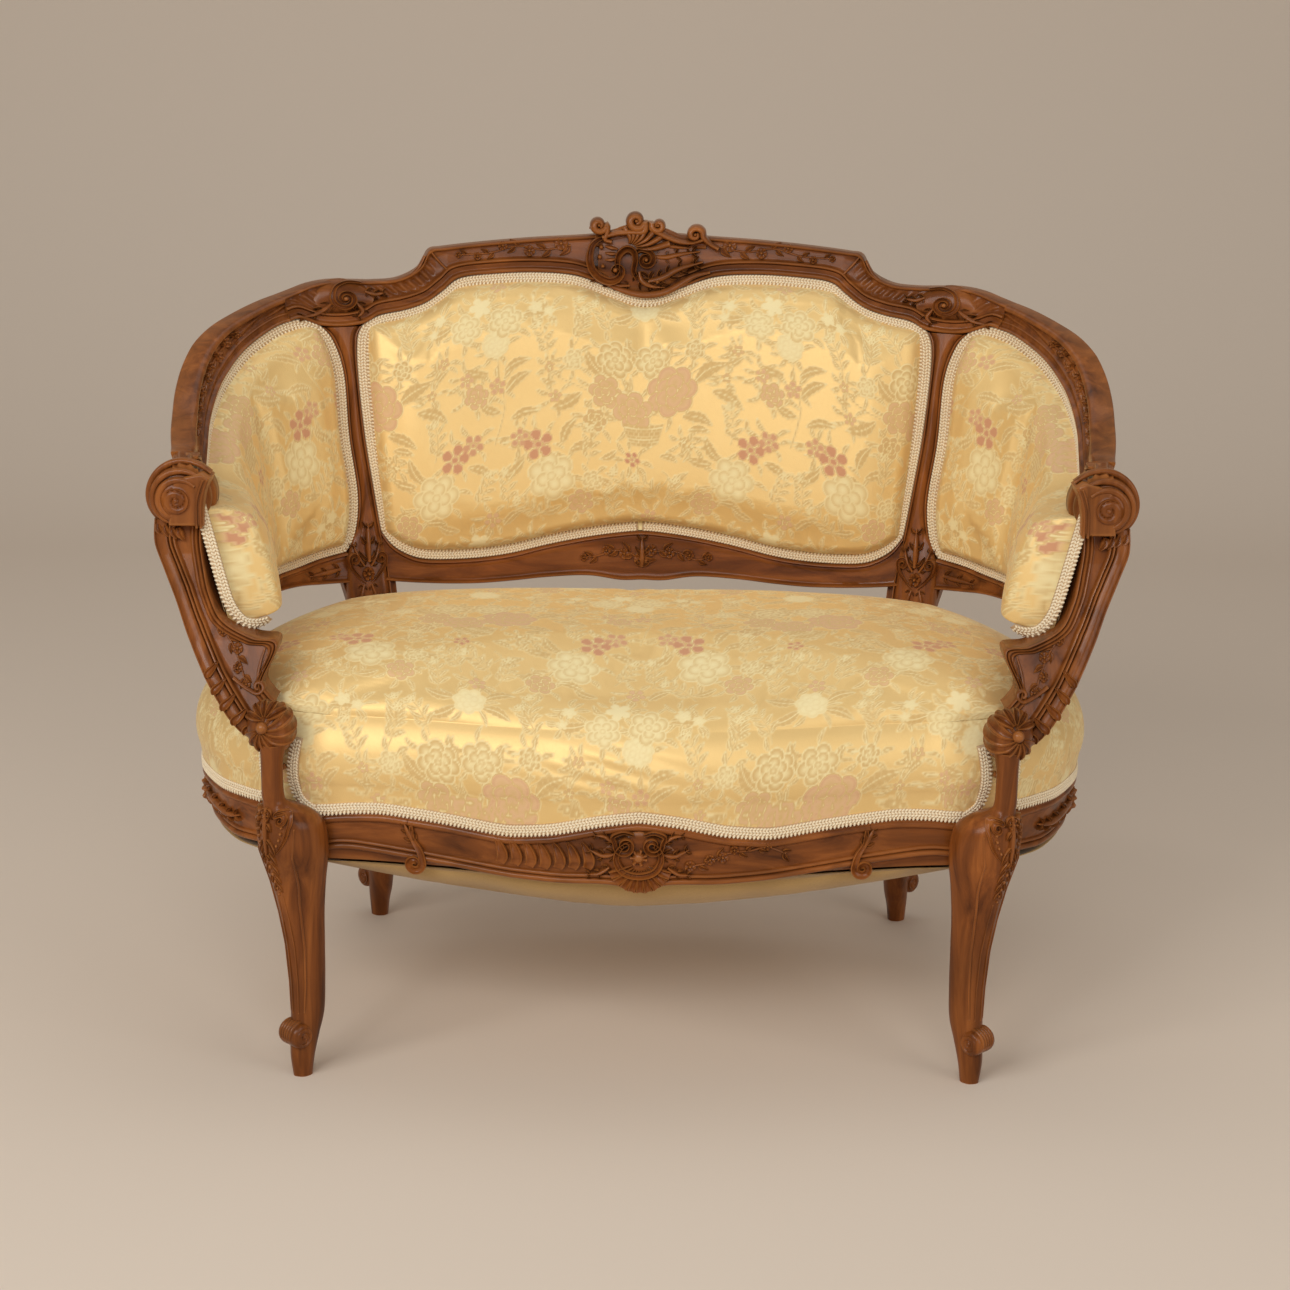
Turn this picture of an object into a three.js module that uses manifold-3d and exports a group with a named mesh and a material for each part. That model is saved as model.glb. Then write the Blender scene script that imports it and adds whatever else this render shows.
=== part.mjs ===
// A small French settee with a basket-shaped back, in millimetres.
// X runs along its width, Y from the front feet to the back, Z up from the floor.
// The back and arms are drawn flat on an unrolled sheet, run along the curve and height,
// and are then bent round the plan curve and leaned back, as the real rails are sawn.
import * as THREE from 'three';
import { mergeVertices } from 'three/addons/utils/BufferGeometryUtils.js';
import Module from 'manifold-3d';

const wasm = await Module();
wasm.setup();

// Fits
const jointGap = 0.3;
const clothGap = 0.5;
const weldGap = 0.001;

// Seat rail, and the foot of the back above it
const seatHalfWidth = 548;
const railTop = 333;
const railBottom = 274;
const seatRise = 167;
const sheetFoot = railTop + seatRise;

// Plan of the back and arms: arcs from the middle of the back, with their turns in degrees
const sheetDepth = 545;
const backArcLength = 360;
const cornerArcLength = 210;
const armArcLength = 180;
const armEndLength = 140;
const planTurns = [16, 60, 24, 2];
const rakeShares = [[0, 0.20], [0.40, 0.20], [0.64, 0.22], [0.84, 0.23], [1, 0.25]];
const backRise = 455;

// Show-wood rails of the back and arms
const railFront = 20;
const railBack = 12;
const railField = 15;
const beadWidth = 5;
const rebateWidth = 10;
const rebateFace = 2;

// Carved forms of the back
const cartoucheRelief = 33;
const knobRelief = 27;
const blockRelief = 25;
const reliefShoulder = [0.75, 0.5];
const reliefTopShare = 0.75;

// Upholstery of the back and arms
const liningThickness = 1.2;
const liningGap = 1.3;
const liningInset = 5;
const padEdge = 8;
const centreCrown = 36;
const sideCrown = 30;
const armRollCrown = 62;
const armRollShares = [0.35, 0.92];
const padEndPower = 4;
const armRollEndPower = 12;
const armRollBelly = 0.8;
const padBellyPower = 3;
const braidWidth = 12;
const braidThickness = 4;
const outsideCover = 1.8;
const outsideOverlap = 6;
const outsideBulge = 5;

// Arm scrolls and supports
const scrollRadius = 40;
const scrollAside = 67.8;
const scrollRise = 194;
const scrollZ = sheetFoot + scrollRise;
const scrollAhead = 14.2;
const scrollLength = 73;
const reedDepth = 2.5;
const eyeBead = 4;
const supportThickness = 44;
const supportRise = 168;
const supportTop = sheetFoot + supportRise;
const supportWidth = 180;
const supportCoveShare = 0.45;
const supportFilletShares = [0.55, 0.8];
const supportEdgeRound = 1.6;

// Legs
const legPitchShare = 0.73;
const legPitch = seatHalfWidth * legPitchShare;
const legFrontLine = 2;
const neckRise = 91;
const legHeight = railTop + neckRise;
const legGirth = 38;
const kneeThrow = 40;
const rearPitchShare = 0.679;
const rearLegX = seatHalfWidth * rearPitchShare;
const rearLegSetback = 55;
const rearLegY = sheetDepth - rearLegSetback;
const rearLegGirth = 27;
const rearLegHeight = 450;
const rearKick = 55;
const toeRadius = 16;
const toeWidth = 34;
const toeHeight = 55;
const toeReach = 8;
const rearToeReach = 16;

// Knuckle at the foot of each arm support, over the leg's neck
const knuckleOffset = 32;
const knuckleX = legPitch + knuckleOffset;
const knuckleY = -14;
const knuckleRise = 17;
const knuckleZ = legHeight + knuckleRise;
const knuckleWidth = 84;
const knuckleDepth = 62;
const knuckleHeight = 68;
const supportTuck = 23;
const supportDrop = supportTop - knuckleZ + supportTuck;

// Seat frame
const frontRailPast = 4;
const frontRailReach = legPitch + frontRailPast;
const frontBow = 62;
const railDepth = 32;
const sideRailLean = 10;
const tackingRise = 14;
const seatRebate = 8;
const webbingLine = 272;
const rearRailBow = 54;
const rearRailSetback = 71;
const rearRailY = sheetDepth - rearRailSetback;
const shellWidth = 96;
const shellHeight = 66;
const shellRelief = 13;
const shellSkirt = 14;
const blockLeg = 84;
const blockHeight = 30;

// Seat upholstery and what carries it
const strapWidth = 50;
const strapThickness = 1.6;
const springRadius = 36;
const springWaist = 25;
const springWire = 3.4;
const springTurns = 4;
const springFacets = 5;
const strapSideShare = 0.93;
const hessianThickness = 1.8;
const hessianEdge = 352;
const hessianRise = 68;
const hessianPlateau = 3;
const coverThickness = 2.4;
const tuckSlack = 1.2;
const seatTuck = 79;
const wallHeight = seatRise - seatTuck;
const seatCrown = 96;
const seatCrownPowers = [4, 2, 4];
const seatCrownFullness = 0.55;
const wallBulge = 4;
const wallBellyRise = 0.55;
const wallBellyShare = 3;
const dustThickness = 1.4;
const dustSag = 56;
const dustSagPowers = [1.5, 5];
const dustColumns = 8;
const dustRows = 7;

// Joinery
const tenonLength = 22;
const tenonThickness = 8;
const tenonHeight = 26;
const dowelRadius = 5;
const dowelLength = 44;
const dowelSides = 8;
const frontJointShare = 0.97;
const rearJointShare = 0.035;
const neckPegShare = 0.42;

const walnut = new THREE.MeshStandardMaterial({ color: 0x5b2f17, roughness: 0.42 });
const rawBeech = new THREE.MeshStandardMaterial({ color: 0xb98f5e, roughness: 0.8 });
const brocade = new THREE.MeshStandardMaterial({ color: 0xd9bc73, roughness: 0.5 });
const braidCloth = new THREE.MeshStandardMaterial({ color: 0xe3cfa6, roughness: 0.85 });
const jute = new THREE.MeshStandardMaterial({ color: 0xa3855a, roughness: 0.95 });
const fibre = new THREE.MeshStandardMaterial({ color: 0x6f5a41, roughness: 1 });
const calico = new THREE.MeshStandardMaterial({ color: 0xb88f45, roughness: 0.9 });
const springSteel = new THREE.MeshStandardMaterial({ color: 0x8d8f92, roughness: 0.45, metalness: 0.9 });

const halfRun = backArcLength + cornerArcLength + armArcLength + armEndLength;
const quarterTurn = Math.PI / 2;

// Number helpers
const mix = THREE.MathUtils.lerp;
const steps = (count) => Array.from({ length: count + 1 }, (_, index) => index / count);

function lookUp(table, share) {
  const last = table.length - 1;
  let row = 1;
  while (row < last && table[row][0] < share) row += 1;
  const [from, low] = table[row - 1];
  const [to, high] = table[row];
  return mix(low, high, THREE.MathUtils.clamp((share - from) / (to - from), 0, 1));
}

// Solids: closed bodies from points and faces, joined and cut
function solidFrom(points, faces) {
  let volume = 0;
  for (const [a, b, c] of faces) volume += points[a].dot(points[b].clone().cross(points[c]));
  const turned = volume < 0 ? faces.map(([a, b, c]) => [a, c, b]) : faces;
  const geometry = new THREE.BufferGeometry();
  geometry.setAttribute('position', new THREE.Float32BufferAttribute(points.flatMap((p) => p.toArray()), 3));
  geometry.setIndex(turned.flat());
  return solidOf(geometry);
}

function solidOf(geometry) {
  const bare = geometry.clone();
  bare.deleteAttribute('normal');
  bare.deleteAttribute('uv');
  const welded = mergeVertices(bare, weldGap);
  return new wasm.Manifold(new wasm.Mesh({
    numProp: 3,
    vertProperties: new Float32Array(welded.attributes.position.array),
    triVerts: new Uint32Array(welded.index.array),
  }));
}

function placed(geometry, position, axis) {
  if (axis) {
    const up = new THREE.Vector3(0, 1, 0);
    geometry.applyQuaternion(new THREE.Quaternion().setFromUnitVectors(up, axis.clone().normalize()));
  }
  geometry.translate(position.x, position.y, position.z);
  return solidOf(geometry);
}

function mirrored(body) {
  const { vertProperties, triVerts } = body.getMesh();
  const flipped = Float32Array.from(vertProperties, (value, index) => (index % 3 === 0 ? -value : value));
  const turned = Uint32Array.from(triVerts);
  for (let corner = 0; corner < turned.length; corner += 3) {
    [turned[corner], turned[corner + 1]] = [turned[corner + 1], turned[corner]];
  }
  return new wasm.Manifold(new wasm.Mesh({ numProp: 3, vertProperties: flipped, triVerts: turned }));
}

function meshFrom(name, body, material) {
  const { vertProperties, triVerts } = body.getMesh();
  const geometry = new THREE.BufferGeometry();
  geometry.setAttribute('position', new THREE.BufferAttribute(Float32Array.from(vertProperties), 3));
  geometry.setIndex(Array.from(triVerts));
  geometry.computeVertexNormals();
  const mesh = new THREE.Mesh(geometry, material);
  mesh.name = name;
  return mesh;
}

// A skin over rings with the same number of points, closed at both ends or into a loop
function loft(rings, { looped = false, section = null } = {}) {
  const size = rings[0].length;
  const points = rings.flat();
  const faces = [];
  const spans = looped ? rings.length : rings.length - 1;
  for (let ring = 0; ring < spans; ring += 1) {
    const near = ring * size;
    const far = ((ring + 1) % rings.length) * size;
    for (let corner = 0; corner < size; corner += 1) {
      const next = (corner + 1) % size;
      faces.push([near + corner, near + next, far + next], [near + corner, far + next, far + corner]);
    }
  }
  if (!looped) {
    const end = (rings.length - 1) * size;
    if (section) {
      const handed = Math.sign(THREE.ShapeUtils.area(section));
      for (const face of THREE.ShapeUtils.triangulateShape(section, [])) {
        const flip = Math.sign(THREE.ShapeUtils.area(face.map((corner) => section[corner]))) !== handed;
        const [a, b, c] = flip ? [face[0], face[2], face[1]] : face;
        faces.push([a, c, b], [end + a, end + b, end + c]);
      }
    } else {
      for (const [start, turn] of [[0, true], [end, false]]) {
        const middle = points.length;
        const ring = points.slice(start, start + size);
        points.push(ring.reduce((sum, p) => sum.add(p), new THREE.Vector3()).divideScalar(size));
        for (let corner = 0; corner < size; corner += 1) {
          const next = (corner + 1) % size;
          faces.push(turn ? [middle, start + next, start + corner] : [middle, start + corner, start + next]);
        }
      }
    }
  }
  return solidFrom(points, faces);
}

// Bending the flat drawing round the plan curve
const planArcs = [backArcLength, cornerArcLength, armArcLength, armEndLength].map((length, index) => ({
  length,
  turn: THREE.MathUtils.degToRad(planTurns[index]),
}));

function planPoint(run) {
  const spot = { x: 0, y: sheetDepth, heading: 0 };
  let left = run;
  for (const [index, { length, turn }] of planArcs.entries()) {
    const last = index === planArcs.length - 1;
    const part = last ? left : Math.min(left, length);
    const bend = (turn * part) / length;
    const radius = length / turn;
    spot.x += radius * (Math.sin(spot.heading + bend) - Math.sin(spot.heading));
    spot.y += radius * (Math.cos(spot.heading + bend) - Math.cos(spot.heading));
    spot.heading += bend;
    left -= part;
    if (left <= 0) break;
  }
  return spot;
}

// A place on the bent sheet: run from the middle, height, and distance toward the sitter
function sheet(run, height, inset) {
  const side = run < 0 ? -1 : 1;
  const { x, y, heading } = planPoint(Math.abs(run));
  const lean = lookUp(rakeShares, Math.abs(run) / halfRun) * (height - sheetFoot) - inset;
  return new THREE.Vector3(side * (x + Math.sin(heading) * lean), y + Math.cos(heading) * lean, height);
}

const onSheet = ([run, rise]) => new THREE.Vector2(run * halfRun, sheetFoot + rise * backRise);
const spline = (points) => new THREE.SplineCurve(points);
const sheetCurve = (shares) => spline(shares.map(onSheet));
const bothSides = (shares) => [...shares.slice(1).reverse().map(([run, rise]) => [-run, rise]), ...shares];

// Moulded section of a show-wood rail: rebates for the upholstery, two beads and a sunk field
function railSection(width, grow) {
  const inner = -rebateWidth - grow;
  const front = railFront + grow;
  const field = Math.min(railField, railFront) + grow;
  const step = rebateFace + grow;
  const bead = Math.min(beadWidth, width / 4);
  return [
    [inner, -railBack - grow],
    [inner, step],
    [-grow, step],
    [-grow, front - bead / 2],
    [bead, front],
    [bead * 2, field],
    [width - bead * 2, field],
    [width - bead, front],
    [width + grow, front - bead / 2],
    [width + grow, -railBack - grow],
  ];
}

// A rail between two matching edges, with the section carried from one end to the other
function rail(inner, outer, count, grow) {
  const rings = [];
  let flat = null;
  for (const share of steps(count)) {
    const low = inner.getPoint(share);
    const across = outer.getPoint(share).sub(low);
    const width = across.length();
    across.normalize();
    const along = new THREE.Vector2();
    if (share === 0) along.copy(inner.getTangent(share)).multiplyScalar(-grow);
    if (share === 1) along.copy(inner.getTangent(share)).multiplyScalar(grow);
    const section = railSection(width, grow);
    if (!flat) flat = section.map(([w, t]) => new THREE.Vector2(w, t));
    rings.push(section.map(([w, t]) => sheet(
      low.x + across.x * w + along.x,
      low.y + across.y * w + along.y,
      t,
    )));
  }
  return loft(rings, { section: flat });
}

// A carved form standing on a rail: an outline round a middle, with a soft crown
function boss(outline, middle, { foot, edge, crown, grow = 0, map = sheet }) {
  const spread = -grow / outline[0].distanceTo(middle);
  const [shoulderRise, shoulderShare] = reliefShoulder;
  const levels = [
    [foot - grow, spread],
    [edge + grow, spread],
    [mix(edge, crown, shoulderRise) + grow, shoulderShare],
    [crown + grow, reliefTopShare],
  ];
  return loft(levels.map(([height, share]) => (
    outline.map((p) => map(mix(p.x, middle.x, share), mix(p.y, middle.y, share), height))
  )));
}

// A flat patch between four edges that share their corners
function patch(bottom, top, left, right) {
  return (u, v) => {
    const a = bottom.getPoint(u).multiplyScalar(1 - v).add(top.getPoint(u).multiplyScalar(v));
    const b = left.getPoint(v).multiplyScalar(1 - u).add(right.getPoint(v).multiplyScalar(u));
    const c = bottom.getPoint(0).multiplyScalar((1 - u) * (1 - v));
    c.add(bottom.getPoint(1).multiplyScalar(u * (1 - v)));
    c.add(top.getPoint(0).multiplyScalar((1 - u) * v)).add(top.getPoint(1).multiplyScalar(u * v));
    return a.add(b).sub(c);
  };
}

// The rim of a patch as a closed run of points, anticlockwise
function rimShares(columns, rows) {
  const rim = [];
  for (let i = 0; i < columns; i += 1) rim.push([i / columns, 0]);
  for (let j = 0; j < rows; j += 1) rim.push([1, j / rows]);
  for (let i = columns; i > 0; i -= 1) rim.push([i / columns, 1]);
  for (let j = rows; j > 0; j -= 1) rim.push([0, j / rows]);
  return rim;
}

// A closed run of points moved inward by a distance
function insetRim(points, distance) {
  return points.map((point, index) => {
    const before = points[(index + points.length - 1) % points.length];
    const after = points[(index + 1) % points.length];
    const along = after.clone().sub(before).normalize();
    return new THREE.Vector2(point.x - along.y * distance, point.y + along.x * distance);
  });
}

// A padded or flat body over a patch: a top surface, rims down its side, and an underside
function quilt({ shape, columns, rows, rims, top, underside, map }) {
  const shares = rimShares(columns, rows);
  const outline = shares.map(([u, v]) => shape(u, v));
  const points = [];
  const faces = [];
  const loops = rims.map(({ inset, level }) => insetRim(outline, inset).map((p, index) => {
    points.push(map(p.x, p.y, level(p.x, p.y, ...shares[index])));
    return points.length - 1;
  }));
  for (let ring = 1; ring < loops.length; ring += 1) {
    for (let index = 0; index < outline.length; index += 1) {
      const next = (index + 1) % outline.length;
      const [a, b] = [loops[ring - 1][index], loops[ring - 1][next]];
      const [c, d] = [loops[ring][next], loops[ring][index]];
      faces.push([a, b, c], [a, c, d]);
    }
  }
  const surface = (loop, level, turned) => {
    const place = (i, j) => {
      const edge = shares.findIndex(([u, v]) => (
        Math.round(u * columns) === i && Math.round(v * rows) === j
      ));
      if (edge >= 0) return loop[edge];
      const p = shape(i / columns, j / rows);
      points.push(map(p.x, p.y, level(p.x, p.y, i / columns, j / rows)));
      return points.length - 1;
    };
    const grid = steps(columns).map((_, i) => steps(rows).map((__, j) => place(i, j)));
    for (let i = 0; i < columns; i += 1) {
      for (let j = 0; j < rows; j += 1) {
        const [a, b, c, d] = [grid[i][j], grid[i + 1][j], grid[i + 1][j + 1], grid[i][j + 1]];
        faces.push(...(turned ? [[a, c, b], [a, d, c]] : [[a, b, c], [a, c, d]]));
      }
    }
  };
  surface(loops[0], underside, true);
  surface(loops[loops.length - 1], top, false);
  return solidFrom(points, faces);
}

const hump = (share, power) => 1 - Math.abs(2 * share - 1) ** power;
const dome = (u, v, power) => hump(u, power) * hump(v, power);
const level = (height) => () => height;

// A flat braid laid along a run of points: a thin four-sided band
function band(near, far, low, high, map, looped) {
  return loft(near.map((p, index) => {
    const q = far[index];
    const [under, over] = [low(index), high(index)];
    return [map(p.x, p.y, under), map(q.x, q.y, under), map(q.x, q.y, over), map(p.x, p.y, over)];
  }), { looped });
}

// Outlines of the back, as shares of the unrolled half run and of the rise of the back
const openingTopShares = [
  [0, 0.813], [0.051, 0.842], [0.101, 0.877], [0.163, 0.886], [0.225, 0.881], [0.270, 0.870],
  [0.294, 0.835], [0.320, 0.800], [0.351, 0.780], [0.388, 0.767], [0.411, 0.743],
];
const openingSideShares = [
  [0.401, 0.143], [0.408, 0.250], [0.417, 0.420], [0.421, 0.600], [0.419, 0.700], [0.411, 0.743],
];
const openingFootShares = [
  [0, 0.130], [0.034, 0.125], [0.084, 0.112], [0.146, 0.090], [0.202, 0.066], [0.253, 0.055],
  [0.303, 0.053], [0.343, 0.059], [0.370, 0.080], [0.388, 0.107], [0.401, 0.143],
];
const crestUnderShares = [
  ...openingTopShares, [0.438, 0.736], [0.463, 0.743], [0.488, 0.765], [0.502, 0.760],
];
const crestTopShares = [
  [0, 1], [0.051, 0.996], [0.101, 0.989], [0.163, 0.982], [0.230, 0.971], [0.290, 0.958],
  [0.311, 0.949], [0.326, 0.901], [0.357, 0.870], [0.393, 0.864], [0.418, 0.866], [0.443, 0.868],
  [0.466, 0.860], [0.488, 0.843], [0.506, 0.830],
];
const hoopUnderShares = [
  [0.502, 0.760], [0.519, 0.752], [0.547, 0.727], [0.581, 0.692], [0.620, 0.644], [0.669, 0.589],
  [0.717, 0.532], [0.751, 0.486], [0.787, 0.453], [0.831, 0.435], [0.872, 0.433],
];
const hoopTopShares = [
  [0.506, 0.830], [0.528, 0.816], [0.562, 0.791], [0.601, 0.762], [0.643, 0.723], [0.685, 0.679],
  [0.728, 0.628], [0.765, 0.583], [0.803, 0.551], [0.840, 0.527], [0.875, 0.521],
];
const stileOuterShares = [
  [0.454, 0.020], [0.458, 0.090], [0.441, 0.143], [0.432, 0.250], [0.438, 0.420], [0.438, 0.600],
  [0.449, 0.700], [0.463, 0.743],
];
const sideFootShares = [
  [0.458, 0.090], [0.508, 0.079], [0.565, 0.066], [0.680, 0.062], [0.800, 0.062], [0.900, 0.064],
  [0.972, 0.072],
];
const sideFootUnderShares = [
  [0.458, 0.000], [0.508, 0.006], [0.565, 0.015], [0.680, 0.020], [0.800, 0.014], [0.900, 0.005],
  [0.972, 0.000],
];
const lowerRailUnderShares = [
  [0, -0.014], [0.034, -0.015], [0.084, -0.002], [0.146, -0.006], [0.202, -0.015], [0.253, -0.020],
  [0.303, -0.018], [0.343, -0.013], [0.370, -0.008], [0.388, -0.004], [0.401, 0.000],
];
const crestStations = crestUnderShares.length * 2 - 2;
const cartoucheMiddleShare = [0.006, 0.94];
const cartoucheShares = [
  [-0.085, 0.91], [-0.079, 0.98], [-0.060, 1.03], [-0.034, 1.045], [-0.016, 1.07], [0.006, 1.072],
  [0.024, 1.05], [0.044, 1.036], [0.071, 1.005], [0.098, 0.985], [0.091, 0.93], [0.067, 0.880],
  [0.040, 0.850], [0.009, 0.828], [-0.029, 0.838], [-0.060, 0.860],
];
const knobMiddleShare = [0.430, 0.815];
const knobShares = [
  [0.403, 0.835], [0.419, 0.872], [0.438, 0.880], [0.455, 0.855], [0.457, 0.805], [0.441, 0.765],
  [0.421, 0.755], [0.405, 0.785],
];
const blockMiddleShare = [0.424, 0.030];
const blockShares = [
  [0.386, 0.000], [0.376, 0.060], [0.394, 0.112], [0.409, 0.165], [0.427, 0.165], [0.442, 0.120],
  [0.464, 0.070], [0.460, 0.000], [0.470, -0.090], [0.430, -0.120], [0.390, -0.090],
];
const stileTopShare = 0.736;
const centreColumns = openingTopShares.length * 2 - 2;
const sideHeadShares = [
  [0.463, 0.743], [0.488, 0.765], ...hoopUnderShares.slice(1), [0.925, 0.430], [0.957, 0.418],
];
const sideColumns = sideHeadShares.length - 1;
const padRows = openingSideShares.length - 1;
const plainRows = 3;
const stileRiseShares = [-0.060, 0.020, 0.090, 0.143, 0.250, 0.420, 0.600, 0.700, stileTopShare];

// Crest rail: one carved board with ears, coves, knobs and the centre cartouche
function crestRail(grow = 0) {
  const body = rail(
    sheetCurve(bothSides(crestUnderShares)),
    sheetCurve(bothSides(crestTopShares)),
    crestStations,
    grow,
  );
  const form = { foot: -railBack / 2, edge: railField, grow };
  const cartouche = boss(
    cartoucheShares.map(onSheet),
    onSheet(cartoucheMiddleShare),
    { ...form, crown: cartoucheRelief },
  );
  const knobs = [1, -1].map((side) => boss(
    knobShares.map(([run, rise]) => onSheet([side * run, rise])),
    onSheet([side * knobMiddleShare[0], knobMiddleShare[1]]),
    { ...form, crown: knobRelief },
  ));
  return knobs.reduce((whole, knob) => whole.add(knob), body.add(cartouche));
}

// Top rail: the hoop from the crest's end down to the arm scroll
const jointShare = jointGap / halfRun;
function topRail(grow = 0) {
  const shift = ([run, rise], index) => [index === 0 ? run + jointShare : run, rise];
  return rail(
    sheetCurve(hoopUnderShares.map(shift)),
    sheetCurve(hoopTopShares.map(shift)),
    hoopUnderShares.length - 1,
    grow,
  );
}

// Lower rail of the back, between the stiles
function lowerBackRail(grow = 0) {
  return rail(
    sheetCurve(bothSides(openingFootShares)),
    sheetCurve(bothSides(lowerRailUnderShares)),
    centreColumns,
    grow,
  );
}

// Lower rail under the side pad, from the stile to the arm support
function lowerSideRail(grow = 0) {
  return rail(sheetCurve(sideFootShares), sheetCurve(sideFootUnderShares), sideColumns, grow);
}

// Legs: rings of nine points, nose first, across a direction that points out of the corner
const legRingShares = [
  [1, 0], [0.84, 0.44], [0.42, 0.88], [-0.40, 0.96], [-0.92, 0.58], [-0.92, -0.58], [-0.40, -0.96],
  [0.42, -0.88], [0.84, -0.44],
];
const outward = new THREE.Vector2(Math.SQRT1_2, -Math.SQRT1_2);
const rearOutward = new THREE.Vector2(Math.SQRT1_2, Math.SQRT1_2);

function legRing(middle, height, direction, deep, wide) {
  return legRingShares.map(([d, c]) => new THREE.Vector3(
    middle.x + direction.x * d * deep - direction.y * c * wide,
    middle.y + direction.y * d * deep + direction.x * c * wide,
    height,
  ));
}

// Front leg stations: share of height, share of throw outward, shares of girth deep and wide
const frontLegShares = [
  [0.000, 0.16, 0.29, 0.30], [0.060, 0.16, 0.37, 0.38], [0.125, 0.06, 0.45, 0.44],
  [0.190, -0.05, 0.53, 0.50], [0.285, -0.07, 0.56, 0.53], [0.400, -0.02, 0.61, 0.58],
  [0.495, 0.08, 0.70, 0.66], [0.590, 0.20, 0.82, 0.86], [0.685, 0.35, 1.00, 1.10],
  [0.765, 0.42, 0.95, 1.06], [0.805, 0.60, 0.74, 0.78], [0.832, 0.90, 0.40, 0.40],
  [0.862, 1.00, 0.33, 0.34], [0.950, 1.00, 0.33, 0.34], [1.000, 0.96, 0.40, 0.40],
];

function toe(middle, direction, reach, grow) {
  const across = new THREE.Vector3(-direction.y, direction.x, 0);
  const roll = new THREE.CylinderGeometry(toeRadius + grow, toeRadius + grow, toeWidth + 2 * grow, 12);
  const centre = new THREE.Vector3(
    middle.x + direction.x * reach,
    middle.y + direction.y * reach,
    toeHeight,
  );
  return placed(roll, centre, across);
}

function frontLeg(grow = 0) {
  const middleAt = (share) => new THREE.Vector2(
    legPitch + outward.x * share * kneeThrow,
    legFrontLine + outward.y * share * kneeThrow,
  );
  const shank = loft(frontLegShares.map(([rise, out, deep, wide]) => legRing(
    middleAt(out),
    rise * legHeight,
    outward,
    deep * legGirth + grow,
    wide * legGirth + grow,
  )));
  return shank.add(toe(middleAt(0), outward, toeReach, grow));
}

// Rear leg and back stile in one: a kicked leg below the seat, then the stile on the sheet
const rearLegShares = [
  [0.000, 0.95, -0.11, 0.42, 0.42], [0.050, 0.92, -0.12, 0.50, 0.50], [0.105, 0.80, -0.16, 0.60, 0.60],
  [0.200, 0.56, -0.20, 0.66, 0.66], [0.360, 0.26, -0.17, 0.74, 0.72], [0.500, 0.02, -0.10, 0.84, 0.82],
  [0.620, -0.20, -0.04, 0.96, 0.94], [0.760, -0.28, 0.04, 1.00, 1.00],
];
const stileInnerShares = [[0.388, -0.060], ...openingSideShares];
const stileLedgeFromShare = 0.080;
const runAt = (shares, rise) => halfRun * lookUp(shares.map(([run, share]) => [share, run]), rise);

function stileRing(rise, grow) {
  const height = sheetFoot + rise * backRise;
  const left = runAt(stileInnerShares, rise) - grow;
  const right = runAt(stileOuterShares, rise) + grow;
  const ledge = rise < stileLedgeFromShare ? rebateFace : rebateWidth;
  const middle = (left + right) / 2;
  const front = railFront + grow;
  const step = rebateFace + grow;
  return [
    [middle, front], [right - beadWidth / 2, front - beadWidth / 2], [right, step],
    [right + ledge, step], [right + ledge, -railBack - grow],
    [left - ledge, -railBack - grow], [left - ledge, step], [left, step],
    [left + beadWidth / 2, front - beadWidth / 2],
  ].map(([run, inset]) => sheet(run, height, inset));
}

function rearLeg(grow = 0) {
  const middleAt = (back, side) => new THREE.Vector2(rearLegX + side * rearKick, rearLegY + back * rearKick);
  const lower = rearLegShares.map(([rise, back, side, deep, wide]) => {
    const turn = THREE.MathUtils.clamp(1 - 2 * rise, 0, 1);
    const direction = new THREE.Vector2(0, -1).lerp(rearOutward.clone().negate(), turn).normalize();
    return legRing(
      middleAt(back, side),
      rise * rearLegHeight,
      direction,
      deep * rearLegGirth + grow,
      wide * rearLegGirth + grow,
    );
  });
  const top = stileTopShare - (grow ? 0 : 2 * jointGap / backRise);
  const upper = stileRiseShares.map((rise) => stileRing(Math.min(rise, top), grow));
  const [, footBack, footSide] = rearLegShares[0];
  const foot = toe(middleAt(footBack, footSide), rearOutward, rearToeReach, grow);
  const body = loft([...lower, ...upper]).add(foot);
  const carving = boss(
    blockShares.map(onSheet),
    onSheet(blockMiddleShare),
    { foot: -railBack / 2, edge: railField, crown: blockRelief, grow },
  );
  return body.add(carving);
}

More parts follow.
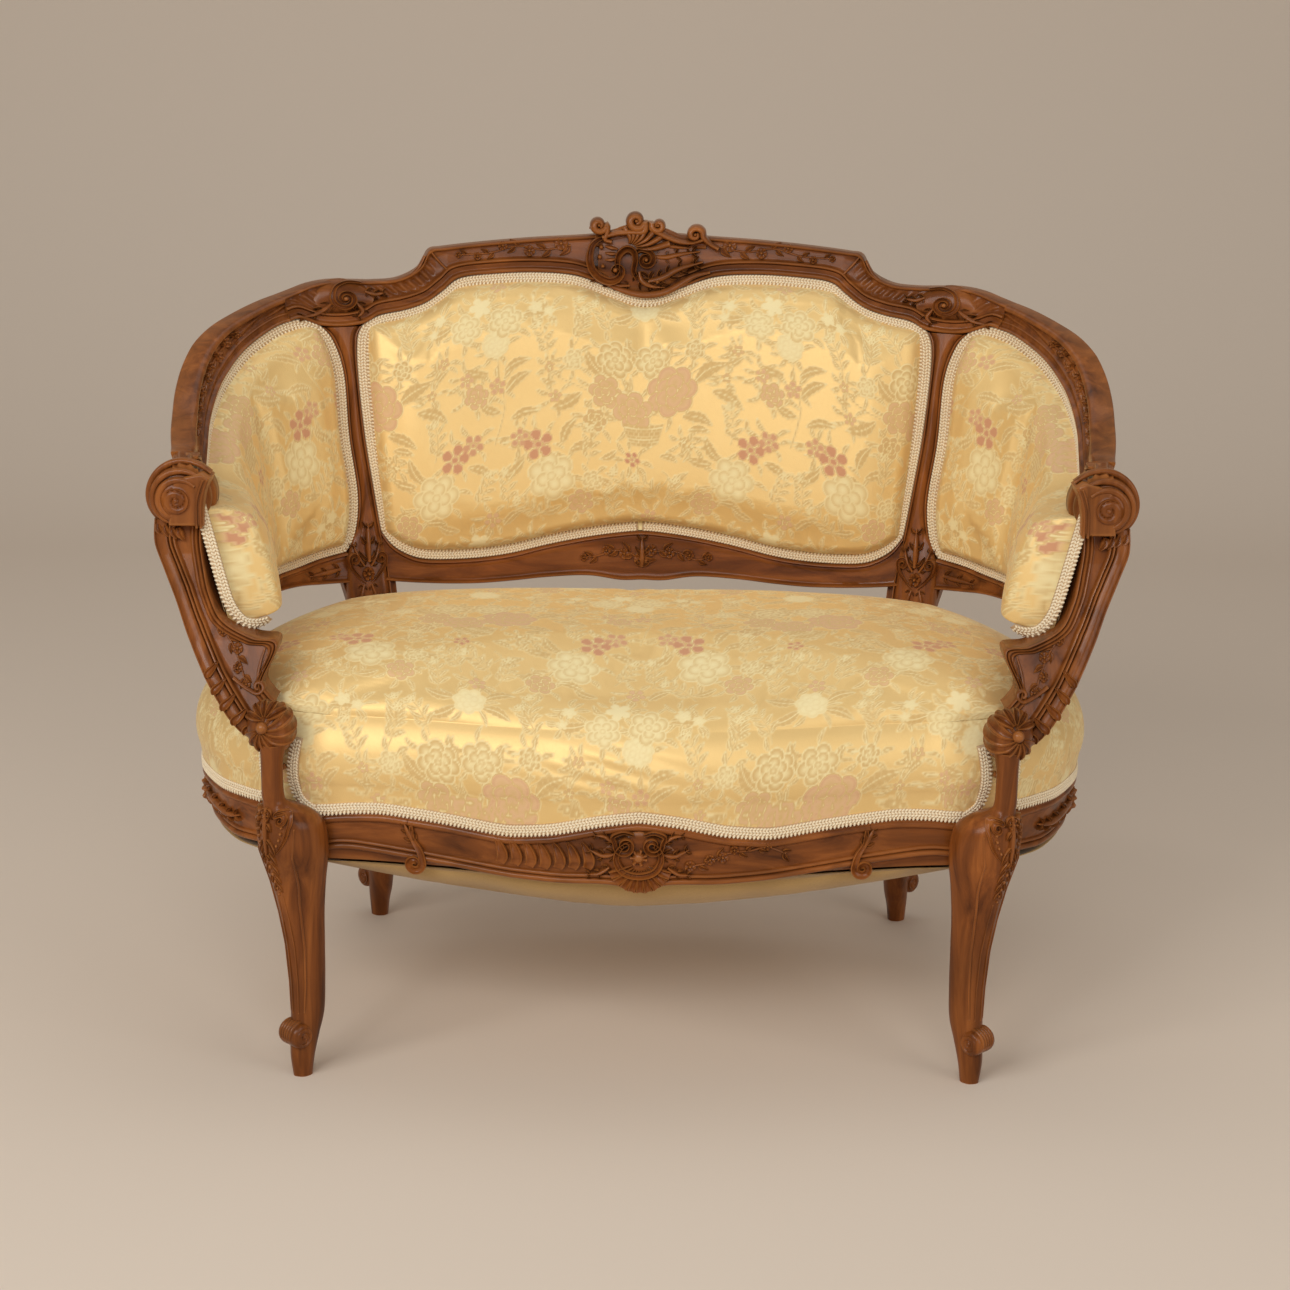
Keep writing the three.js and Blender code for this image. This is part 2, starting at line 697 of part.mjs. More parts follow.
// Arm scroll: a reeded roll on a front-to-back axis, its neck, and a spiral on its face
const reedCount = 4;
const reedFromShare = 0.07;
const reedToShare = 0.80;
const rollFaceShare = 0.84;
const rollTailShare = 0.66;
const neckShare = 0.42;
const spiralTurns = 1.6;
const spiralRadiusShares = [0.70, 0.16];
const armTip = planPoint(halfRun);
const scrollX = armTip.x + scrollAside;
const scrollFront = armTip.y + scrollAhead;
function armScroll(grow = 0) {
  const profile = [new THREE.Vector2(0, -grow), new THREE.Vector2(scrollRadius * rollFaceShare + grow, -grow)];
  for (let step = 0; step <= 2 * reedCount; step += 1) {
    const share = mix(reedFromShare, reedToShare, step / (2 * reedCount));
    const radius = scrollRadius - (step % 2 === 0 ? reedDepth : 0) + grow;
    profile.push(new THREE.Vector2(radius, share * scrollLength));
  }
  profile.push(new THREE.Vector2(scrollRadius * rollTailShare + grow, scrollLength + grow));
  profile.push(new THREE.Vector2(0, scrollLength + grow));
  const roll = placed(
    new THREE.LatheGeometry(profile, 15),
    new THREE.Vector3(scrollX, scrollFront, scrollZ),
  );
  const last = hoopUnderShares.length - 1;
  const low = onSheet(hoopUnderShares[last]);
  const high = onSheet(hoopTopShares[last]);
  const ends = [jointGap - grow, armEndLength * neckShare].map((ahead, index) => {
    const squeeze = index * beadWidth;
    return [[low.y + squeeze, 1], [low.y, 0], [low.y, -1], [low.y + squeeze, -1],
      [high.y - squeeze, -1], [high.y, -1], [high.y, 0], [high.y - squeeze, 1]].map(([height, side], corner) => {
      const inset = side > 0 ? railFront + grow : side * (railBack + grow);
      const edge = corner < 4 ? low : high;
      return sheet(edge.x + ahead, height + Math.sign(edge.y - low.y - 1) * grow, side === 0 ? 0 : inset);
    });
  });
  const body = roll.add(loft(ends));
  return grow === 0 ? body.add(spiralBead()) : body;
}

function spiralBead() {
  const points = steps(18).map((share) => {
    const radius = scrollRadius * mix(...spiralRadiusShares, share);
    const angle = mix(0.5, 0.5 + 4 * spiralTurns, share) * quarterTurn;
    return new THREE.Vector3(
      scrollX + radius * Math.cos(angle),
      scrollFront,
      scrollZ + radius * Math.sin(angle),
    );
  });
  const half = eyeBead / 2;
  const bead = new THREE.Shape([
    new THREE.Vector2(-half, -half), new THREE.Vector2(half, -half),
    new THREE.Vector2(half, half), new THREE.Vector2(-half, half),
  ]);
  const geometry = new THREE.ExtrudeGeometry(bead, {
    steps: 18,
    extrudePath: new THREE.CatmullRomCurve3(points),
  });
  return solidOf(geometry);
}

// Arm support: a C-swept board whose foot curls into a knuckle over the leg's neck
const supportOuterShares = [
  [0.960, 0], [0.958, 0.112], [0.894, 0.232], [0.812, 0.372], [0.728, 0.532], [0.634, 0.672],
  [0.576, 0.746], [0.485, 0.846], [0.378, 0.944], [0.289, 0.985],
];
const supportInnerShares = [
  [0.640, 0], [0.645, 0.100], [0.622, 0.216], [0.578, 0.345], [0.490, 0.455], [0.300, 0.528],
  [0.140, 0.555], [0.222, 0.712], [0.178, 0.776], [0.139, 0.800],
];
const supportDepthShares = [
  [0, 0.36], [0.16, 0.33], [0.35, 0.27], [0.55, 0.20], [0.71, 0.12], [0.87, 0.055], [1, 0.05],
];
const supportPoint = ([out, down]) => (
  new THREE.Vector2(legPitch + out * supportWidth, supportTop - down * supportDrop)
);

function supportMap(x, z, forward) {
  const share = (supportTop - z) / supportDrop;
  return new THREE.Vector3(x, lookUp(supportDepthShares, share) * supportDrop - forward, z);
}

function armSupport(grow = 0) {
  const inner = spline(supportInnerShares.map(supportPoint));
  const outer = spline(supportOuterShares.map(supportPoint));
  const half = supportThickness / 2;
  const rings = steps(15).map((share) => {
    const low = inner.getPoint(share);
    const across = outer.getPoint(share).sub(low);
    const width = across.length();
    across.normalize();
    const bead = Math.min(beadWidth, width / 6);
    const field = half - (railFront - railField);
    return [
      [-grow, -half - grow], [-grow, half - bead / 2 + grow], [bead, half + grow],
      [width * supportCoveShare, field + grow],
      ...supportFilletShares.map((fillet) => [width * fillet, half + grow]),
      [width + grow, half - bead * supportEdgeRound + grow], [width + grow, -half - grow],
    ].map(([w, t]) => supportMap(low.x + across.x * w, low.y + across.y * w, t));
  });
  const knuckle = new THREE.SphereGeometry(1, 11, 7);
  knuckle.scale(knuckleWidth / 2 + grow, knuckleDepth / 2 + grow, knuckleHeight / 2 + grow);
  return loft(rings).add(placed(knuckle, new THREE.Vector3(knuckleX, knuckleY, knuckleZ)));
}

// Seat rails: a plan curve carried round, with a moulded face and a tacking rebate
function seatRail(plan, count, topAt, bottomAt, { grow = 0, lean = 0 } = {}) {
  const ledge = railTop + tackingRise;
  const rings = steps(count).map((share) => {
    const along = plan.getTangent(share);
    const ahead = grow * (Number(share === 1) - Number(share === 0));
    const point = plan.getPoint(share).addScaledVector(along, ahead);
    const inward = new THREE.Vector2(-along.y, along.x);
    const top = topAt(share);
    const bottom = bottomAt(share);
    const bead = beadWidth;
    return [
      [railDepth + grow, webbingLine - grow], [bead * 2 + lean, webbingLine - grow],
      [bead + lean, bottom - grow], [lean - grow, bottom + bead - grow],
      [bead / 2 + lean - grow, bottom + bead * 2], [bead / 2 - grow, top - bead * 2],
      [-grow, top - bead], [bead / 2, top + grow], [seatRebate - grow, top + grow],
      [seatRebate - grow, ledge + grow], [railDepth + grow, ledge + grow],
    ].map(([depth, z]) => new THREE.Vector3(point.x + inward.x * depth, point.y + inward.y * depth, z));
  });
  const section = [
    [railDepth, 0], [beadWidth * 2, 0], [beadWidth, -beadWidth], [0, 0], [beadWidth / 2, beadWidth],
    [beadWidth / 2, railTop - railBottom - beadWidth * 2], [0, railTop - railBottom - beadWidth],
    [beadWidth / 2, railTop - railBottom], [seatRebate, railTop - railBottom],
    [seatRebate, railTop - railBottom + tackingRise], [railDepth, railTop - railBottom + tackingRise],
  ].map(([depth, z]) => new THREE.Vector2(depth, z));
  return loft(rings, { section });
}

// Front rail: serpentine in plan, scalloped above and below
const seatColumns = 14;
const seatRows = 8;
const frontBowAt = (x) => -frontBow * (1 + Math.cos(Math.PI * Math.min(1, Math.abs(x) / frontRailReach))) / 2;
const frontPlan = spline(steps(24).map((share) => {
  const x = mix(-frontRailReach, frontRailReach, share);
  return new THREE.Vector2(x, frontBowAt(x));
}));
const railHeight = railTop - railBottom;
const frontTopShares = [
  [0, 0.20], [0.12, 0.08], [0.25, -0.14], [0.38, -0.24], [0.55, -0.10], [0.75, 0.02], [0.90, -0.04],
  [1, -0.18],
];
const frontBottomShares = [
  [0, -0.20], [0.10, -0.10], [0.22, -0.14], [0.38, -0.10], [0.55, 0.02], [0.72, 0.14], [0.86, 0.24],
  [1, 0.10],
];
const frontTopAt = (share) => railTop + railHeight * lookUp(frontTopShares, Math.abs(2 * share - 1));
const frontBottomAt = (share) => railBottom + railHeight * lookUp(frontBottomShares, Math.abs(2 * share - 1));

function frontRail(grow = 0) {
  const body = seatRail(frontPlan, 2 * seatColumns, frontTopAt, frontBottomAt, { grow });
  const outlineShares = steps(11).slice(0, -1).map((share) => {
    const angle = share * 4 * quarterTurn;
    return new THREE.Vector2(Math.cos(angle) / 2, Math.sin(angle) / 2);
  });
  const middle = new THREE.Vector2(0, railTop - shellHeight / 2 + beadWidth);
  const outline = outlineShares.map((p) => new THREE.Vector2(
    middle.x + p.x * shellWidth,
    middle.y + p.y * shellHeight,
  ));
  const map = (x, z, forward) => new THREE.Vector3(x, frontBowAt(x) - forward, z);
  return body.add(boss(outline, middle, { foot: -shellSkirt, edge: 0, crown: shellRelief, grow, map }));
}

// Side rail: bowed outward from the front leg to the rear leg
const sidePlanShares = [
  [0.790, 0.04], [0.860, 0.10], [0.925, 0.18], [0.985, 0.33], [1, 0.47], [0.975, 0.64], [0.905, 0.82],
  [0.800, 0.95], [0.735, 1.00],
];
const sidePlanPoint = ([out, back]) => new THREE.Vector2(out * seatHalfWidth, back * rearRailY);
const sidePlan = spline(sidePlanShares.map(sidePlanPoint));
const sideTopShares = [[0, 0.02], [0.2, 0.04], [0.45, 0.03], [0.7, 0.05], [1, 0.05]];
const sideBottomShares = [[0, 0.08], [0.2, 0.00], [0.45, 0.04], [0.7, 0.05], [1, 0.05]];
const sideTopAt = (share) => railTop + railHeight * lookUp(sideTopShares, share);
const sideBottomAt = (share) => railBottom + railHeight * lookUp(sideBottomShares, share);
function sideRail(grow = 0) {
  return seatRail(sidePlan, 2 * seatRows, sideTopAt, sideBottomAt, { grow, lean: sideRailLean });
}

// Rear rail: plain, bowed back between the stiles
const rearPlan = spline(steps(12).map((share) => {
  const across = mix(1, -1, share);
  return new THREE.Vector2(across * rearLegX, rearRailY + rearRailBow * (1 - across * across));
}));
const rearRail = (grow = 0) => seatRail(rearPlan, 8, level(railTop), level(railBottom), { grow });

// Tenons and dowels, each at a place and along the line on which it enters the next piece
function tenon({ from, into }, grow = 0) {
  const [height, length, thickness] = [tenonHeight, tenonLength * 2, tenonThickness].map((size) => size + 2 * grow);
  const box = new THREE.BoxGeometry(height, length, thickness);
  box.applyQuaternion(new THREE.Quaternion().setFromAxisAngle(new THREE.Vector3(0, 1, 0), quarterTurn));
  return placed(box, from, into);
}

function dowel({ from, into }, grow = 0) {
  const peg = new THREE.CylinderGeometry(dowelRadius + grow, dowelRadius + grow, dowelLength + 2 * grow, dowelSides);
  return placed(peg, from, into);
}

// A joint near the end of a seat rail runs on along the rail
const railMiddle = (railTop + railBottom) / 2;
function railJoint(plan, share) {
  const point = plan.getPoint(share);
  const along = plan.getTangent(share);
  const into = share < 0.5 ? along.clone().negate() : along;
  return {
    from: new THREE.Vector3(point.x - along.y * railDepth / 2, point.y + along.x * railDepth / 2, railMiddle),
    into: new THREE.Vector3(into.x, into.y, 0),
  };
}

// A joint in the back, from one place on the sheet toward another
function sheetJoint(fromShare, towardShare, inset) {
  const [from, toward] = [fromShare, towardShare].map((share) => {
    const p = onSheet(share);
    return sheet(p.x, p.y, inset);
  });
  return { from, into: toward.sub(from) };
}

const tenonInset = (rebateFace - railBack) / 2;
const frontJoint = railJoint(frontPlan, frontJointShare);
const sideFrontJoint = railJoint(sidePlan, 0);
const sideRearJoint = railJoint(sidePlan, 1);
const rearJoint = railJoint(rearPlan, rearJointShare);
const backJoint = sheetJoint([0.386, 0.035], [0.400, 0.035], tenonInset);
const armJoint = sheetJoint([0.474, 0.042], [0.460, 0.042], tenonInset);
const stileJoint = sheetJoint([0.438, stileTopShare], [0.438, 0.756], tenonInset);
const crestPeg = sheetJoint([0.5045, 0.798], [0.516, 0.792], 0);
const armPeg = sheetJoint([0.8735, 0.475], [0.890, 0.474], 0);
const upright = new THREE.Vector3(0, 0, 1);
const scrollPeg = {
  from: new THREE.Vector3(scrollX, scrollFront + scrollLength / 2, scrollZ - scrollRadius),
  into: upright,
};
const neckPeg = {
  from: new THREE.Vector3(
    legPitch + outward.x * kneeThrow,
    legFrontLine + outward.y * kneeThrow,
    knuckleZ - knuckleHeight * neckPegShare,
  ),
  into: upright,
};

// The main piece of a body, when a cut has left slivers beside it
function mainPiece(body) {
  const { vertProperties, triVerts } = body.getMesh();
  const owner = Array.from({ length: vertProperties.length / 3 }, (_, index) => index);
  const rootOf = (vertex) => {
    let root = vertex;
    while (owner[root] !== root) root = owner[root];
    owner[vertex] = root;
    return root;
  };
  for (let face = 0; face < triVerts.length; face += 3) {
    owner[rootOf(triVerts[face + 1])] = rootOf(triVerts[face]);
    owner[rootOf(triVerts[face + 2])] = rootOf(triVerts[face]);
  }
  const corner = (vertex) => new THREE.Vector3().fromArray(vertProperties, vertex * 3);
  const volumes = new Map();
  for (let face = 0; face < triVerts.length; face += 3) {
    const [p, q, r] = [0, 1, 2].map((step) => corner(triVerts[face + step]));
    const root = rootOf(triVerts[face]);
    volumes.set(root, (volumes.get(root) ?? 0) + p.dot(q.cross(r)));
  }
  if (volumes.size === 1) return body;
  const [best] = [...volumes.entries()].reduce((most, next) => (next[1] > most[1] ? next : most));
  const kept = [];
  for (let face = 0; face < triVerts.length; face += 3) {
    if (rootOf(triVerts[face]) === best) kept.push(...triVerts.subarray(face, face + 3));
  }
  const used = [...new Set(kept)];
  const order = new Map(used.map((vertex, index) => [vertex, index]));
  return new wasm.Manifold(new wasm.Mesh({
    numProp: 3,
    vertProperties: Float32Array.from(used.flatMap((vertex) => corner(vertex).toArray())),
    triVerts: Uint32Array.from(kept.map((vertex) => order.get(vertex))),
  }));
}

// A piece cut clear of its neighbours, then given its tenons
function fitted(body, cutters, tenons = []) {
  const cut = mainPiece(cutters.reduce((left, cutter) => left.subtract(cutter), body));
  return tenons.reduce((whole, piece) => whole.add(piece), cut);
}

const withMirror = (body) => [body, mirrored(body)];

// The frame's right half and middle, cut to meet each other with the joint gap
const frontLegJoints = [frontJoint, sideFrontJoint];
const rearLegJoints = [backJoint, armJoint, sideRearJoint, rearJoint];
const frontLegBody = fitted(frontLeg(), [
  armSupport(jointGap),
  ...frontLegJoints.map((joint) => tenon(joint, jointGap)),
  dowel(neckPeg, jointGap),
]);
const lowerBackBody = fitted(
  lowerBackRail(),
  withMirror(rearLeg(jointGap)),
  withMirror(tenon(backJoint)),
);
const lowerSideBody = fitted(
  lowerSideRail(),
  [rearLeg(jointGap), armSupport(jointGap)],
  [tenon(armJoint)],
);
const rearLegBody = fitted(
  rearLeg(),
  [crestRail(jointGap), ...rearLegJoints.map((joint) => tenon(joint, jointGap))],
  [tenon(stileJoint)],
);
const crestBody = fitted(
  crestRail(),
  [tenon(stileJoint, jointGap), dowel(crestPeg, jointGap)].flatMap(withMirror),
);
const topRailBody = fitted(topRail(), [dowel(crestPeg, jointGap), dowel(armPeg, jointGap)]);
const armScrollBody = fitted(armScroll(), [dowel(armPeg, jointGap), dowel(scrollPeg, jointGap)]);
const armSupportBody = fitted(armSupport(), [
  armScroll(jointGap),
  dowel(scrollPeg, jointGap),
  dowel(neckPeg, jointGap),
]);
const frontRailBody = fitted(
  frontRail(),
  withMirror(frontLeg(jointGap)),
  withMirror(tenon(frontJoint)),
);
const sideRailBody = fitted(
  sideRail(),
  [frontLeg(jointGap), rearLeg(jointGap)],
  [tenon(sideFrontJoint), tenon(sideRearJoint)],
);
const rearRailBody = fitted(
  rearRail(),
  withMirror(rearLeg(jointGap)),
  withMirror(tenon(rearJoint)),
);

// Corner blocks: wedges that fill the corners of the seat frame
function cornerBlock(corner, legA, legB) {
  const shape = new THREE.Shape([
    corner,
    corner.clone().addScaledVector(legA, blockLeg),
    corner.clone().addScaledVector(legB, blockLeg),
  ]);
  const wedge = new THREE.ExtrudeGeometry(shape, { depth: blockHeight, bevelEnabled: false });
  wedge.translate(0, 0, railMiddle - blockHeight / 2);
  return solidOf(wedge);
}
const frontBlock = cornerBlock(
  new THREE.Vector2(legPitch, legFrontLine),
  new THREE.Vector2(-1, -0.06),
  new THREE.Vector2(0.36, 0.93),
);
const frontBlockBody = fitted(frontBlock, [
  frontRail(jointGap),
  sideRail(jointGap),
  frontLeg(jointGap),
  ...frontLegJoints.map((joint) => tenon(joint, jointGap)),
]);
const rearBlock = cornerBlock(
  new THREE.Vector2(rearLegX, rearRailY),
  new THREE.Vector2(0.42, -0.90),
  new THREE.Vector2(-1, 0.12),
);
const rearBlockBody = fitted(rearBlock, [
  rearRail(jointGap),
  sideRail(jointGap),
  rearLeg(jointGap),
  ...rearLegJoints.map((joint) => tenon(joint, jointGap)),
]);

// Upholstery of the back and arms
const padFoot = rebateFace + clothGap + liningThickness + liningGap;
const centreEdges = {
  bottom: sheetCurve(bothSides(openingFootShares)),
  top: sheetCurve(bothSides(openingTopShares)),
  left: sheetCurve(openingSideShares.map(([run, rise]) => [-run, rise])),
  right: sheetCurve(openingSideShares),
};
const sideStileShares = stileOuterShares.slice(1);
const sideFrontShares = [[0.972, 0.072], [0.974, 0.150], [0.970, 0.260], [0.963, 0.350], [0.957, 0.418]];
const sideEdges = {
  bottom: sheetCurve(sideFootShares),
  top: sheetCurve(sideHeadShares),
  left: sheetCurve(sideStileShares),
  right: sheetCurve(sideFrontShares),
};
const centreShape = patch(centreEdges.bottom, centreEdges.top, centreEdges.left, centreEdges.right);
const sideShape = patch(sideEdges.bottom, sideEdges.top, sideEdges.left, sideEdges.right);

function lining(shape, columns) {
  const low = rebateFace + clothGap;
  const high = low + liningThickness;
  return quilt({
    shape,
    columns,
    rows: plainRows,
    rims: [{ inset: liningInset, level: level(low) }, { inset: liningInset, level: level(high) }],
    top: level(high),
    underside: level(low),
    map: sheet,
  });
}

const padTop = padFoot + padEdge;
const centreLevel = (x, y, u, v) => padTop + centreCrown * Math.sqrt(dome(u, v, padBellyPower));

function sideLevel(run, height, u, v) {
  const front = THREE.MathUtils.smoothstep(u, ...armRollShares);
  const crown = mix(sideCrown, armRollCrown, front);
  const end = Math.sqrt(Math.max(0, hump(u, mix(padEndPower, armRollEndPower, u))));
  const belly = v ** mix(1, armRollBelly, front);
  return padTop + crown * end * Math.sqrt(hump(belly, padBellyPower));
}

function pad(shape, columns, top) {
  const under = clothGap * 2;
  return quilt({
    shape,
    columns,
    rows: padRows,
    rims: [
      { inset: under, level: level(padFoot) },
      { inset: under, level: level(padTop) },
      { inset: under + braidWidth + clothGap, level: level(padTop) },
    ],
    top,
    underside: level(padFoot),
    map: sheet,
  });
}

function rimBraid(shape, columns) {
  const rim = rimShares(columns, padRows).map(([u, v]) => shape(u, v));
  const low = level(padTop + clothGap);
  const high = level(padTop + clothGap + braidThickness);
  return band(insetRim(rim, clothGap * 2), insetRim(rim, braidWidth), low, high, sheet, true);
}

function outsideBack(shape, columns) {
  const near = -railBack - clothGap;
  const far = near - outsideCover;
  const bulged = (base) => (x, y, u, v) => base - outsideBulge * dome(u, v, 2);
  return quilt({
    shape,
    columns,
    rows: plainRows,
    rims: [{ inset: -outsideOverlap, level: level(far) }, { inset: -outsideOverlap, level: level(near) }],
    top: bulged(near),
    underside: bulged(far),
    map: sheet,
  });
}

// Seat upholstery: patch over the seat frame in plan
const otherSide = (p) => new THREE.Vector2(-p.x, p.y);
const sideLeftPlan = spline(sidePlan.points.map(otherSide));
const [frontCorner, rearCorner] = [sidePlan.getPoint(0), sidePlan.getPoint(1)];
const seatFront = spline([otherSide(frontCorner), ...frontPlan.points.slice(1, -1), frontCorner]);
const seatBack = spline([otherSide(rearCorner), ...[...rearPlan.points].reverse(), rearCorner]);
const seatShape = patch(seatFront, seatBack, sideLeftPlan, sidePlan);
const flat = (x, y, z) => new THREE.Vector3(x, y, z);

const wallTop = railTop + wallHeight;
const rollTop = wallTop + wallBulge * 2;
const [acrossPower, frontPower, rearPower] = seatCrownPowers;
function seatTopAt(u, v) {
  const swell = hump(u, acrossPower) * hump(v, mix(frontPower, rearPower, v));
  return wallTop + seatCrown * swell ** seatCrownFullness;
}
const hessianAt = (u, v) => hessianEdge + hessianRise * Math.min(1, hessianPlateau * dome(u, v, 2));

function railTopAt(u, v) {
  if (v === 0) return frontTopAt(u);
  if (v === 1) return railTop;
  return sideTopAt(v);
}

const tackingLine = railTop + tackingRise + clothGap;

function seatBody(thickness, hollow) {
  const skirt = seatRebate - clothGap - tuckSlack;
  const inside = (share) => skirt - share * wallBulge;
  const foot = (x, y, u, v) => (hollow ? railTopAt(u, v) + clothGap : tackingLine);
  const outer = [
    { inset: skirt - coverThickness + thickness, level: foot },
    { inset: skirt - coverThickness + thickness, level: level(tackingLine + braidWidth) },
    { inset: inside(wallBellyShare) - coverThickness + thickness, level: level(mix(railTop, wallTop, wallBellyRise)) },
    { inset: inside(-wallBellyShare) + thickness, level: level(rollTop - thickness) },
  ];
  return { outer, top: (x, y, u, v) => Math.max(seatTopAt(u, v), rollTop) - thickness };
}

function seatStuffing() {
  const { outer, top } = seatBody(coverThickness + clothGap, false);
  return quilt({
    shape: seatShape,
    columns: seatColumns,
    rows: seatRows,
    rims: [{
      inset: seatRebate * 2,
      level: level(tackingLine + hessianThickness + clothGap),
    }, ...outer],
    top,
    underside: (x, y, u, v) => hessianAt(u, v) + hessianThickness + clothGap,
    map: flat,
  });
}

function seatCover() {
  const inner = seatBody(coverThickness, true);
  const outer = seatBody(0, true);
  return quilt({
    shape: seatShape,
    columns: seatColumns,
    rows: seatRows,
    rims: [...inner.outer.reverse(), ...outer.outer],
    top: outer.top,
    underside: inner.top,
    map: flat,
  });
}

function hessian() {
  return quilt({
    shape: seatShape,
    columns: seatColumns,
    rows: seatRows,
    rims: [
      { inset: seatRebate * 2, level: level(tackingLine) },
      { inset: seatRebate * 2, level: level(tackingLine + hessianThickness) },
    ],
    top: (x, y, u, v) => hessianAt(u, v) + hessianThickness,
    underside: (x, y, u, v) => hessianAt(u, v),
    map: flat,
  });
}

function dustCover() {
  const line = webbingLine - strapThickness * 2 - clothGap * 3;
  const [acrossSag, depthSag] = dustSagPowers;
  const sag = (u, v) => dustSag * hump(u, acrossSag) * hump(v, depthSag);
  return quilt({
    shape: seatShape,
    columns: dustColumns,
    rows: dustRows,
    rims: [
      { inset: railDepth / 2, level: level(line - dustThickness) },
      { inset: railDepth / 2, level: level(line) },
    ],
    top: (x, y, u, v) => line - sag(u, v),
    underside: (x, y, u, v) => line - dustThickness - sag(u, v),
    map: flat,
  });
}

// Webbing straps under the rails, springs on the webbing
function straps(alongDepth, spots, top) {
  const pieces = spots.map((spot) => {
    const length = alongDepth
      ? rearRailY + rearRailBow * (1 - (spot / rearLegX) ** 2) - frontBowAt(spot) - railDepth
      : 2 * seatHalfWidth * strapSideShare;
    const middle = alongDepth ? frontBowAt(spot) + railDepth / 2 + length / 2 : spot;
    const strap = alongDepth
      ? new THREE.BoxGeometry(strapWidth, length, strapThickness)
      : new THREE.BoxGeometry(length, strapWidth, strapThickness);
    strap.translate(alongDepth ? spot : 0, middle, top - strapThickness / 2);
    return solidOf(strap);
  });
  return pieces;
}
const strapSpotShares = [-0.62, -0.31, 0, 0.31, 0.62];
const crossSpotShares = [0.27, 0.50, 0.73];
const upperStraps = straps(true, strapSpotShares.map((share) => share * rearLegX), webbingLine - clothGap);
const lowerStraps = straps(
  false,
  crossSpotShares.map((share) => share * rearRailY),
  webbingLine - strapThickness / 2 - clothGap,
);
const webbing = [...upperStraps, ...lowerStraps].reduce((whole, strap) => whole.add(strap));

class SpringCurve extends THREE.Curve {
  constructor(height) {
    super();
    this.height = height;
  }

  getPoint(share, target = new THREE.Vector3()) {
    const pinch = 1 - (2 * share - 1) ** 2;
    const radius = mix(springRadius, springWaist, pinch);
    const angle = share * springTurns * 4 * quarterTurn;
    return target.set(radius * Math.sin(angle), radius * Math.cos(angle), share * this.height);
  }
}

function spring(height) {
  const half = springWire / 2;
  const wire = new THREE.Shape([
    new THREE.Vector2(-half, -half), new THREE.Vector2(half, -half), new THREE.Vector2(0, half),
  ]);
  return new THREE.ExtrudeGeometry(wire, { steps: springTurns * springFacets, extrudePath: new SpringCurve(height) });
}

// Braid along a seat rail, over the run of its stations
function railBraid(plan, shares, topAt, grow = 0) {
  const back = seatRebate - 2 * (tuckSlack + clothGap) - coverThickness + grow;
  const face = back - braidThickness - 2 * grow;
  const [low, high] = [clothGap - grow, braidWidth + grow];
  return loft(shares.map((share) => {
    const point = plan.getPoint(share);
    const along = plan.getTangent(share);
    return [[back, low], [face, low], [face, high], [back, high]].map(([depth, rise]) => (
      new THREE.Vector3(point.x - along.y * depth, point.y + along.x * depth, topAt(share) + rise)
    ));
  }));
}

// The settee
const settee = new THREE.Group();
const frame = new THREE.Group();
const upholstery = new THREE.Group();
settee.add(frame, upholstery);

function addPair(group, name, body, material) {
  group.add(meshFrom(`right_${name}`, body, material));
  group.add(meshFrom(`left_${name}`, mirrored(body), material));
}

frame.add(meshFrom('crest_rail', crestBody, walnut));
addPair(frame, 'top_rail', topRailBody, walnut);
addPair(frame, 'arm_scroll', armScrollBody, walnut);
addPair(frame, 'arm_support', armSupportBody, walnut);
addPair(frame, 'front_leg', frontLegBody, walnut);
addPair(frame, 'rear_leg', rearLegBody, walnut);
frame.add(meshFrom('front_seat_rail', frontRailBody, walnut));
addPair(frame, 'side_seat_rail', sideRailBody, walnut);
frame.add(meshFrom('rear_seat_rail', rearRailBody, walnut));
frame.add(meshFrom('lower_back_rail', lowerBackBody, walnut));
addPair(frame, 'lower_side_rail', lowerSideBody, walnut);
addPair(frame, 'front_corner_block', frontBlockBody, rawBeech);
addPair(frame, 'rear_corner_block', rearBlockBody, rawBeech);

addPair(frame, 'crest_dowel', dowel(crestPeg), rawBeech);
addPair(frame, 'arm_dowel', dowel(armPeg), rawBeech);
addPair(frame, 'scroll_dowel', dowel(scrollPeg), rawBeech);
addPair(frame, 'neck_dowel', dowel(neckPeg), rawBeech);

const frontBraid = railBraid(frontPlan, steps(2 * seatColumns).slice(2, -2), frontTopAt);
const sideBraid = railBraid(sidePlan, steps(2 * seatRows).slice(2, -1), sideTopAt);
const seatFrame = [
  frontRail(clothGap),
  rearRail(clothGap),
  ...[sideRail, frontLeg, rearLeg, armSupport].flatMap((piece) => withMirror(piece(clothGap))),
];
const clearOfSeatFrame = (body) => fitted(body, seatFrame);
const centreFrame = [crestRail(jointGap), lowerBackRail(jointGap), ...withMirror(rearLeg(jointGap))];
const sideFrame = [crestRail, topRail, rearLeg, lowerSideRail, armSupport, armScroll].map((piece) => piece(jointGap));

upholstery.add(meshFrom('seat_webbing', webbing, jute));
upholstery.add(meshFrom('seat_hessian', clearOfSeatFrame(hessian()), jute));
upholstery.add(meshFrom('seat_stuffing', clearOfSeatFrame(seatStuffing()), fibre));
upholstery.add(meshFrom('seat_cover', clearOfSeatFrame(seatCover()), brocade));
upholstery.add(meshFrom('dust_cover', clearOfSeatFrame(dustCover()), calico));

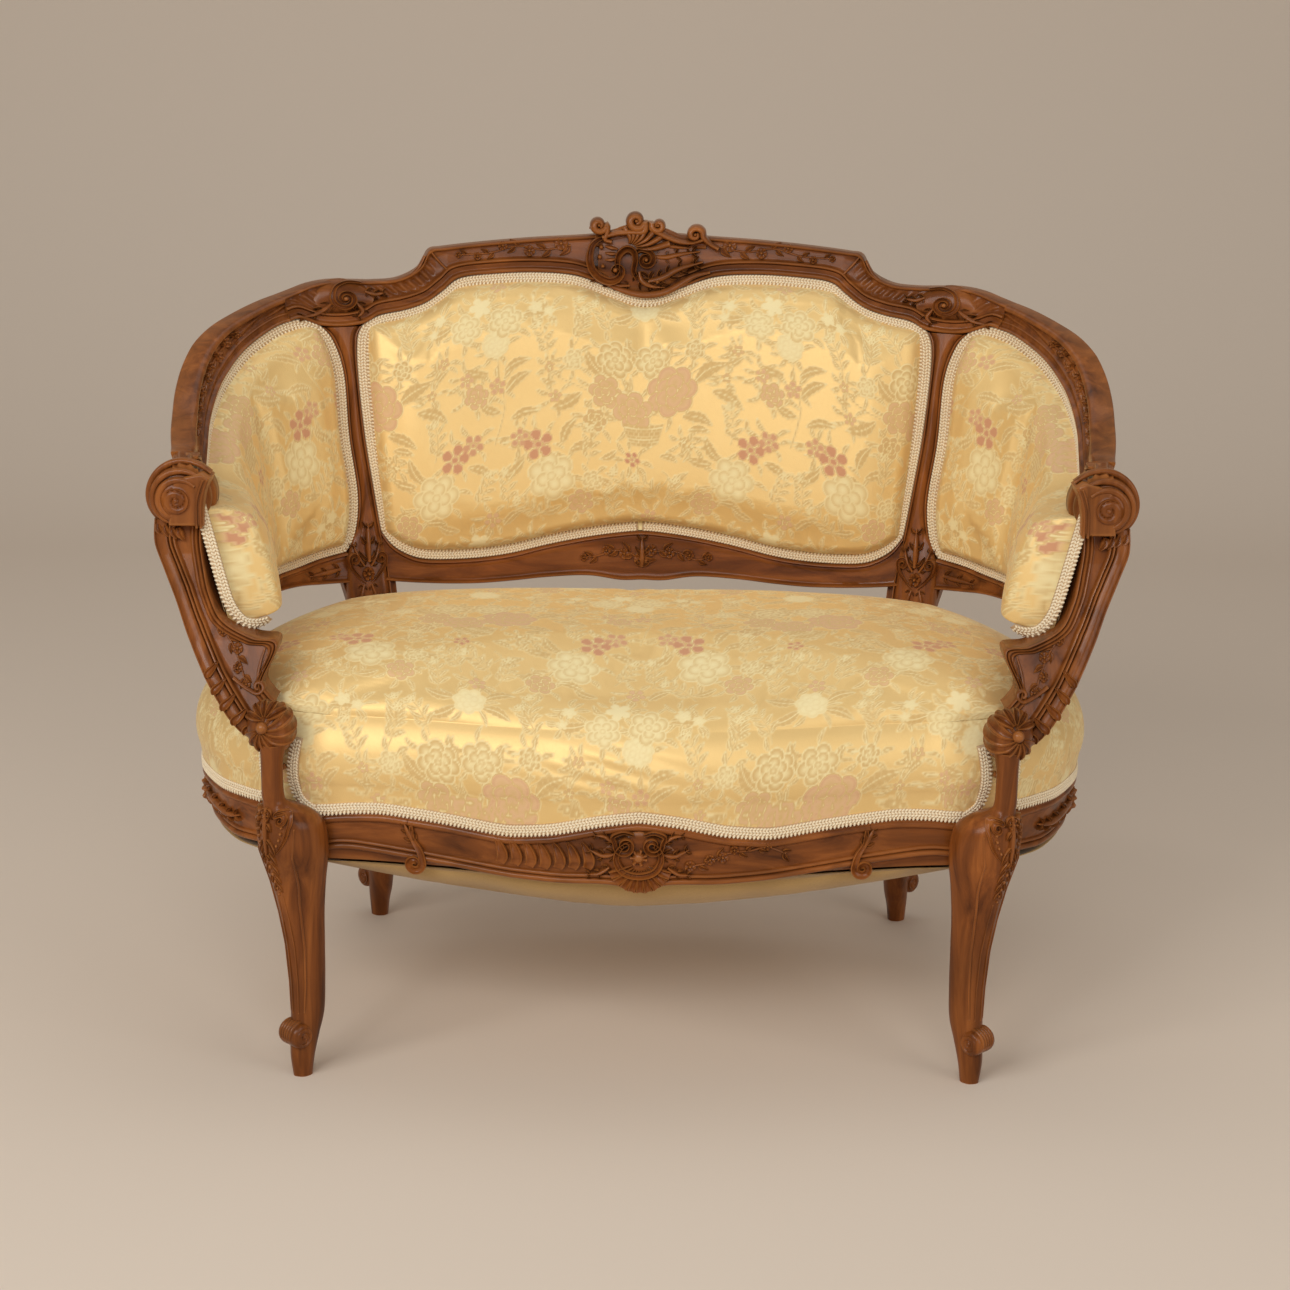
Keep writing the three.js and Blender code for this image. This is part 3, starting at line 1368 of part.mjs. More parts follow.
let springCount = 0;
for (const deep of crossSpotShares) {
  for (const across of [-0.62, 0, 0.62]) {
    springCount += 1;
    const u = (across * rearLegX) / (2 * seatHalfWidth) + 0.5;
    const top = hessianAt(u, mix(0.12, 0.9, deep)) - clothGap - springWire;
    const foot = webbingLine - clothGap + jointGap + springWire / 2;
    const coil = new THREE.Mesh(spring(top - foot), springSteel);
    coil.name = `seat_spring_${springCount}`;
    coil.position.set(across * rearLegX, deep * rearRailY, foot);
    upholstery.add(coil);
  }
}

upholstery.add(meshFrom('seat_front_braid', frontBraid, braidCloth));
addPair(upholstery, 'seat_side_braid', sideBraid, braidCloth);
const layers = [
  ['back_lining', (shape, columns) => lining(shape, columns), jute],
  ['back_pad', (shape, columns, top) => pad(shape, columns, top), brocade],
  ['back_braid', (shape, columns) => rimBraid(shape, columns), braidCloth],
  ['outside_back', (shape, columns) => outsideBack(shape, columns), brocade],
];
for (const [name, layer, material] of layers) {
  const centre = fitted(layer(centreShape, centreColumns, centreLevel), centreFrame);
  upholstery.add(meshFrom(`centre_${name}`, centre, material));
  addPair(upholstery, `side_${name}`, fitted(layer(sideShape, sideColumns, sideLevel), sideFrame), material);
}

// The origin is on the floor under the middle of the whole settee
const bounds = new THREE.Box3().setFromObject(settee);
const middle = bounds.getCenter(new THREE.Vector3());
for (const group of [frame, upholstery]) group.position.set(-middle.x, -middle.y, -bounds.min.z);

export default settee;
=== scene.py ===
import math

import bpy
import numpy as np
from mathutils import Matrix


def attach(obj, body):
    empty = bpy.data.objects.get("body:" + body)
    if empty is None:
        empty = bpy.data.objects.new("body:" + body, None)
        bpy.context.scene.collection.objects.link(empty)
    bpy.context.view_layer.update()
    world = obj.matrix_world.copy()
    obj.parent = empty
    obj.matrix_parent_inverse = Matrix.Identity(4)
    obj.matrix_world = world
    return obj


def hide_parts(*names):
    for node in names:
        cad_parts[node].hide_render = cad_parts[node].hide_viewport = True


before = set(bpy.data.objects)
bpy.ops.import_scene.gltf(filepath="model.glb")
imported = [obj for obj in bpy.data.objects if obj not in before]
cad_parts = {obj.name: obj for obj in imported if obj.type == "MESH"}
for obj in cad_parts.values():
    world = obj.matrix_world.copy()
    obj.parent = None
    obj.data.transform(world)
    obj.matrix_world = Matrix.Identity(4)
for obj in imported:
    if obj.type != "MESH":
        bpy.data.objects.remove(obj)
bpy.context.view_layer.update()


# The studio: a pale beige sweep of paper under and behind the settee, two soft boxes and a top
# light, and the camera at the height and distance of the photograph.
paper_colour = (0.76, 0.655, 0.55, 1)
paper_depth, paper_half, paper_rise, paper_bend = 2.6, 9.0, 7.0, 1.6


def studio_light(name, place, aim, size, watts, tint=(1, 1, 1)):
    lamp = bpy.data.lights.new(name, "AREA")
    lamp.shape = "RECTANGLE"
    lamp.size, lamp.size_y = size
    lamp.energy = watts
    lamp.color = tint
    holder = bpy.data.objects.new(name, lamp)
    bpy.context.collection.objects.link(holder)
    holder.location = place
    along = (holder.location - type(holder.location)(aim)).to_track_quat("Z", "Y")
    holder.rotation_euler = along.to_euler()
    return holder


def paper_sweep():
    bend = [
        (paper_depth + paper_bend * math.sin(a), paper_bend * (1 - math.cos(a)))
        for a in np.linspace(0, math.pi / 2, 13)
    ]
    line = [(-7.0, 0.0), *bend, (bend[-1][0], paper_rise)]
    points = [(x, y, z) for y, z in line for x in (-paper_half, paper_half)]
    faces = [(2 * i, 2 * i + 1, 2 * i + 3, 2 * i + 2) for i in range(len(line) - 1)]
    mesh = bpy.data.meshes.new("paper")
    mesh.from_pydata(points, [], faces)
    mesh.shade_smooth()
    paper = bpy.data.objects.new("paper", mesh)
    bpy.context.collection.objects.link(paper)
    finish = bpy.data.materials.new("paper")
    finish.use_nodes = True
    shader = finish.node_tree.nodes["Principled BSDF"]
    shader.inputs["Base Color"].default_value = paper_colour
    shader.inputs["Roughness"].default_value = 0.95
    shader.inputs["Specular IOR Level"].default_value = 0.1
    mesh.materials.append(finish)


paper_sweep()
studio_light("window_light", (-2.6, -3.4, 3.0), (0, 0, 0.5), (2.6, 2.0), 84, (1, 0.985, 0.96))
studio_light("fill_light", (3.2, -3.0, 1.8), (0, 0, 0.5), (2.4, 2.4), 36, (1, 0.98, 0.95))
studio_light("front_light", (-0.4, -4.0, 2.9), (0, 0, 0.5), (3.2, 1.4), 54, (1, 0.985, 0.96))
studio_light("top_light", (0.2, 0.6, 3.4), (0, 0.3, 0.4), (2.6, 1.6), 12)

camera = bpy.data.cameras.new("camera")
camera.sensor_width = 36
camera.lens = 69.77
camera.shift_x = 4 / 1290
eye = bpy.data.objects.new("camera", camera)
bpy.context.collection.objects.link(eye)
turn = Matrix.Rotation(math.radians(75.3), 4, "X") @ Matrix.Rotation(math.radians(0.65), 4, "Z")
eye.matrix_world = Matrix.Translation((0, -3.08677, 1.275)) @ turn
scene = bpy.context.scene
scene.camera = eye
scene.view_settings.view_transform = "Standard"
world = bpy.data.worlds.new("room")
scene.world = world
world.use_nodes = True
world.node_tree.nodes["Background"].inputs["Color"].default_value = (1, 0.97, 0.93, 1)
world.node_tree.nodes["Background"].inputs["Strength"].default_value = 0.28


# Crest rail: one carved walnut board with two small ears, coved ends, a knob over each stile and a
# lopsided rocaille cartouche in the middle. It is drawn flat, as run and height in millimetres,
# and bent round the plan of the back, as the real board is sawn, then carved.
plan_arcs = ((360, 16), (210, 60), (180, 24), (140, 2))
half_run = sum(length for length, _ in plan_arcs)
sheet_depth, sheet_foot, back_rise, setback = 545, 500, 455, 286.8
rake = np.array([[0, 0.20], [0.40, 0.20], [0.64, 0.22], [0.84, 0.23], [1, 0.25]])


def plan_at(run):
    """Place and heading on the plan curve of the back, at a run from its middle."""
    run = np.asarray(run, float)
    found = [np.zeros_like(run) for _ in range(3)]
    x, y, heading, start = 0.0, float(sheet_depth), 0.0, 0.0
    for order, (length, degrees) in enumerate(plan_arcs):
        bend = math.radians(degrees)
        radius = length / bend
        here = run >= start
        if order < len(plan_arcs) - 1:
            here &= run < start + length
        part = (run[here] - start) * bend / length
        found[0][here] = x + radius * (np.sin(heading + part) - math.sin(heading))
        found[1][here] = y + radius * (np.cos(heading + part) - math.cos(heading))
        found[2][here] = heading + part
        x += radius * (math.sin(heading + bend) - math.sin(heading))
        y += radius * (math.cos(heading + bend) - math.cos(heading))
        heading += bend
        start += length
    return found


def sheet(run, height, forward):
    """A place on the bent board: run from the middle, height, and distance toward the sitter."""
    run, height, forward = np.broadcast_arrays(*(np.asarray(v, float) for v in (run, height, forward)))
    x, y, heading = plan_at(np.abs(run))
    lean = np.interp(np.abs(run) / half_run, rake[:, 0], rake[:, 1]) * (height - sheet_foot) - forward
    side = np.where(run < 0, -1.0, 1.0)
    return np.stack([side * (x + np.sin(heading) * lean), y + np.cos(heading) * lean - setback, height], -1)


def on_sheet(shares):
    """Shares of the half run and of the rise of the back, as run and height."""
    return np.asarray(shares, float) * (half_run, back_rise) + (0, sheet_foot)


def both_sides(shares):
    return [(-run, rise) for run, rise in shares[:0:-1]] + list(shares)


def through(points, shares):
    """Places on a smooth curve through points, at shares of its length in points."""
    points = np.asarray(points, float)
    if points.ndim == 1:
        return through(points[:, None], shares)[:, 0]
    last = len(points) - 1
    at = np.clip(np.asarray(shares, float), 0, 1) * last
    i = np.minimum(at.astype(int), last - 1)
    t = (at - i)[:, None]
    a, b, c, d = (points[np.clip(i + k, 0, last)] for k in (-1, 0, 1, 2))
    m, n = (c - a) / 2, (d - b) / 2
    return (2 * b - 2 * c + m + n) * t**3 + (3 * c - 3 * b - 2 * m - n) * t**2 + m * t + b


def loft(rings):
    """A closed skin over rings of points, fanned shut at both ends."""
    count, size = rings.shape[:2]
    verts = np.concatenate([rings.reshape(-1, 3), rings[0].mean(0)[None], rings[-1].mean(0)[None]])
    near = np.arange(count - 1)[:, None] * size + np.arange(size)
    step = np.arange(count - 1)[:, None] * size + np.roll(np.arange(size), -1)
    quads = np.stack([near, step, step + size, near + size], -1).reshape(-1, 4)
    ring = np.arange(size)
    turned = np.roll(ring, -1)
    first, final = count * size, count * size + 1
    start = np.stack([np.full(size, first), turned, ring], -1)
    end = np.stack([np.full(size, final), ring, turned], -1) + [0, final - 1 - size, final - 1 - size]
    return verts, quads, np.concatenate([start, end])


def outward(part):
    """The same skin with its faces turned outward."""
    verts, quads, tris = part
    a, b, c, d = (verts[quads[:, k]] for k in range(4))
    volume = np.einsum("ij,ij->", a, np.cross(b, c)) + np.einsum("ij,ij->", a, np.cross(c, d))
    a, b, c = (verts[tris[:, k]] for k in range(3))
    volume += np.einsum("ij,ij->", a, np.cross(b, c))
    return part if volume > 0 else (verts, quads[:, ::-1], tris[:, ::-1])


def mirror(parts):
    return [(verts * (-1, 1, 1), quads, tris) for verts, quads, tris in parts]


def skin(name, parts, finish, crease=46):
    """One mesh object from closed skins in millimetres."""
    spots, corners, sizes, base = [], [], [], 0
    for verts, quads, tris in map(outward, parts):
        spots.append(verts)
        for faces in (quads, tris):
            corners.append((faces + base).ravel())
            sizes.append(np.full(len(faces), faces.shape[1]))
        base += len(verts)
    corners, sizes = np.concatenate(corners), np.concatenate(sizes)
    mesh = bpy.data.meshes.new(name)
    mesh.vertices.add(base)
    mesh.vertices.foreach_set("co", (np.concatenate(spots) / 1000).ravel().astype(np.float32))
    mesh.loops.add(len(corners))
    mesh.loops.foreach_set("vertex_index", corners.astype(np.int32))
    mesh.polygons.add(len(sizes))
    mesh.polygons.foreach_set("loop_start", np.concatenate([[0], np.cumsum(sizes)[:-1]]).astype(np.int32))
    mesh.update(calc_edges=True)
    mesh.validate()
    mesh.shade_smooth()
    if crease:
        mesh.set_sharp_from_angle(angle=math.radians(crease))
    made = bpy.data.objects.new(name, mesh)
    bpy.context.collection.objects.link(made)
    mesh.materials.append(finish)
    return made


def build(name, parts, finish, *nodes, slot="walnut", crease=46):
    """A finished piece, in place of the CAD nodes it stands for."""
    made = skin(name, parts, finish, crease)
    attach(made, "root")
    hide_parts(*nodes)
    return made


def rail_body(place, inner, outer, stations, near, far, field, step=2, back=-12, rebates=(10, 0),
    relief=None):
    """A moulded rail between two matching edges: near and far are moulding tables from each edge."""
    share = np.linspace(0, 1, stations + 1)
    low, high = through(inner, share), through(outer, share)
    width = np.linalg.norm(high - low, axis=1)
    across = (high - low) / width[:, None]
    near, far = np.array(near, float), np.array(far, float)
    squeeze = np.minimum(1, width / (near[-1, 0] + far[-1, 0] + 3))[:, None]
    start, stop = near[:, 0] * squeeze, width[:, None] - far[::-1, 0] * squeeze
    middle = start[:, -1:] + (stop[:, :1] - start[:, -1:]) * np.linspace(0, 1, 12)[1:-1]
    w = np.concatenate([start, middle, stop], 1)
    level = np.concatenate([near[:, 1], np.full(10, field), far[::-1, 1]]) * np.ones_like(w)
    if relief:
        spot = low[:, None] + across[:, None] * w[..., None]
        level = level + relief(spot[..., 0], spot[..., 1], w, width[:, None])
    edge = width[:, None]
    ledges = [(edge, step), (edge + rebates[1], step)] if rebates[1] else []
    ledges += [(edge + rebates[1], back + 1.5), (edge + rebates[1] - 1.5, back), (1.5 - rebates[0], back),
        (-rebates[0], back + 1.5)]
    ledges += [(-rebates[0], step), (0, step)] if rebates[0] else []
    w = np.concatenate([w] + [across_at + 0 * edge for across_at, _ in ledges], 1)
    level = np.concatenate([level] + [forward + 0 * edge for _, forward in ledges], 1)
    flat = low[:, None] + across[:, None] * w[..., None]
    return loft(place(flat[..., 0], flat[..., 1], level))


round_top = ((-1, 0), (-0.94, 0.42), (-0.72, 0.78), (-0.36, 0.96), (0, 1), (0.36, 0.96), (0.72, 0.78),
    (0.94, 0.42), (1, 0))
hollow_top = ((-1, 0), (-0.95, 0.85), (-0.78, 1), (-0.55, 0.8), (-0.25, 0.52), (0.25, 0.45), (0.55, 0.62),
    (0.8, 0.9), (0.95, 0.75), (1, 0))
leaf_top = ((-1, 0), (-0.9, 0.62), (-0.66, 0.86), (-0.36, 0.66), (-0.14, 0.62), (0, 1), (0.14, 0.62),
    (0.36, 0.66), (0.66, 0.86), (0.9, 0.62), (1, 0))


def strip(place, path, half, rise, top=round_top, ground=0, foot=6, stations=None):
    """A carved ribbon on a surface: half widths and rises run along the path from end to end."""
    stations = stations or 5 * len(path)
    share = np.linspace(0, 1, stations + 1)
    line = through(path, share)
    along = np.gradient(line, axis=0)
    along /= np.linalg.norm(along, axis=1)[:, None] + 1e-9
    half, rise = (
        np.maximum(through(np.atleast_1d(v) if np.size(v) > 1 else [v, v], share), 0.15) for v in (half,
            rise)
    )
    if callable(ground):
        base = ground(line[:, 0], line[:, 1])
    else:
        base = through([ground, ground] if np.size(ground) == 1 else ground, share)
    c, k = np.array(top).T
    c, k = np.append(c, [0.9, -0.9]), np.append(k, [0, 0])
    sunk = np.append(np.zeros(len(top)), [foot, foot])
    u = line[:, None, 0] - along[:, None, 1] * half[:, None] * c
    v = line[:, None, 1] + along[:, None, 0] * half[:, None] * c
    level = base[:, None] + rise[:, None] * k - sunk
    return loft(place(u, v, level))


def curl(centre, start, turns, close=0.22, count=14):
    """A spiral that winds in from start round centre; turns is signed."""
    centre, start = np.asarray(centre, float), np.asarray(start, float)
    reach, angle = np.hypot(*(start - centre)), math.atan2(*(start - centre)[::-1])
    share = np.linspace(0, 1, count)
    wound = angle + 2 * math.pi * turns * share
    radius = reach * (1 - (1 - close) * share**0.8)
    return centre + np.stack([radius * np.cos(wound), radius * np.sin(wound)], 1)


def button(place, centre, radius, rise, ground=0, round_count=12):
    """A small dome."""
    rings = []
    for lift in np.linspace(0, 1, 6):
        reach = radius * math.cos(lift * math.pi / 2)
        wound = np.linspace(0, 2 * math.pi, round_count, endpoint=False)
        top = ground + rise * math.sin(lift * math.pi / 2)
        rings.append(place(centre[0] + reach * np.cos(wound) + 1e-4, centre[1] + reach * np.sin(wound),
            top + 0 * wound))
    rings.insert(0, place(centre[0] + radius * np.cos(wound), centre[1] + radius * np.sin(wound),
        ground - 4 + 0 * wound))
    return loft(np.array(rings))


def blossom(place, centre, radius, rise, petals=5, turned=0.3, ground=0):
    """A carved flower: cupped petals round a button."""
    parts = []
    for petal in range(petals):
        angle = turned + 2 * math.pi * petal / petals
        away = np.array([math.cos(angle), math.sin(angle)])
        path = [np.add(centre, away * radius * share) for share in (0.12, 0.45, 0.8, 1.02)]
        wide = radius * math.sin(math.pi / petals)
        parts.append(strip(place, path, [wide * 0.35, wide * 0.8, wide * 1.02, wide * 0.35],
                           [rise * 0.6, rise * 0.8, rise, rise * 0.45], hollow_top, ground, stations=9))
    return parts + [button(place, centre, radius * 0.3, rise * 1.1, ground)]


def leaf(place, path, width, rise, ground=0, lobes=4, lobe=0.9):
    """A carved acanthus leaf: a ribbed blade with lobes that spring from both sides of its spine."""
    path = np.asarray(path, float)
    parts = [strip(place, path, [width * 0.22, width * 0.34, width * 0.28, width * 0.08],
                   [rise * 0.8, rise, rise * 0.9, rise * 0.4], round_top, ground)]
    share = np.linspace(0.06, 0.86, lobes)
    line = through(path, share)
    ahead = through(path, np.minimum(share + 0.02, 1)) - through(path, np.maximum(share - 0.02, 0))
    ahead /= np.linalg.norm(ahead, axis=1)[:, None]
    for side in (1, -1):
        for order, (spot, way) in enumerate(zip(line, ahead)):
            aside = np.array([-way[1], way[0]]) * side
            reach = width * lobe * (1 - 0.45 * order / lobes)
            tip = spot + aside * reach + way * reach * 0.95
            bend = spot + aside * reach * 0.62 + way * reach * 0.28
            parts.append(strip(place, [spot, bend, tip], [reach * 0.16, reach * 0.3, reach * 0.06],
                               [rise * 0.55, rise * 0.85, rise * 0.35], leaf_top, ground, stations=9))
    return parts


def spray(place, path, flowers, leaves, ground, rise=6, stem=1.3):
    """A carved sprig: a thin stem with flowers (place share, aside, radius) and leaves."""
    path = np.asarray(path, float)
    parts = [strip(place, path, stem, rise * 0.45, round_top, ground)]
    line = lambda s: through(path, [s])[0]
    for share, aside, radius in flowers:
        way = line(min(share + 0.02, 1)) - line(max(share - 0.02, 0))
        way /= np.linalg.norm(way)
        parts += blossom(place, line(share) + np.array([-way[1], way[0]]) * aside, radius, rise,
            ground=ground)
    for share, side, length in leaves:
        way = line(min(share + 0.02, 1)) - line(max(share - 0.02, 0))
        way /= np.linalg.norm(way)
        aside = np.array([-way[1], way[0]]) * side
        spot = line(share)
        parts.append(strip(place, [spot, spot + (way * 0.5 + aside * 0.62) * length * 0.6,
            spot + (way + aside * 0.7) * length],
                           [length * 0.08, length * 0.30, length * 0.05],
                           [rise * 0.5, rise * 0.9, rise * 0.35],
                           leaf_top, ground, stations=9))
    return parts


def walnut_finish(name, grain):
    """Stained, waxed walnut: grain runs along the given axis, and ambient occlusion darkens the hollows as
    painted shade with some grime.
    """
    finish = bpy.data.materials.new(name)
    finish.use_nodes = True
    tree = finish.node_tree
    nodes, links = tree.nodes, tree.links
    shader = nodes["Principled BSDF"]
    place = nodes.new("ShaderNodeTexCoord")
    stretch = nodes.new("ShaderNodeMapping")
    links.new(place.outputs["Object"], stretch.inputs["Vector"])
    stretch.inputs["Scale"].default_value = {"x": (4, 46, 46), "y": (46, 4, 46), "z": (46, 46, 4)}[grain]
    figure = nodes.new("ShaderNodeTexNoise")
    figure.inputs["Scale"].default_value = 1.0
    figure.inputs["Detail"].default_value = 6
    figure.inputs["Roughness"].default_value = 0.62
    figure.inputs["Distortion"].default_value = 0.7
    links.new(stretch.outputs["Vector"], figure.inputs["Vector"])
    pores = nodes.new("ShaderNodeTexNoise")
    pores.inputs["Scale"].default_value = 7.0
    pores.inputs["Detail"].default_value = 3
    links.new(stretch.outputs["Vector"], pores.inputs["Vector"])
    broad = nodes.new("ShaderNodeTexNoise")
    broad.inputs["Scale"].default_value = 9.0
    broad.inputs["Detail"].default_value = 2
    links.new(place.outputs["Object"], broad.inputs["Vector"])

    ramp = nodes.new("ShaderNodeValToRGB")
    ramp.color_ramp.elements[0].position = 0.28
    ramp.color_ramp.elements[0].color = (0.075, 0.020, 0.004, 1)
    ramp.color_ramp.elements[1].position = 0.72
    ramp.color_ramp.elements[1].color = (0.31, 0.098, 0.020, 1)
    middle = ramp.color_ramp.elements.new(0.5)
    middle.color = (0.185, 0.053, 0.010, 1)
    links.new(figure.outputs["Fac"], ramp.inputs["Fac"])

    tone = nodes.new("ShaderNodeMix")
    tone.data_type = "RGBA"
    tone.blend_type = "OVERLAY"
    tone.inputs["Factor"].default_value = 0.45
    links.new(ramp.outputs["Color"], tone.inputs["A"])
    links.new(broad.outputs["Color"], tone.inputs["B"])
    grey = nodes.new("ShaderNodeRGBToBW")
    links.new(broad.outputs["Fac"], grey.inputs["Color"])
    links.new(grey.outputs["Val"], tone.inputs["B"])

    # painted shade with some grime: ambient occlusion darkens the hollows toward a near-black brown and
    # makes them rougher
    hollow = nodes.new("ShaderNodeAmbientOcclusion")
    hollow.samples = 4
    hollow.only_local = True
    hollow.inputs["Distance"].default_value = 0.0045
    hollow_shade_and_grime = nodes.new("ShaderNodeMapRange")
    hollow_shade_and_grime.inputs["From Min"].default_value = 0.0
    hollow_shade_and_grime.inputs["From Max"].default_value = 0.62
    links.new(hollow.outputs["AO"], hollow_shade_and_grime.inputs["Value"])
    shaded_grimy_hollows = nodes.new("ShaderNodeMix")
    shaded_grimy_hollows.data_type = "RGBA"
    shaded_grimy_hollows.inputs["A"].default_value = (0.036, 0.013, 0.006, 1)
    links.new(hollow_shade_and_grime.outputs["Result"], shaded_grimy_hollows.inputs["Factor"])
    links.new(tone.outputs["Result"], shaded_grimy_hollows.inputs["B"])

    ridge = nodes.new("ShaderNodeNewGeometry")
    worn = nodes.new("ShaderNodeMapRange")
    worn.inputs["From Min"].default_value = 0.52
    worn.inputs["From Max"].default_value = 0.60
    worn.inputs["To Max"].default_value = 0.55
    links.new(ridge.outputs["Pointiness"], worn.inputs["Value"])
    rubbed = nodes.new("ShaderNodeMix")
    rubbed.data_type = "RGBA"
    rubbed.inputs["B"].default_value = (0.42, 0.16, 0.042, 1)
    links.new(worn.outputs["Result"], rubbed.inputs["Factor"])
    links.new(shaded_grimy_hollows.outputs["Result"], rubbed.inputs["A"])
    links.new(rubbed.outputs["Result"], shader.inputs["Base Color"])

    rough = nodes.new("ShaderNodeMapRange")
    rough.inputs["To Min"].default_value = 0.52
    rough.inputs["To Max"].default_value = 0.30
    links.new(hollow_shade_and_grime.outputs["Result"], rough.inputs["Value"])
    links.new(rough.outputs["Result"], shader.inputs["Roughness"])
    shader.inputs["Specular IOR Level"].default_value = 0.16
    shader.inputs["Coat Weight"].default_value = 0.16
    shader.inputs["Coat Roughness"].default_value = 0.13
    bump = nodes.new("ShaderNodeBump")
    bump.inputs["Strength"].default_value = 0.10
    bump.inputs["Distance"].default_value = 0.001
    links.new(pores.outputs["Fac"], bump.inputs["Height"])
    links.new(bump.outputs["Normal"], shader.inputs["Normal"])
    return finish


walnut_across = walnut_finish("walnut_across", "x")
walnut_upright = walnut_finish("walnut_upright", "z")

opening_top = [
    (0, 0.813), (0.051, 0.842), (0.101, 0.877), (0.163, 0.886), (0.225, 0.881), (0.270, 0.870),
    (0.294, 0.835), (0.320, 0.800), (0.351, 0.780), (0.388, 0.767), (0.411, 0.743),
]
crest_under = opening_top + [(0.438, 0.736), (0.463, 0.743), (0.488, 0.765), (0.502, 0.760)]
crest_top = [
    (0, 1), (0.051, 0.996), (0.101, 0.989), (0.163, 0.982), (0.230, 0.971), (0.290, 0.958),
    (0.311, 0.949), (0.326, 0.901), (0.357, 0.870), (0.393, 0.864), (0.418, 0.866), (0.443, 0.868),
    (0.466, 0.860), (0.488, 0.843), (0.506, 0.830),
]
# moulding tables: distance from the edge, and how far the face stands forward
inner_moulding = (
    (0, 15.5), (0.5, 17.6), (1.6, 19.4), (3, 20), (4.4, 19.3), (5.3, 17.6), (5.8, 15.2), (6.6, 14.6),
    (8.6, 14.8), (11, 15.6), (13, 16.2), (13.6, 15.0), (14.3, 16.8), (15.4, 18.4), (16.6, 18.6),
    (17.7, 17.4), (18.3, 15.0), (18.8, 12.8), (20, 12),
)
outer_moulding = (
    (0, 12.5), (0.5, 14.6), (1.5, 16.0), (2.8, 16.5), (4.0, 15.8), (4.9, 13.8), (5.5, 12.2), (6.5, 12),
)


def crest_relief(run, height, w, width):
    """Flutes across the coved ends, and a bellied field between."""
    run = np.abs(run)
    field = np.clip((w - 19) / 4, 0, 1) * np.clip((width - w - 6) / 4, 0, 1)
    end = np.clip((run - 268) / 14, 0, 1) * np.clip((452 - run) / 12, 0, 1)
    flutes = 0.5 + 0.5 * np.cos((run * 0.86 - (height - 860) * 0.9) * 2 * math.pi / 13)
    cove = np.clip((run - 255) / 20, 0, 1) * np.clip((350 - run) / 30, 0, 1)
    return field * (end * (3.2 * flutes - 1.5) - 2.5 * cove)


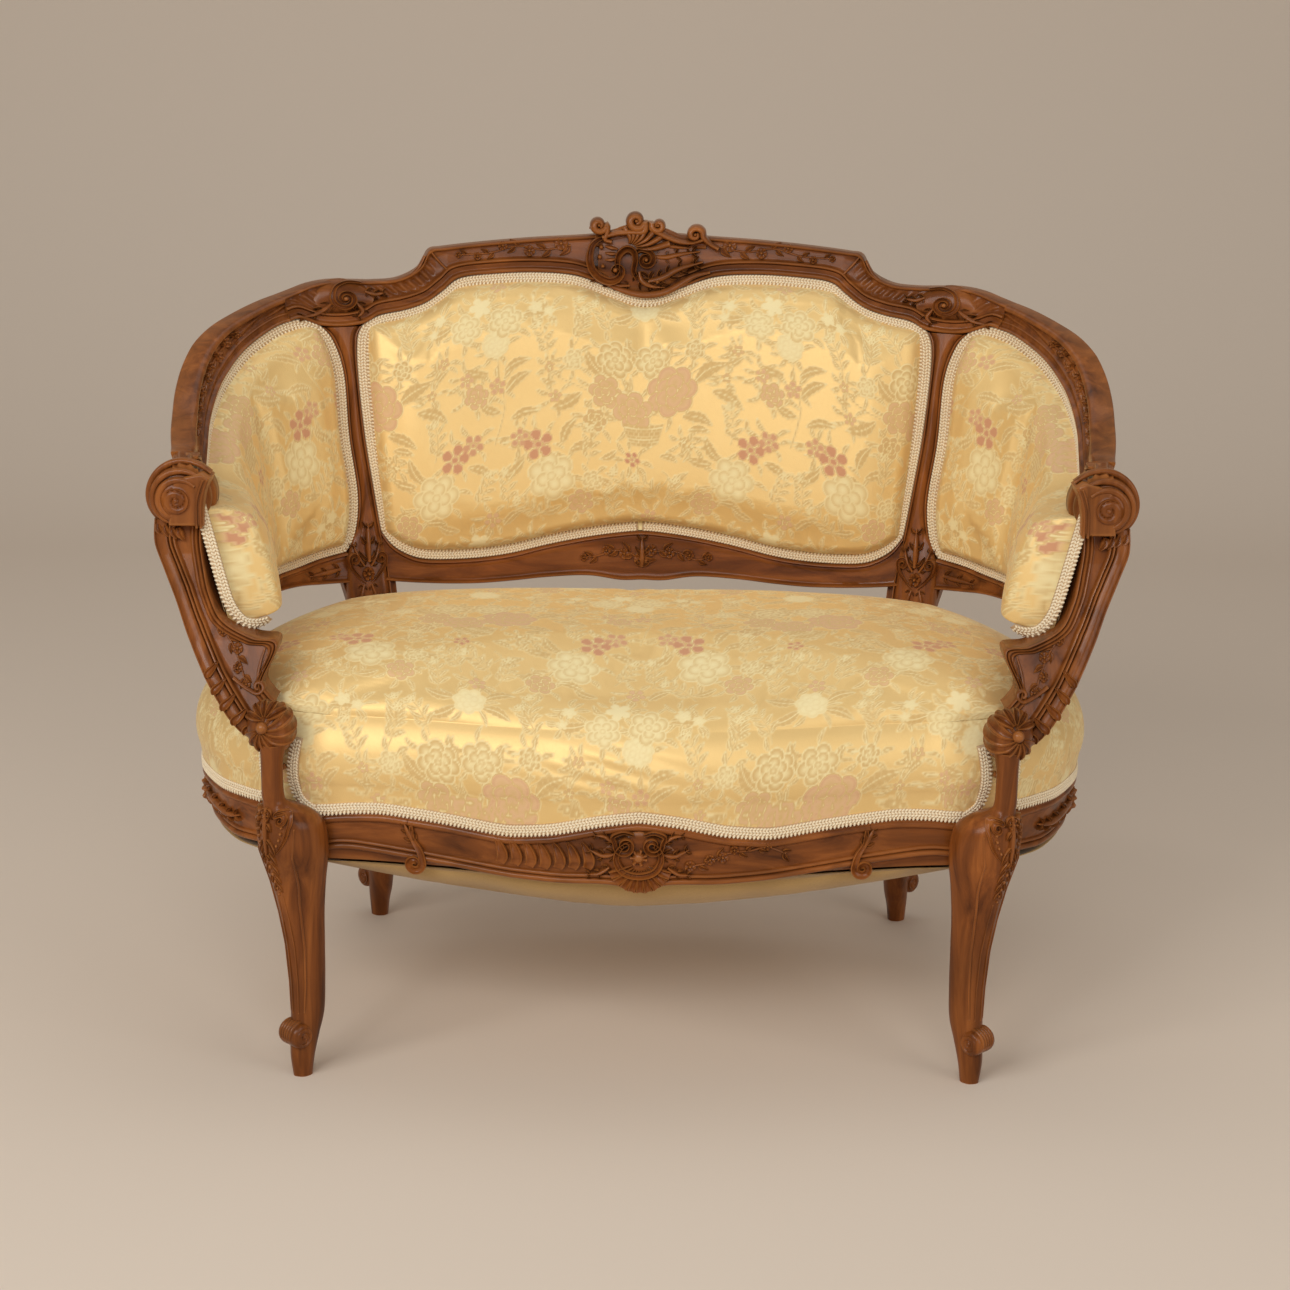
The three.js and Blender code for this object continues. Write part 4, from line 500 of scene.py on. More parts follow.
def cartouche():
    field = 16.0
    parts = [
        # the body under the scrolls, so that no gap shows between them
        strip(sheet, [(-60, 926), (-34, 924), (0, 922), (35, 925), (62, 931)], [20, 40, 46, 32, 10],
              [3, 5, 6, 5, 2], round_top, field, foot=14, stations=26),
        strip(sheet, [(-64, 944), (-40, 948), (-12, 953), (16, 951), (44, 944), (78, 940)],
              [8, 11, 13, 13, 9, 5], [5, 7, 8, 8, 6, 3], round_top, field - 3, foot=20, stations=30),
    ]
    # three curled tops, tallest in the middle, and the ridges that run down from them
    crests = (
        ((-60, 966), (-50, 965), 1.15, 9.5, [(-44, 944), (-52, 947), (-50, 956)]),
        ((-12, 972), (-1, 968), 1.2, 10.5, [(-56, 950), (-38, 955), (-20, 957), (-3, 958)]),
        ((16, 966), (8, 970), -1.15, 8.5, [(74, 948), (60, 944), (44, 945), (30, 950), (18, 956),
        (8, 962)]),
        ((64, 955), (74, 952), -1.15, 8.5, [(94, 936), (84, 942), (78, 947)]),
    )
    for centre, start, turns, wide, tail in crests:
        path = np.concatenate([np.array(tail, float), curl(centre, start, -turns,
            0.25, 12)])
        parts.append(strip(sheet, path, [wide * 0.32, wide * 0.55, wide * 0.58, wide * 0.5, wide * 0.36],
                           [12, 15, 17, 16, 14], round_top, field + 2, foot=14, stations=60))
        parts.append(button(sheet, centre, wide * 0.34, 17, field + 2))
        parts.append(strip(sheet, [(centre[0] - wide * 0.5, centre[1] - wide), (centre[0], centre[1])],
                           [wide * 0.9, wide * 1.15], [8, 11], round_top, field - 4, foot=18, stations=8))
    # the big C-scroll at the left, with beads in its hollow
    c_path = np.array([(-48, 949), (-60, 947), (-69, 938), (-72, 922), (-69, 908), (-59, 897), (-46, 892),
                       (-35, 896), (-30, 906), (-36, 912), (-42, 907), (-38, 902)], float)
    parts.append(strip(sheet, c_path, [2, 3.8, 5, 5.4, 5.2, 4.4, 3.4, 2.4], [8, 12, 14, 15, 14, 13, 12, 11],
                       hollow_top, field + 2, stations=64))
    parts.append(button(sheet, (-39, 907), 4.2, 16, field + 2))
    parts += [button(sheet, spot, 3.2, 12, field + 2) for spot in ((-57, 937), (-59, 924), (-55, 912))]
    parts += [strip(sheet, [(-52, 938 - 9 * i), (-44, 936 - 8 * i), (-36, 934 - 6 * i)], [1.2, 2.6, 1.5],
                    [6, 9, 7], round_top, field + 2, stations=8) for i in range(3)]
    # the inner arch and its small volute
    arch = np.array([(-33, 898), (-36, 914), (-34, 927), (-25, 935), (-16, 932), (-13, 921), (-15, 906),
        (-10, 895)], float)
    parts.append(strip(sheet, arch, [2, 3.8, 4.4, 4.4, 4.2, 3.8, 3], [9, 14, 17, 18, 17, 14, 10],
        hollow_top, field + 2, stations=48))
    eye_path = np.concatenate([[(-14, 930), (-6, 934)], curl((1, 921), (4, 932), -1.4, 0.2, 14)])
    parts.append(strip(sheet, eye_path, [2.6, 3.8, 3.6, 3, 2.2], [12, 15, 16, 15, 14], hollow_top,
        field + 2, stations=56))
    parts.append(button(sheet, (1, 921), 3.6, 17, field + 2))
    # a fan of flutes between the tops and the arch
    for share in np.linspace(0, 1, 7):
        angle = math.radians(100 - 92 * share)
        reach = 30 + 22 * share
        start, way = np.array((-20.0, 934.0)), np.array((math.cos(angle), math.sin(angle)))
        aside = np.array((way[1], -way[0]))
        path = [start + way * 8, start + way * reach * 0.55 + aside * 2.5,
            start + way * reach - aside * 1.5]
        parts.append(strip(sheet, path, [1.4, 3.8, 5.2], [8, 13, 11], round_top, field + 1, stations=14))
    # leaves that run out to the right and left and close the foot
    parts += leaf(sheet, [(4, 892), (22, 897), (44, 909), (74, 918)], 15, 11, field, 5)
    parts += leaf(sheet, [(-8, 905), (-4, 893), (8, 886), (26, 884)], 12, 12, field + 1, 4)
    parts += leaf(sheet, [(10, 925), (26, 924), (44, 928), (70, 932)], 12, 9, field, 4)
    parts += leaf(sheet, [(20, 940), (38, 938), (58, 936)], 9, 8, field, 3)
    parts += leaf(sheet, [(-20, 886), (-34, 886), (-52, 890), (-72, 897)], 9, 8, field, 4)
    parts.append(strip(sheet, [(-60, 893), (-30, 880), (0, 874), (30, 880), (62, 899), (84, 905)],
                       [2, 4, 5, 4, 2], [5, 8, 9, 8, 5], round_top, field + 3, stations=40))
    parts.append(button(sheet, (16, 892), 3.4, 13, field + 2))
    return parts


def crest_rail():
    parts = [rail_body(sheet, on_sheet(both_sides(crest_under)), on_sheet(both_sides(crest_top)), 620,
                       inner_moulding, outer_moulding, 12, relief=crest_relief)]
    parts += cartouche()
    for side in (1, -1):
        here = lambda run, height, forward, side=side: sheet(run * side, height, forward)
        # flower sprays on the sunk field, either side of the cartouche
        parts += spray(here, [(96, 938), (130, 932), (165, 937), (200, 928), (240, 926)],
                       [(0.10, 5, 8.5), (0.38, -4, 7), (0.62, 5, 6), (0.84, -3, 5), (1.0, 0, 4)],
                       [(0.02, -1, 15), (0.2, -1, 13), (0.24, 1, 12), (0.48, 1, 12), (0.52, -1, 11),
                        (0.72, -1, 10), (0.76, 1, 9), (0.92, 1, 8)], 12, 5)
        # the corner rib where the ear turns down, and the leaf rim of the cove
        parts.append(strip(here, [(256, 907), (266, 918), (276, 931)], [1.6, 1.8, 1.2], [4, 5, 4],
            round_top, 12))
        parts.append(strip(here, [(283, 925), (293, 908), (309, 896), (330, 892), (352, 890)],
                           [1.5, 2, 2, 2, 1.5], 4, round_top, 12, stations=30))
        # knob over the stile: a curled rosette with leaf tips, on a swelling
        parts.append(strip(here, [(352, 868), (375, 874), (392, 872), (410, 860)], [8, 20, 24, 12],
                           [6, 11, 12, 5], round_top, 9, foot=12, stations=20))
        rosette = np.concatenate([[(366, 892), (380, 894), (392, 889)],
            curl((384, 872), (397, 880), -1.5, 0.18, 16)])
        parts.append(strip(here, rosette, [1.4, 3, 3.2, 3, 2.4, 1.8], [4, 8, 9, 9, 9, 9], hollow_top, 17,
            stations=64))
        parts.append(button(here, (384, 872), 4, 11, 17))
        parts += leaf(here, [(372, 866), (366, 855), (372, 846)], 8, 8, 14, 3)
        parts += leaf(here, [(398, 866), (408, 858), (420, 852), (438, 850)], 9, 8, 13, 4)
        parts += leaf(here, [(362, 880), (350, 876), (336, 878)], 8, 7, 13, 3)
    return parts


build("crest_rail_carved", crest_rail(), walnut_across, "crest_rail")


# Top rails: a walnut hoop on each side, doweled to the crest's end, that runs round and down to the
# arm scroll. A flower garland lies in its sunk field, with slanting flutes at both ends.
hoop_under = [
    (0.5024, 0.760), (0.519, 0.752), (0.547, 0.727), (0.581, 0.692), (0.620, 0.644), (0.669, 0.589),
    (0.717, 0.532), (0.751, 0.486), (0.787, 0.453), (0.831, 0.435), (0.872, 0.433),
]
hoop_top = [
    (0.5064, 0.830), (0.528, 0.816), (0.562, 0.791), (0.601, 0.762), (0.643, 0.723), (0.685, 0.679),
    (0.728, 0.628), (0.765, 0.583), (0.803, 0.551), (0.840, 0.527), (0.875, 0.521),
]
hoop_inner = (
    (0, 15), (0.5, 17.2), (1.5, 18.8), (2.7, 19.2), (3.8, 18.2), (4.5, 16.2), (5, 14.6), (6.4, 14.2),
    (8.4, 14.6), (10.2, 15.8), (11.2, 15.0), (11.8, 12.8), (13, 12),
)
hoop_outer = (
    (0, 11), (0.5, 14.2), (1.6, 16.8), (3.2, 18.2), (5, 18.4), (6.8, 17.4), (8, 15.2), (8.6, 12.6),
        (9.6, 12),
)


def hoop_relief(run, height, w, width):
    field = np.clip((w - 12.5) / 3, 0, 1) * np.clip((width - w - 9) / 3, 0, 1)
    upper = np.clip((530 - run) / 14, 0, 1)
    lower = np.clip((run - 690) / 12, 0, 1)
    flutes = 0.5 + 0.5 * np.cos((run * 0.6 + height * 0.9) * 2 * math.pi / 10)
    return field * (upper + lower) * (3.6 * flutes - 1.4)


def top_rail():
    inner, outer = on_sheet(hoop_under), on_sheet(hoop_top)
    parts = [rail_body(sheet, inner, outer, 260, hoop_inner, hoop_outer, 12, relief=hoop_relief)]
    share = np.linspace(0.27, 0.70, 7)
    spine = through(inner, share) * 0.42 + through(outer, share) * 0.58
    parts += spray(sheet, spine, [(0.02, 0, 4.5), (0.14, 2.5, 6), (0.27, -2.5, 6.5), (0.40, 2, 6),
                                  (0.50, -2.5, 6.5), (0.64, 2, 6), (0.78, -1.5, 5), (0.93, 0, 4.5)],
                   [(s, side, 9.5) for s, side in zip(np.linspace(0.04, 0.98, 18), [1, -1] * 9)], 12, 6)
    return parts


hoop_parts = top_rail()
build("right_top_rail_carved", hoop_parts, walnut_upright, "right_top_rail")
build("left_top_rail_carved", mirror(hoop_parts), walnut_upright, "left_top_rail")


# Arm scrolls: each hoop ends in a walnut snail, turned and carved from a separate block and doweled
# on. Reeds start under a leaf collar, go over the top and down the outside; the face has a spiral.
scroll_x, scroll_front, scroll_height, scroll_length = 542.0, 49.0, 694.0, 73.0


def snail(place, reach, length, face, ribs, turned=1, spiral_turns=1.5, depth=2.6):
    """A reeded roll that widens backward from a spiral face; place takes u, v and distance back."""
    radii = list(np.linspace(0.02, face, 22))
    backs = [0.0] * 22
    share = np.linspace(0, 1, ribs * 9 + 1)[1:]
    flank_r = face * 1.18 + (reach - face * 1.18) * share**0.62
    flank_y = length * (0.04 + 0.68 * share**1.5)
    swell = depth * np.abs(np.sin(ribs * math.pi * share)) ** 0.6
    slope = np.arctan2(np.gradient(flank_y), np.gradient(flank_r))
    radii += list(flank_r + swell * np.sin(slope) - depth * 0.5)
    backs += list(flank_y - swell * np.cos(slope))
    radii += [reach * 0.98, reach * 0.9, reach * 0.62, 0.02]
    backs += [length * 0.86, length * 0.96, length, length]
    wound = np.linspace(0, 2 * math.pi, 97)[:-1]
    radii, backs = np.array(radii)[:, None], np.array(backs)[:, None]
    turns = spiral_turns * (1 - np.clip(radii / face, 0, 1)) - turned * wound / (2 * math.pi)
    inside = (radii < face * 0.97) & (backs <= 0)
    groove = depth * 1.15 * (np.abs(np.sin(math.pi * turns)) ** 0.55) * np.clip(radii / (face * 0.3), 0, 1)
    heart = depth * 1.5 * np.sqrt(np.clip(1 - (radii / (face * 0.27)) ** 2, 0, 1))
    backs = backs - np.where(inside, np.maximum(groove, heart), 0)
    return loft(place(radii * np.cos(wound), radii * np.sin(wound), backs + 0 * wound))


def scroll_place(u, v, back):
    return np.stack([scroll_x + u, scroll_front - setback + back, scroll_height + v], -1)


def face_place(x, z, forward):
    x, z, forward = np.broadcast_arrays(x, z, forward)
    return np.stack([x + 0.0, scroll_front - setback - forward, z + 0.0], -1)


def arm_scroll():
    parts = [snail(scroll_place, 41, scroll_length, 15, 4)]
    # neck from the hoop's end to the roll, reeded along its length
    share = np.linspace(0, 1, 40)[:, None]
    wound = np.linspace(0, 2 * math.pi, 49)[:-1]
    run = 776.4 + 72 * share
    middle = 717 - 2 * share
    tall, deep = 20.5 - 1.5 * share, 16.5
    reed = 1 + 0.07 * np.clip(share * 5, 0, 1) * np.cos(11 * wound)
    across = np.sign(np.cos(wound)) * np.abs(np.cos(wound)) ** 0.75 * reed
    upward = np.sign(np.sin(wound)) * np.abs(np.sin(wound)) ** 0.75 * reed
    parts.append(loft(sheet(run + 0 * wound, middle + tall * upward, 3.5 + deep * across)))
    # leaf collar over the joint
    for height, tip in ((703, 698), (712, 710), (722, 722), (731, 733)):
        parts.append(strip(sheet, [(772, height), (786, (height + tip) / 2), (800, tip)], [3, 5, 1.5],
                           [4, 5.5, 2.5], leaf_top, 18, foot=12, stations=12))
    # flat cheek between the spiral and the upholstery, with its edge beads
    edge = np.array([(511, 664), (510.5, 690), (508, 706), (503, 720), (512, 726), (530, 722), (545, 716),
        (552, 664)], float)
    levels = ((-40, 0), (0, 0), (1.5, 0.04), (2.2, 0.12))
    middle = edge.mean(0)
    rings = [face_place(*(edge + (middle - edge) * inset).T, np.full(len(edge), forward - 3.0)) for forward,
        inset in levels]
    parts.append(loft(np.array(rings)))
    for offset, wide in ((3, 1.8), (8, 1.6)):
        parts.append(strip(face_place, [(511 + offset, 662), (510.5 + offset, 690), (507 + offset, 706),
                           (502 + offset, 719)], wide, 2.6, round_top, -1.4, foot=3, stations=24))
    # ribs that wind from the neck round the spiral
    for reach, sunk in ((20.5, 3.5), (28.5, 10.5), (36, 28)):
        wound = np.linspace(math.radians(142), math.radians(-84), 14)
        long = reach * (1 + 0.35 * np.linspace(1, 0, 14) ** 3)
        path = np.stack([scroll_x + long * np.cos(wound), scroll_height + long * np.sin(wound)], 1)
        back = [-sunk * 0.8, -sunk, -sunk, -sunk, -sunk - 2]
        parts.append(strip(face_place, path, [2.4, 3.9, 3.9, 3.7, 2.2], 4.4, round_top, back, foot=7,
            stations=56))
    return parts


scroll_parts = arm_scroll()
build("right_arm_scroll_carved", scroll_parts, walnut_upright, "right_arm_scroll")
build("left_arm_scroll_carved", mirror(scroll_parts), walnut_upright, "left_arm_scroll")


# Arm supports: each is a C-swept walnut board, sawn to the sweep and carved on its front face: a
# smooth outer band, a double fillet, a sunk field with a sprig, and coves along the upholstery. Its
# foot curls into a gadrooned knuckle over the leg's neck.
support_outer = [
    (0.960, 0), (0.958, 0.112), (0.894, 0.232), (0.812, 0.372), (0.728, 0.532), (0.634, 0.672),
    (0.576, 0.746), (0.485, 0.846), (0.378, 0.944), (0.289, 0.985),
]
support_inner = [
    (0.640, 0), (0.645, 0.100), (0.622, 0.216), (0.578, 0.345), (0.490, 0.455), (0.300, 0.528),
    (0.140, 0.555), (0.222, 0.712), (0.178, 0.776), (0.139, 0.800),
]
support_depth = np.array([(0, 0.36), (0.16, 0.33), (0.35, 0.27), (0.55, 0.20), (0.71, 0.12), (0.87, 0.055),
    (1, 0.05)])
support_top, support_drop, leg_pitch = 668.0, 250.0, 400.0
support_flat = lambda shares: np.asarray(shares) * (180, -support_drop) + (leg_pitch, support_top)
cove_side = (
    (0, 17), (0.6, 19.4), (1.8, 21), (3, 20.6), (3.8, 18.6), (4.4, 17.8), (5.2, 19.4), (6.6, 20.6),
        (8, 19.8),
    (8.8, 17.6), (9.6, 17.2), (10.6, 18.6), (12, 19.2), (13.2, 18.2), (13.8, 16), (14.6, 15.2),
)
band_side = (
    (0, 15), (0.5, 18.5), (1.2, 20.4), (2.2, 20.8), (3.2, 19.8), (4, 20.6), (8, 22.2), (12, 22.4),
        (15.5, 21.4),
    (16.6, 20.2), (17.2, 18.4), (17.8, 20.4), (19, 22.4), (20.2, 22.6), (21.3, 21.2), (21.8, 19.2),
    (22.4, 20.6),
    (23.6, 22), (24.8, 21.6), (25.8, 19.6), (26.4, 16), (27, 15.2),
)


def support_map(x, z, forward):
    x, z, forward = np.broadcast_arrays(*(np.asarray(v, float) for v in (x, z, forward)))
    y = np.interp((support_top - z) / support_drop, support_depth[:, 0], support_depth[:, 1]) * support_drop
    return np.stack([x, y - forward - setback, z], -1)


def knuckle_place(u, v, forward):
    """A place on the knuckle seen from the front: offsets from its middle, which wrap round behind."""
    u, v, forward = np.broadcast_arrays(*(np.asarray(value, float) for value in (u, v, forward)))
    turn = np.hypot(u / 28, v / 29) * math.pi / 2
    way = np.arctan2(v, u)
    size = 1 + forward / 30
    return np.stack([429 + 28 * size * np.sin(turn) * np.cos(way), -12 - 30 * size * np.cos(turn) - setback,
                     441 + 29 * size * np.sin(turn) * np.sin(way)], -1)


def knuckle():
    """A leaf scroll: a ball with long lobes that turn round its inner end, and a shell on its top."""
    rings = []
    for reach in np.linspace(0.02, 1.98, 30):
        wound = np.linspace(0, 2 * math.pi, 57)[:-1]
        rings.append(knuckle_place(28 * reach * np.cos(wound), 29 * reach * np.sin(wound), 0))
    parts = [loft(np.array(rings))]
    for order in range(11):
        way = math.radians(-28 - 23 * order)
        path = [(28 * reach * math.cos(way - swing) + 6, 29 * reach * math.sin(way - swing) + 2)
                for reach, swing in ((0.12, 0), (0.5, 0.12), (0.95, 0.34), (1.4, 0.6))]
        parts.append(strip(knuckle_place, path, [1.4, 4.2, 6.6, 4], [4, 6, 5.5, 3], hollow_top, -1.4,
            foot=6, stations=24))
    for order in range(5):
        way = math.radians(150 - 34 * order)
        path = [(20 * reach * math.cos(way) + 2, 20 * reach * math.sin(way) + 9) for reach in (0.1, 0.5,
            1.0)]
        parts.append(strip(knuckle_place, path, [1.6, 3.6, 2.4], [7, 8.5, 4], leaf_top, 1, foot=6,
            stations=12))
    parts.append(button(knuckle_place, (4, 4), 4.5, 8, 1))
    return parts


def arm_support():
    parts = [rail_body(support_map, support_flat(support_inner), support_flat(support_outer), 200,
                       cove_side, band_side, 15.2, back=-22, rebates=(0, 0))]
    parts += knuckle()
    # sprig in the sunk field and the curl at the end of the double fillet
    parts += spray(support_map, [(494, 550), (484, 536), (475, 522), (469, 508), (464, 494), (460, 480)],
                   [(0.12, 2, 5), (0.40, -3, 6), (0.66, 4, 5.5), (0.92, -1, 5)],
                   [(0.02, 1, 10), (0.22, -1, 11), (0.3, 1, 10), (0.52, -1, 11), (0.58, 1, 10),
                   (0.8, -1, 10), (0.84, 1, 10)],
                   15.2, 4.5)
    parts.append(strip(support_map, np.concatenate([[(476, 492), (462, 482)],
                       curl((446, 483), (450, 476), -1.1, 0.3, 10)]),
                       [2, 2.6, 2.4, 2], [3, 5, 5, 5], round_top, 17, stations=40))
    # crescents that curl off the lower outer edge and end against the knuckle
    for order in range(6):
        spot = through([(507, 500), (498, 482), (487, 465), (474, 449), (461, 437), (449, 428)],
            [order / 5])[0]
        size = 1 - 0.05 * abs(order - 3)
        path = [spot + (-15 * size, 10), spot + (-9 * size, 3), spot + (-2, -3), spot + (-1, -9 * size)]
        parts.append(strip(support_map, path, [1.6, 4.4 * size, 5.6 * size, 2.4], [4, 6.5, 7, 4],
            hollow_top, 20, foot=22, stations=24))
    # double line round the rim of the wing, facing the seat
    for aside in (4, 9):
        parts.append(strip(support_map, [(431 + aside, 524), (436 + aside, 508), (438 + aside, 494),
                           (436 + aside, 482), (430 + aside, 472)],
                           [1, 1.8, 1.8, 1.6, 1], 2.6, round_top, 15.2, stations=30))
    # leaf collar under the scroll, on the outside
    for order in range(4):
        spot = np.array([568 - 8 * order, 659 - 1.5 * order])
        parts.append(strip(support_map, [spot + (0, 4), spot + (-2, -3), spot + (-7, -10)], [3, 5, 1.6],
                           [4, 6, 3], leaf_top, 19, foot=10, stations=12))
    # pendant drop under the knuckle
    parts.append(strip(support_map, [(428, 416), (427, 404), (425, 394), (421, 386), (416, 389)],
                       [6, 5, 4, 3.4, 2.6], [5, 6, 6, 6, 5], round_top, 8, foot=14, stations=24))
    return parts


support_parts = arm_support()
build("right_arm_support_carved", support_parts, walnut_upright, "right_arm_support")
build("left_arm_support_carved", mirror(support_parts), walnut_upright, "left_arm_support")


# Front legs: cabriole legs of solid walnut that face out of the corners. The knee has a C-scroll and
# a trail of husks, the edges a fine fillet, and the foot is a snail over a small tapered plinth.
leg_ring = np.array([(1, 0), (0.84, 0.44), (0.42, 0.88), (-0.40, 0.96), (-0.92, 0.58), (-0.92, -0.58),
                     (-0.40, -0.96), (0.42, -0.88), (0.84, -0.44)])
front_leg_rows = np.array([
    (0.000, 0.16, 0.29, 0.30), (0.060, 0.16, 0.37, 0.38), (0.125, 0.06, 0.45, 0.44),
    (0.190, -0.05, 0.53, 0.50), (0.285, -0.07, 0.56, 0.53), (0.400, -0.02, 0.61, 0.58),
    (0.495, 0.08, 0.70, 0.66), (0.590, 0.20, 0.82, 0.86), (0.685, 0.35, 1.00, 1.10),
    (0.765, 0.42, 0.95, 1.06), (0.805, 0.60, 0.74, 0.78), (0.832, 0.90, 0.40, 0.40),
    (0.862, 1.00, 0.33, 0.34), (0.950, 1.00, 0.33, 0.34), (1.000, 0.96, 0.40, 0.40),
])
leg_height, leg_girth, knee_throw, leg_front = 424.0, 38.0, 40.0, 2.0
corner_way = np.array([math.sqrt(0.5), -math.sqrt(0.5)])


def round_ring(points, count):
    """Shares (deep, wide) of a closed smooth ring through points, from the nose round."""
    looped = np.concatenate([points[-1:], points, points[:2]])
    return through(looped, (1 + np.linspace(0, len(points), count, endpoint=False)) / (len(looped) - 1))


def shaft(rows, middle_of, height, girth, way_of, count=64, stations=150, crisp=None):
    """A leg's skin through its rows of rise, place, depth and width."""
    share = np.linspace(0, 1, stations + 1)
    table = through(rows, share)
    ring = round_ring(leg_ring, count)
    rings = []
    for row in table:
        centre, way = middle_of(row), way_of(row[0])
        deep, wide = row[-2] * girth, row[-1] * girth
        d, c = ring[:, 0] * deep, ring[:, 1] * wide
        if crisp:
            d, c = crisp(row[0], d, c, ring)
        rings.append(np.stack([centre[0] + way[0] * d - way[1] * c,
                               centre[1] + way[1] * d + way[0] * c - setback,
                               np.full(count, row[0] * height)], -1))
    return loft(np.array(rings))


def front_leg_place(u, z, forward):
    """A place on the front leg's skin: distance round from the nose, height, and distance out."""
    u, z, forward = np.broadcast_arrays(*(np.asarray(v, float) for v in (u, z, forward)))
    rise = np.clip(z / leg_height, 0, 1)
    out, deep, wide = (np.interp(rise, front_leg_rows[:, 0], front_leg_rows[:, k]) for k in (1, 2, 3))
    deep, wide = deep * leg_girth, wide * leg_girth
    ring = round_ring(leg_ring, 180)
    at = np.mod(u / (0.72 * (deep + wide) / 2) * 20, 180)
    low = at.astype(int) % 180
    part = (at - np.floor(at))[..., None]
    spot = ring[low] * (1 - part) + ring[(low + 1) % 180] * part
    ahead = ring[(low + 3) % 180] - ring[(low - 3) % 180]
    normal = np.stack([ahead[..., 1] * wide, -ahead[..., 0] * deep], -1)
    normal /= np.linalg.norm(normal, axis=-1, keepdims=True)
    d = spot[..., 0] * deep + normal[..., 0] * forward
    c = spot[..., 1] * wide + normal[..., 1] * forward
    x = leg_pitch + corner_way[0] * (out * knee_throw + d) - corner_way[1] * c
    y = leg_front + corner_way[1] * (out * knee_throw + d) + corner_way[0] * c
    return np.stack([x, y - setback, z], -1)


def toe_place(middle, way, reach, height):
    across = np.array([-way[1], way[0]])

    def place(u, v, back, side):
        base = np.array(middle) + way * reach
        along = side * (17 - back)
        return np.stack([base[0] + way[0] * u + across[0] * along,
                         base[1] + way[1] * u + across[1] * along - setback, height + v], -1)
    return place


def scroll_foot(middle, way, reach, height=55, radius=16):
    """A small snail with a spiral on both ends, the ribs of a leaf over its front."""
    put = toe_place(middle, way, reach, height)
    parts = [snail(lambda u, v, back, side=side: put(u, v, back, side), radius, 18.5, radius * 0.66, 1,
        side, 1.4, 1.6)
             for side in (1, -1)]
    across = np.array([-way[1], way[0]])

    def over(u, v, forward):
        angle = v
        base = np.array(middle) + way * reach
        r = radius - 1.5 + forward
        return np.stack([base[0] + way[0] * r * np.cos(angle) + across[0] * u,
                         base[1] + way[1] * r * np.cos(angle) + across[1] * u - setback,
                         height + r * np.sin(angle)], -1)
    for aside in (-9, -4.5, 0, 4.5, 9):
        parts.append(strip(lambda u, v, f: over(u, v / 20, f),
                           [(aside * 0.8, 42), (aside, 26), (aside, 8), (aside * 0.9, -6)],
                           [1.6, 2.4, 2.3, 1.2], [2, 3, 2.6, 1], round_top, 1.0, foot=3, stations=18))
    return parts


def front_leg():
    middle_of = lambda row: np.array([leg_pitch, leg_front]) + corner_way * row[1] * knee_throw

    def fluted(rise, d, c, ring):
        # a hollow down both flanks, between the nose and the back corners
        depth = 2.2 * np.clip((rise - 0.14) / 0.1, 0, 1) * np.clip((0.66 - rise) / 0.1, 0, 1)
        angle = np.arctan2(ring[:, 1], ring[:, 0])
        pull = depth * np.exp(-((np.abs(angle) - 1.05) / 0.34) ** 2)
        reach = np.hypot(d, c)
        return d * (1 - pull / reach), c * (1 - pull / reach)

    parts = [shaft(front_leg_rows, middle_of, leg_height, leg_girth, lambda rise: corner_way, crisp=fluted)]
    parts += scroll_foot(middle_of(front_leg_rows[0]), corner_way, 8)
    here = lambda u, z, forward: front_leg_place(u - 7, z, forward)
    for side in (1, -1):
        # fine fillets from the knee's shoulders down both flanks to the foot
        parts.append(strip(here, [(side * u, z) for u, z in ((44, 326), (42, 300), (37, 262), (28, 220),
            (22, 170), (18, 120), (15, 84))],
                           [1.4, 1.7, 1.8, 1.8, 1.5, 1.1], [1.6, 2.2, 2.2, 2, 1.6, 1], round_top, -0.4,
                           foot=3, stations=70))
        parts.append(strip(here, [(side * u, z) for u, z in ((6, 236), (7, 200), (7, 160), (6.5, 120),
            (6, 82))],
                           [1.0, 1.5, 1.5, 1.2], [0.8, 1.7, 1.7, 1.2], round_top, -0.4, foot=3,
                           stations=50))
        # C-scroll on each shoulder of the knee, with a beaded hollow
        curve = np.concatenate([curl((side * 24, 336), (side * 17, 341), -side * 1.1, 0.3, 9)[::-1],
                                [(side * 20, 345), (side * 31, 345), (side * 37, 335), (side * 34, 318),
                                 (side * 26, 304), (side * 18, 296)]])
        parts.append(strip(here, curve, [1.6, 2.2, 2.8, 3.2, 3.2, 2.6, 1.4], [4, 5, 5, 5, 5, 4, 2],
            hollow_top, 0, stations=64))
        parts += [button(here, (side * u, z), 2.5, 4, 0, 9) for u,
            z in ((27, 328), (26, 320), (23, 312), (19, 305))]
        for order, (u, z) in enumerate(((12, 300), (10.5, 286), (9, 272), (7.5, 259), (6, 247))):
            size = 1 - 0.12 * order
            parts.append(strip(here, [(side * (u - 6), z + 8), (side * u, z),
                (side * (u + 3.5 * size), z - 9 * size)],
                               [2.6 * size, 4 * size, 1.0], [3.4 * size, 4.6 * size, 1.6], leaf_top, 0,
                               stations=10))
    parts += leaf(here, [(0, 350), (0, 330), (0, 306), (0, 284)], 13, 6.5, 0, 4)
    parts += [button(here, (0, z), r, r * 1.2, 0, 10) for z,
        r in ((276, 3.4), (266, 3), (256, 2.6), (247, 2.2), (239, 1.8))]
    parts += blossom(here, (0, 340), 7.5, 7, 6)
    return parts


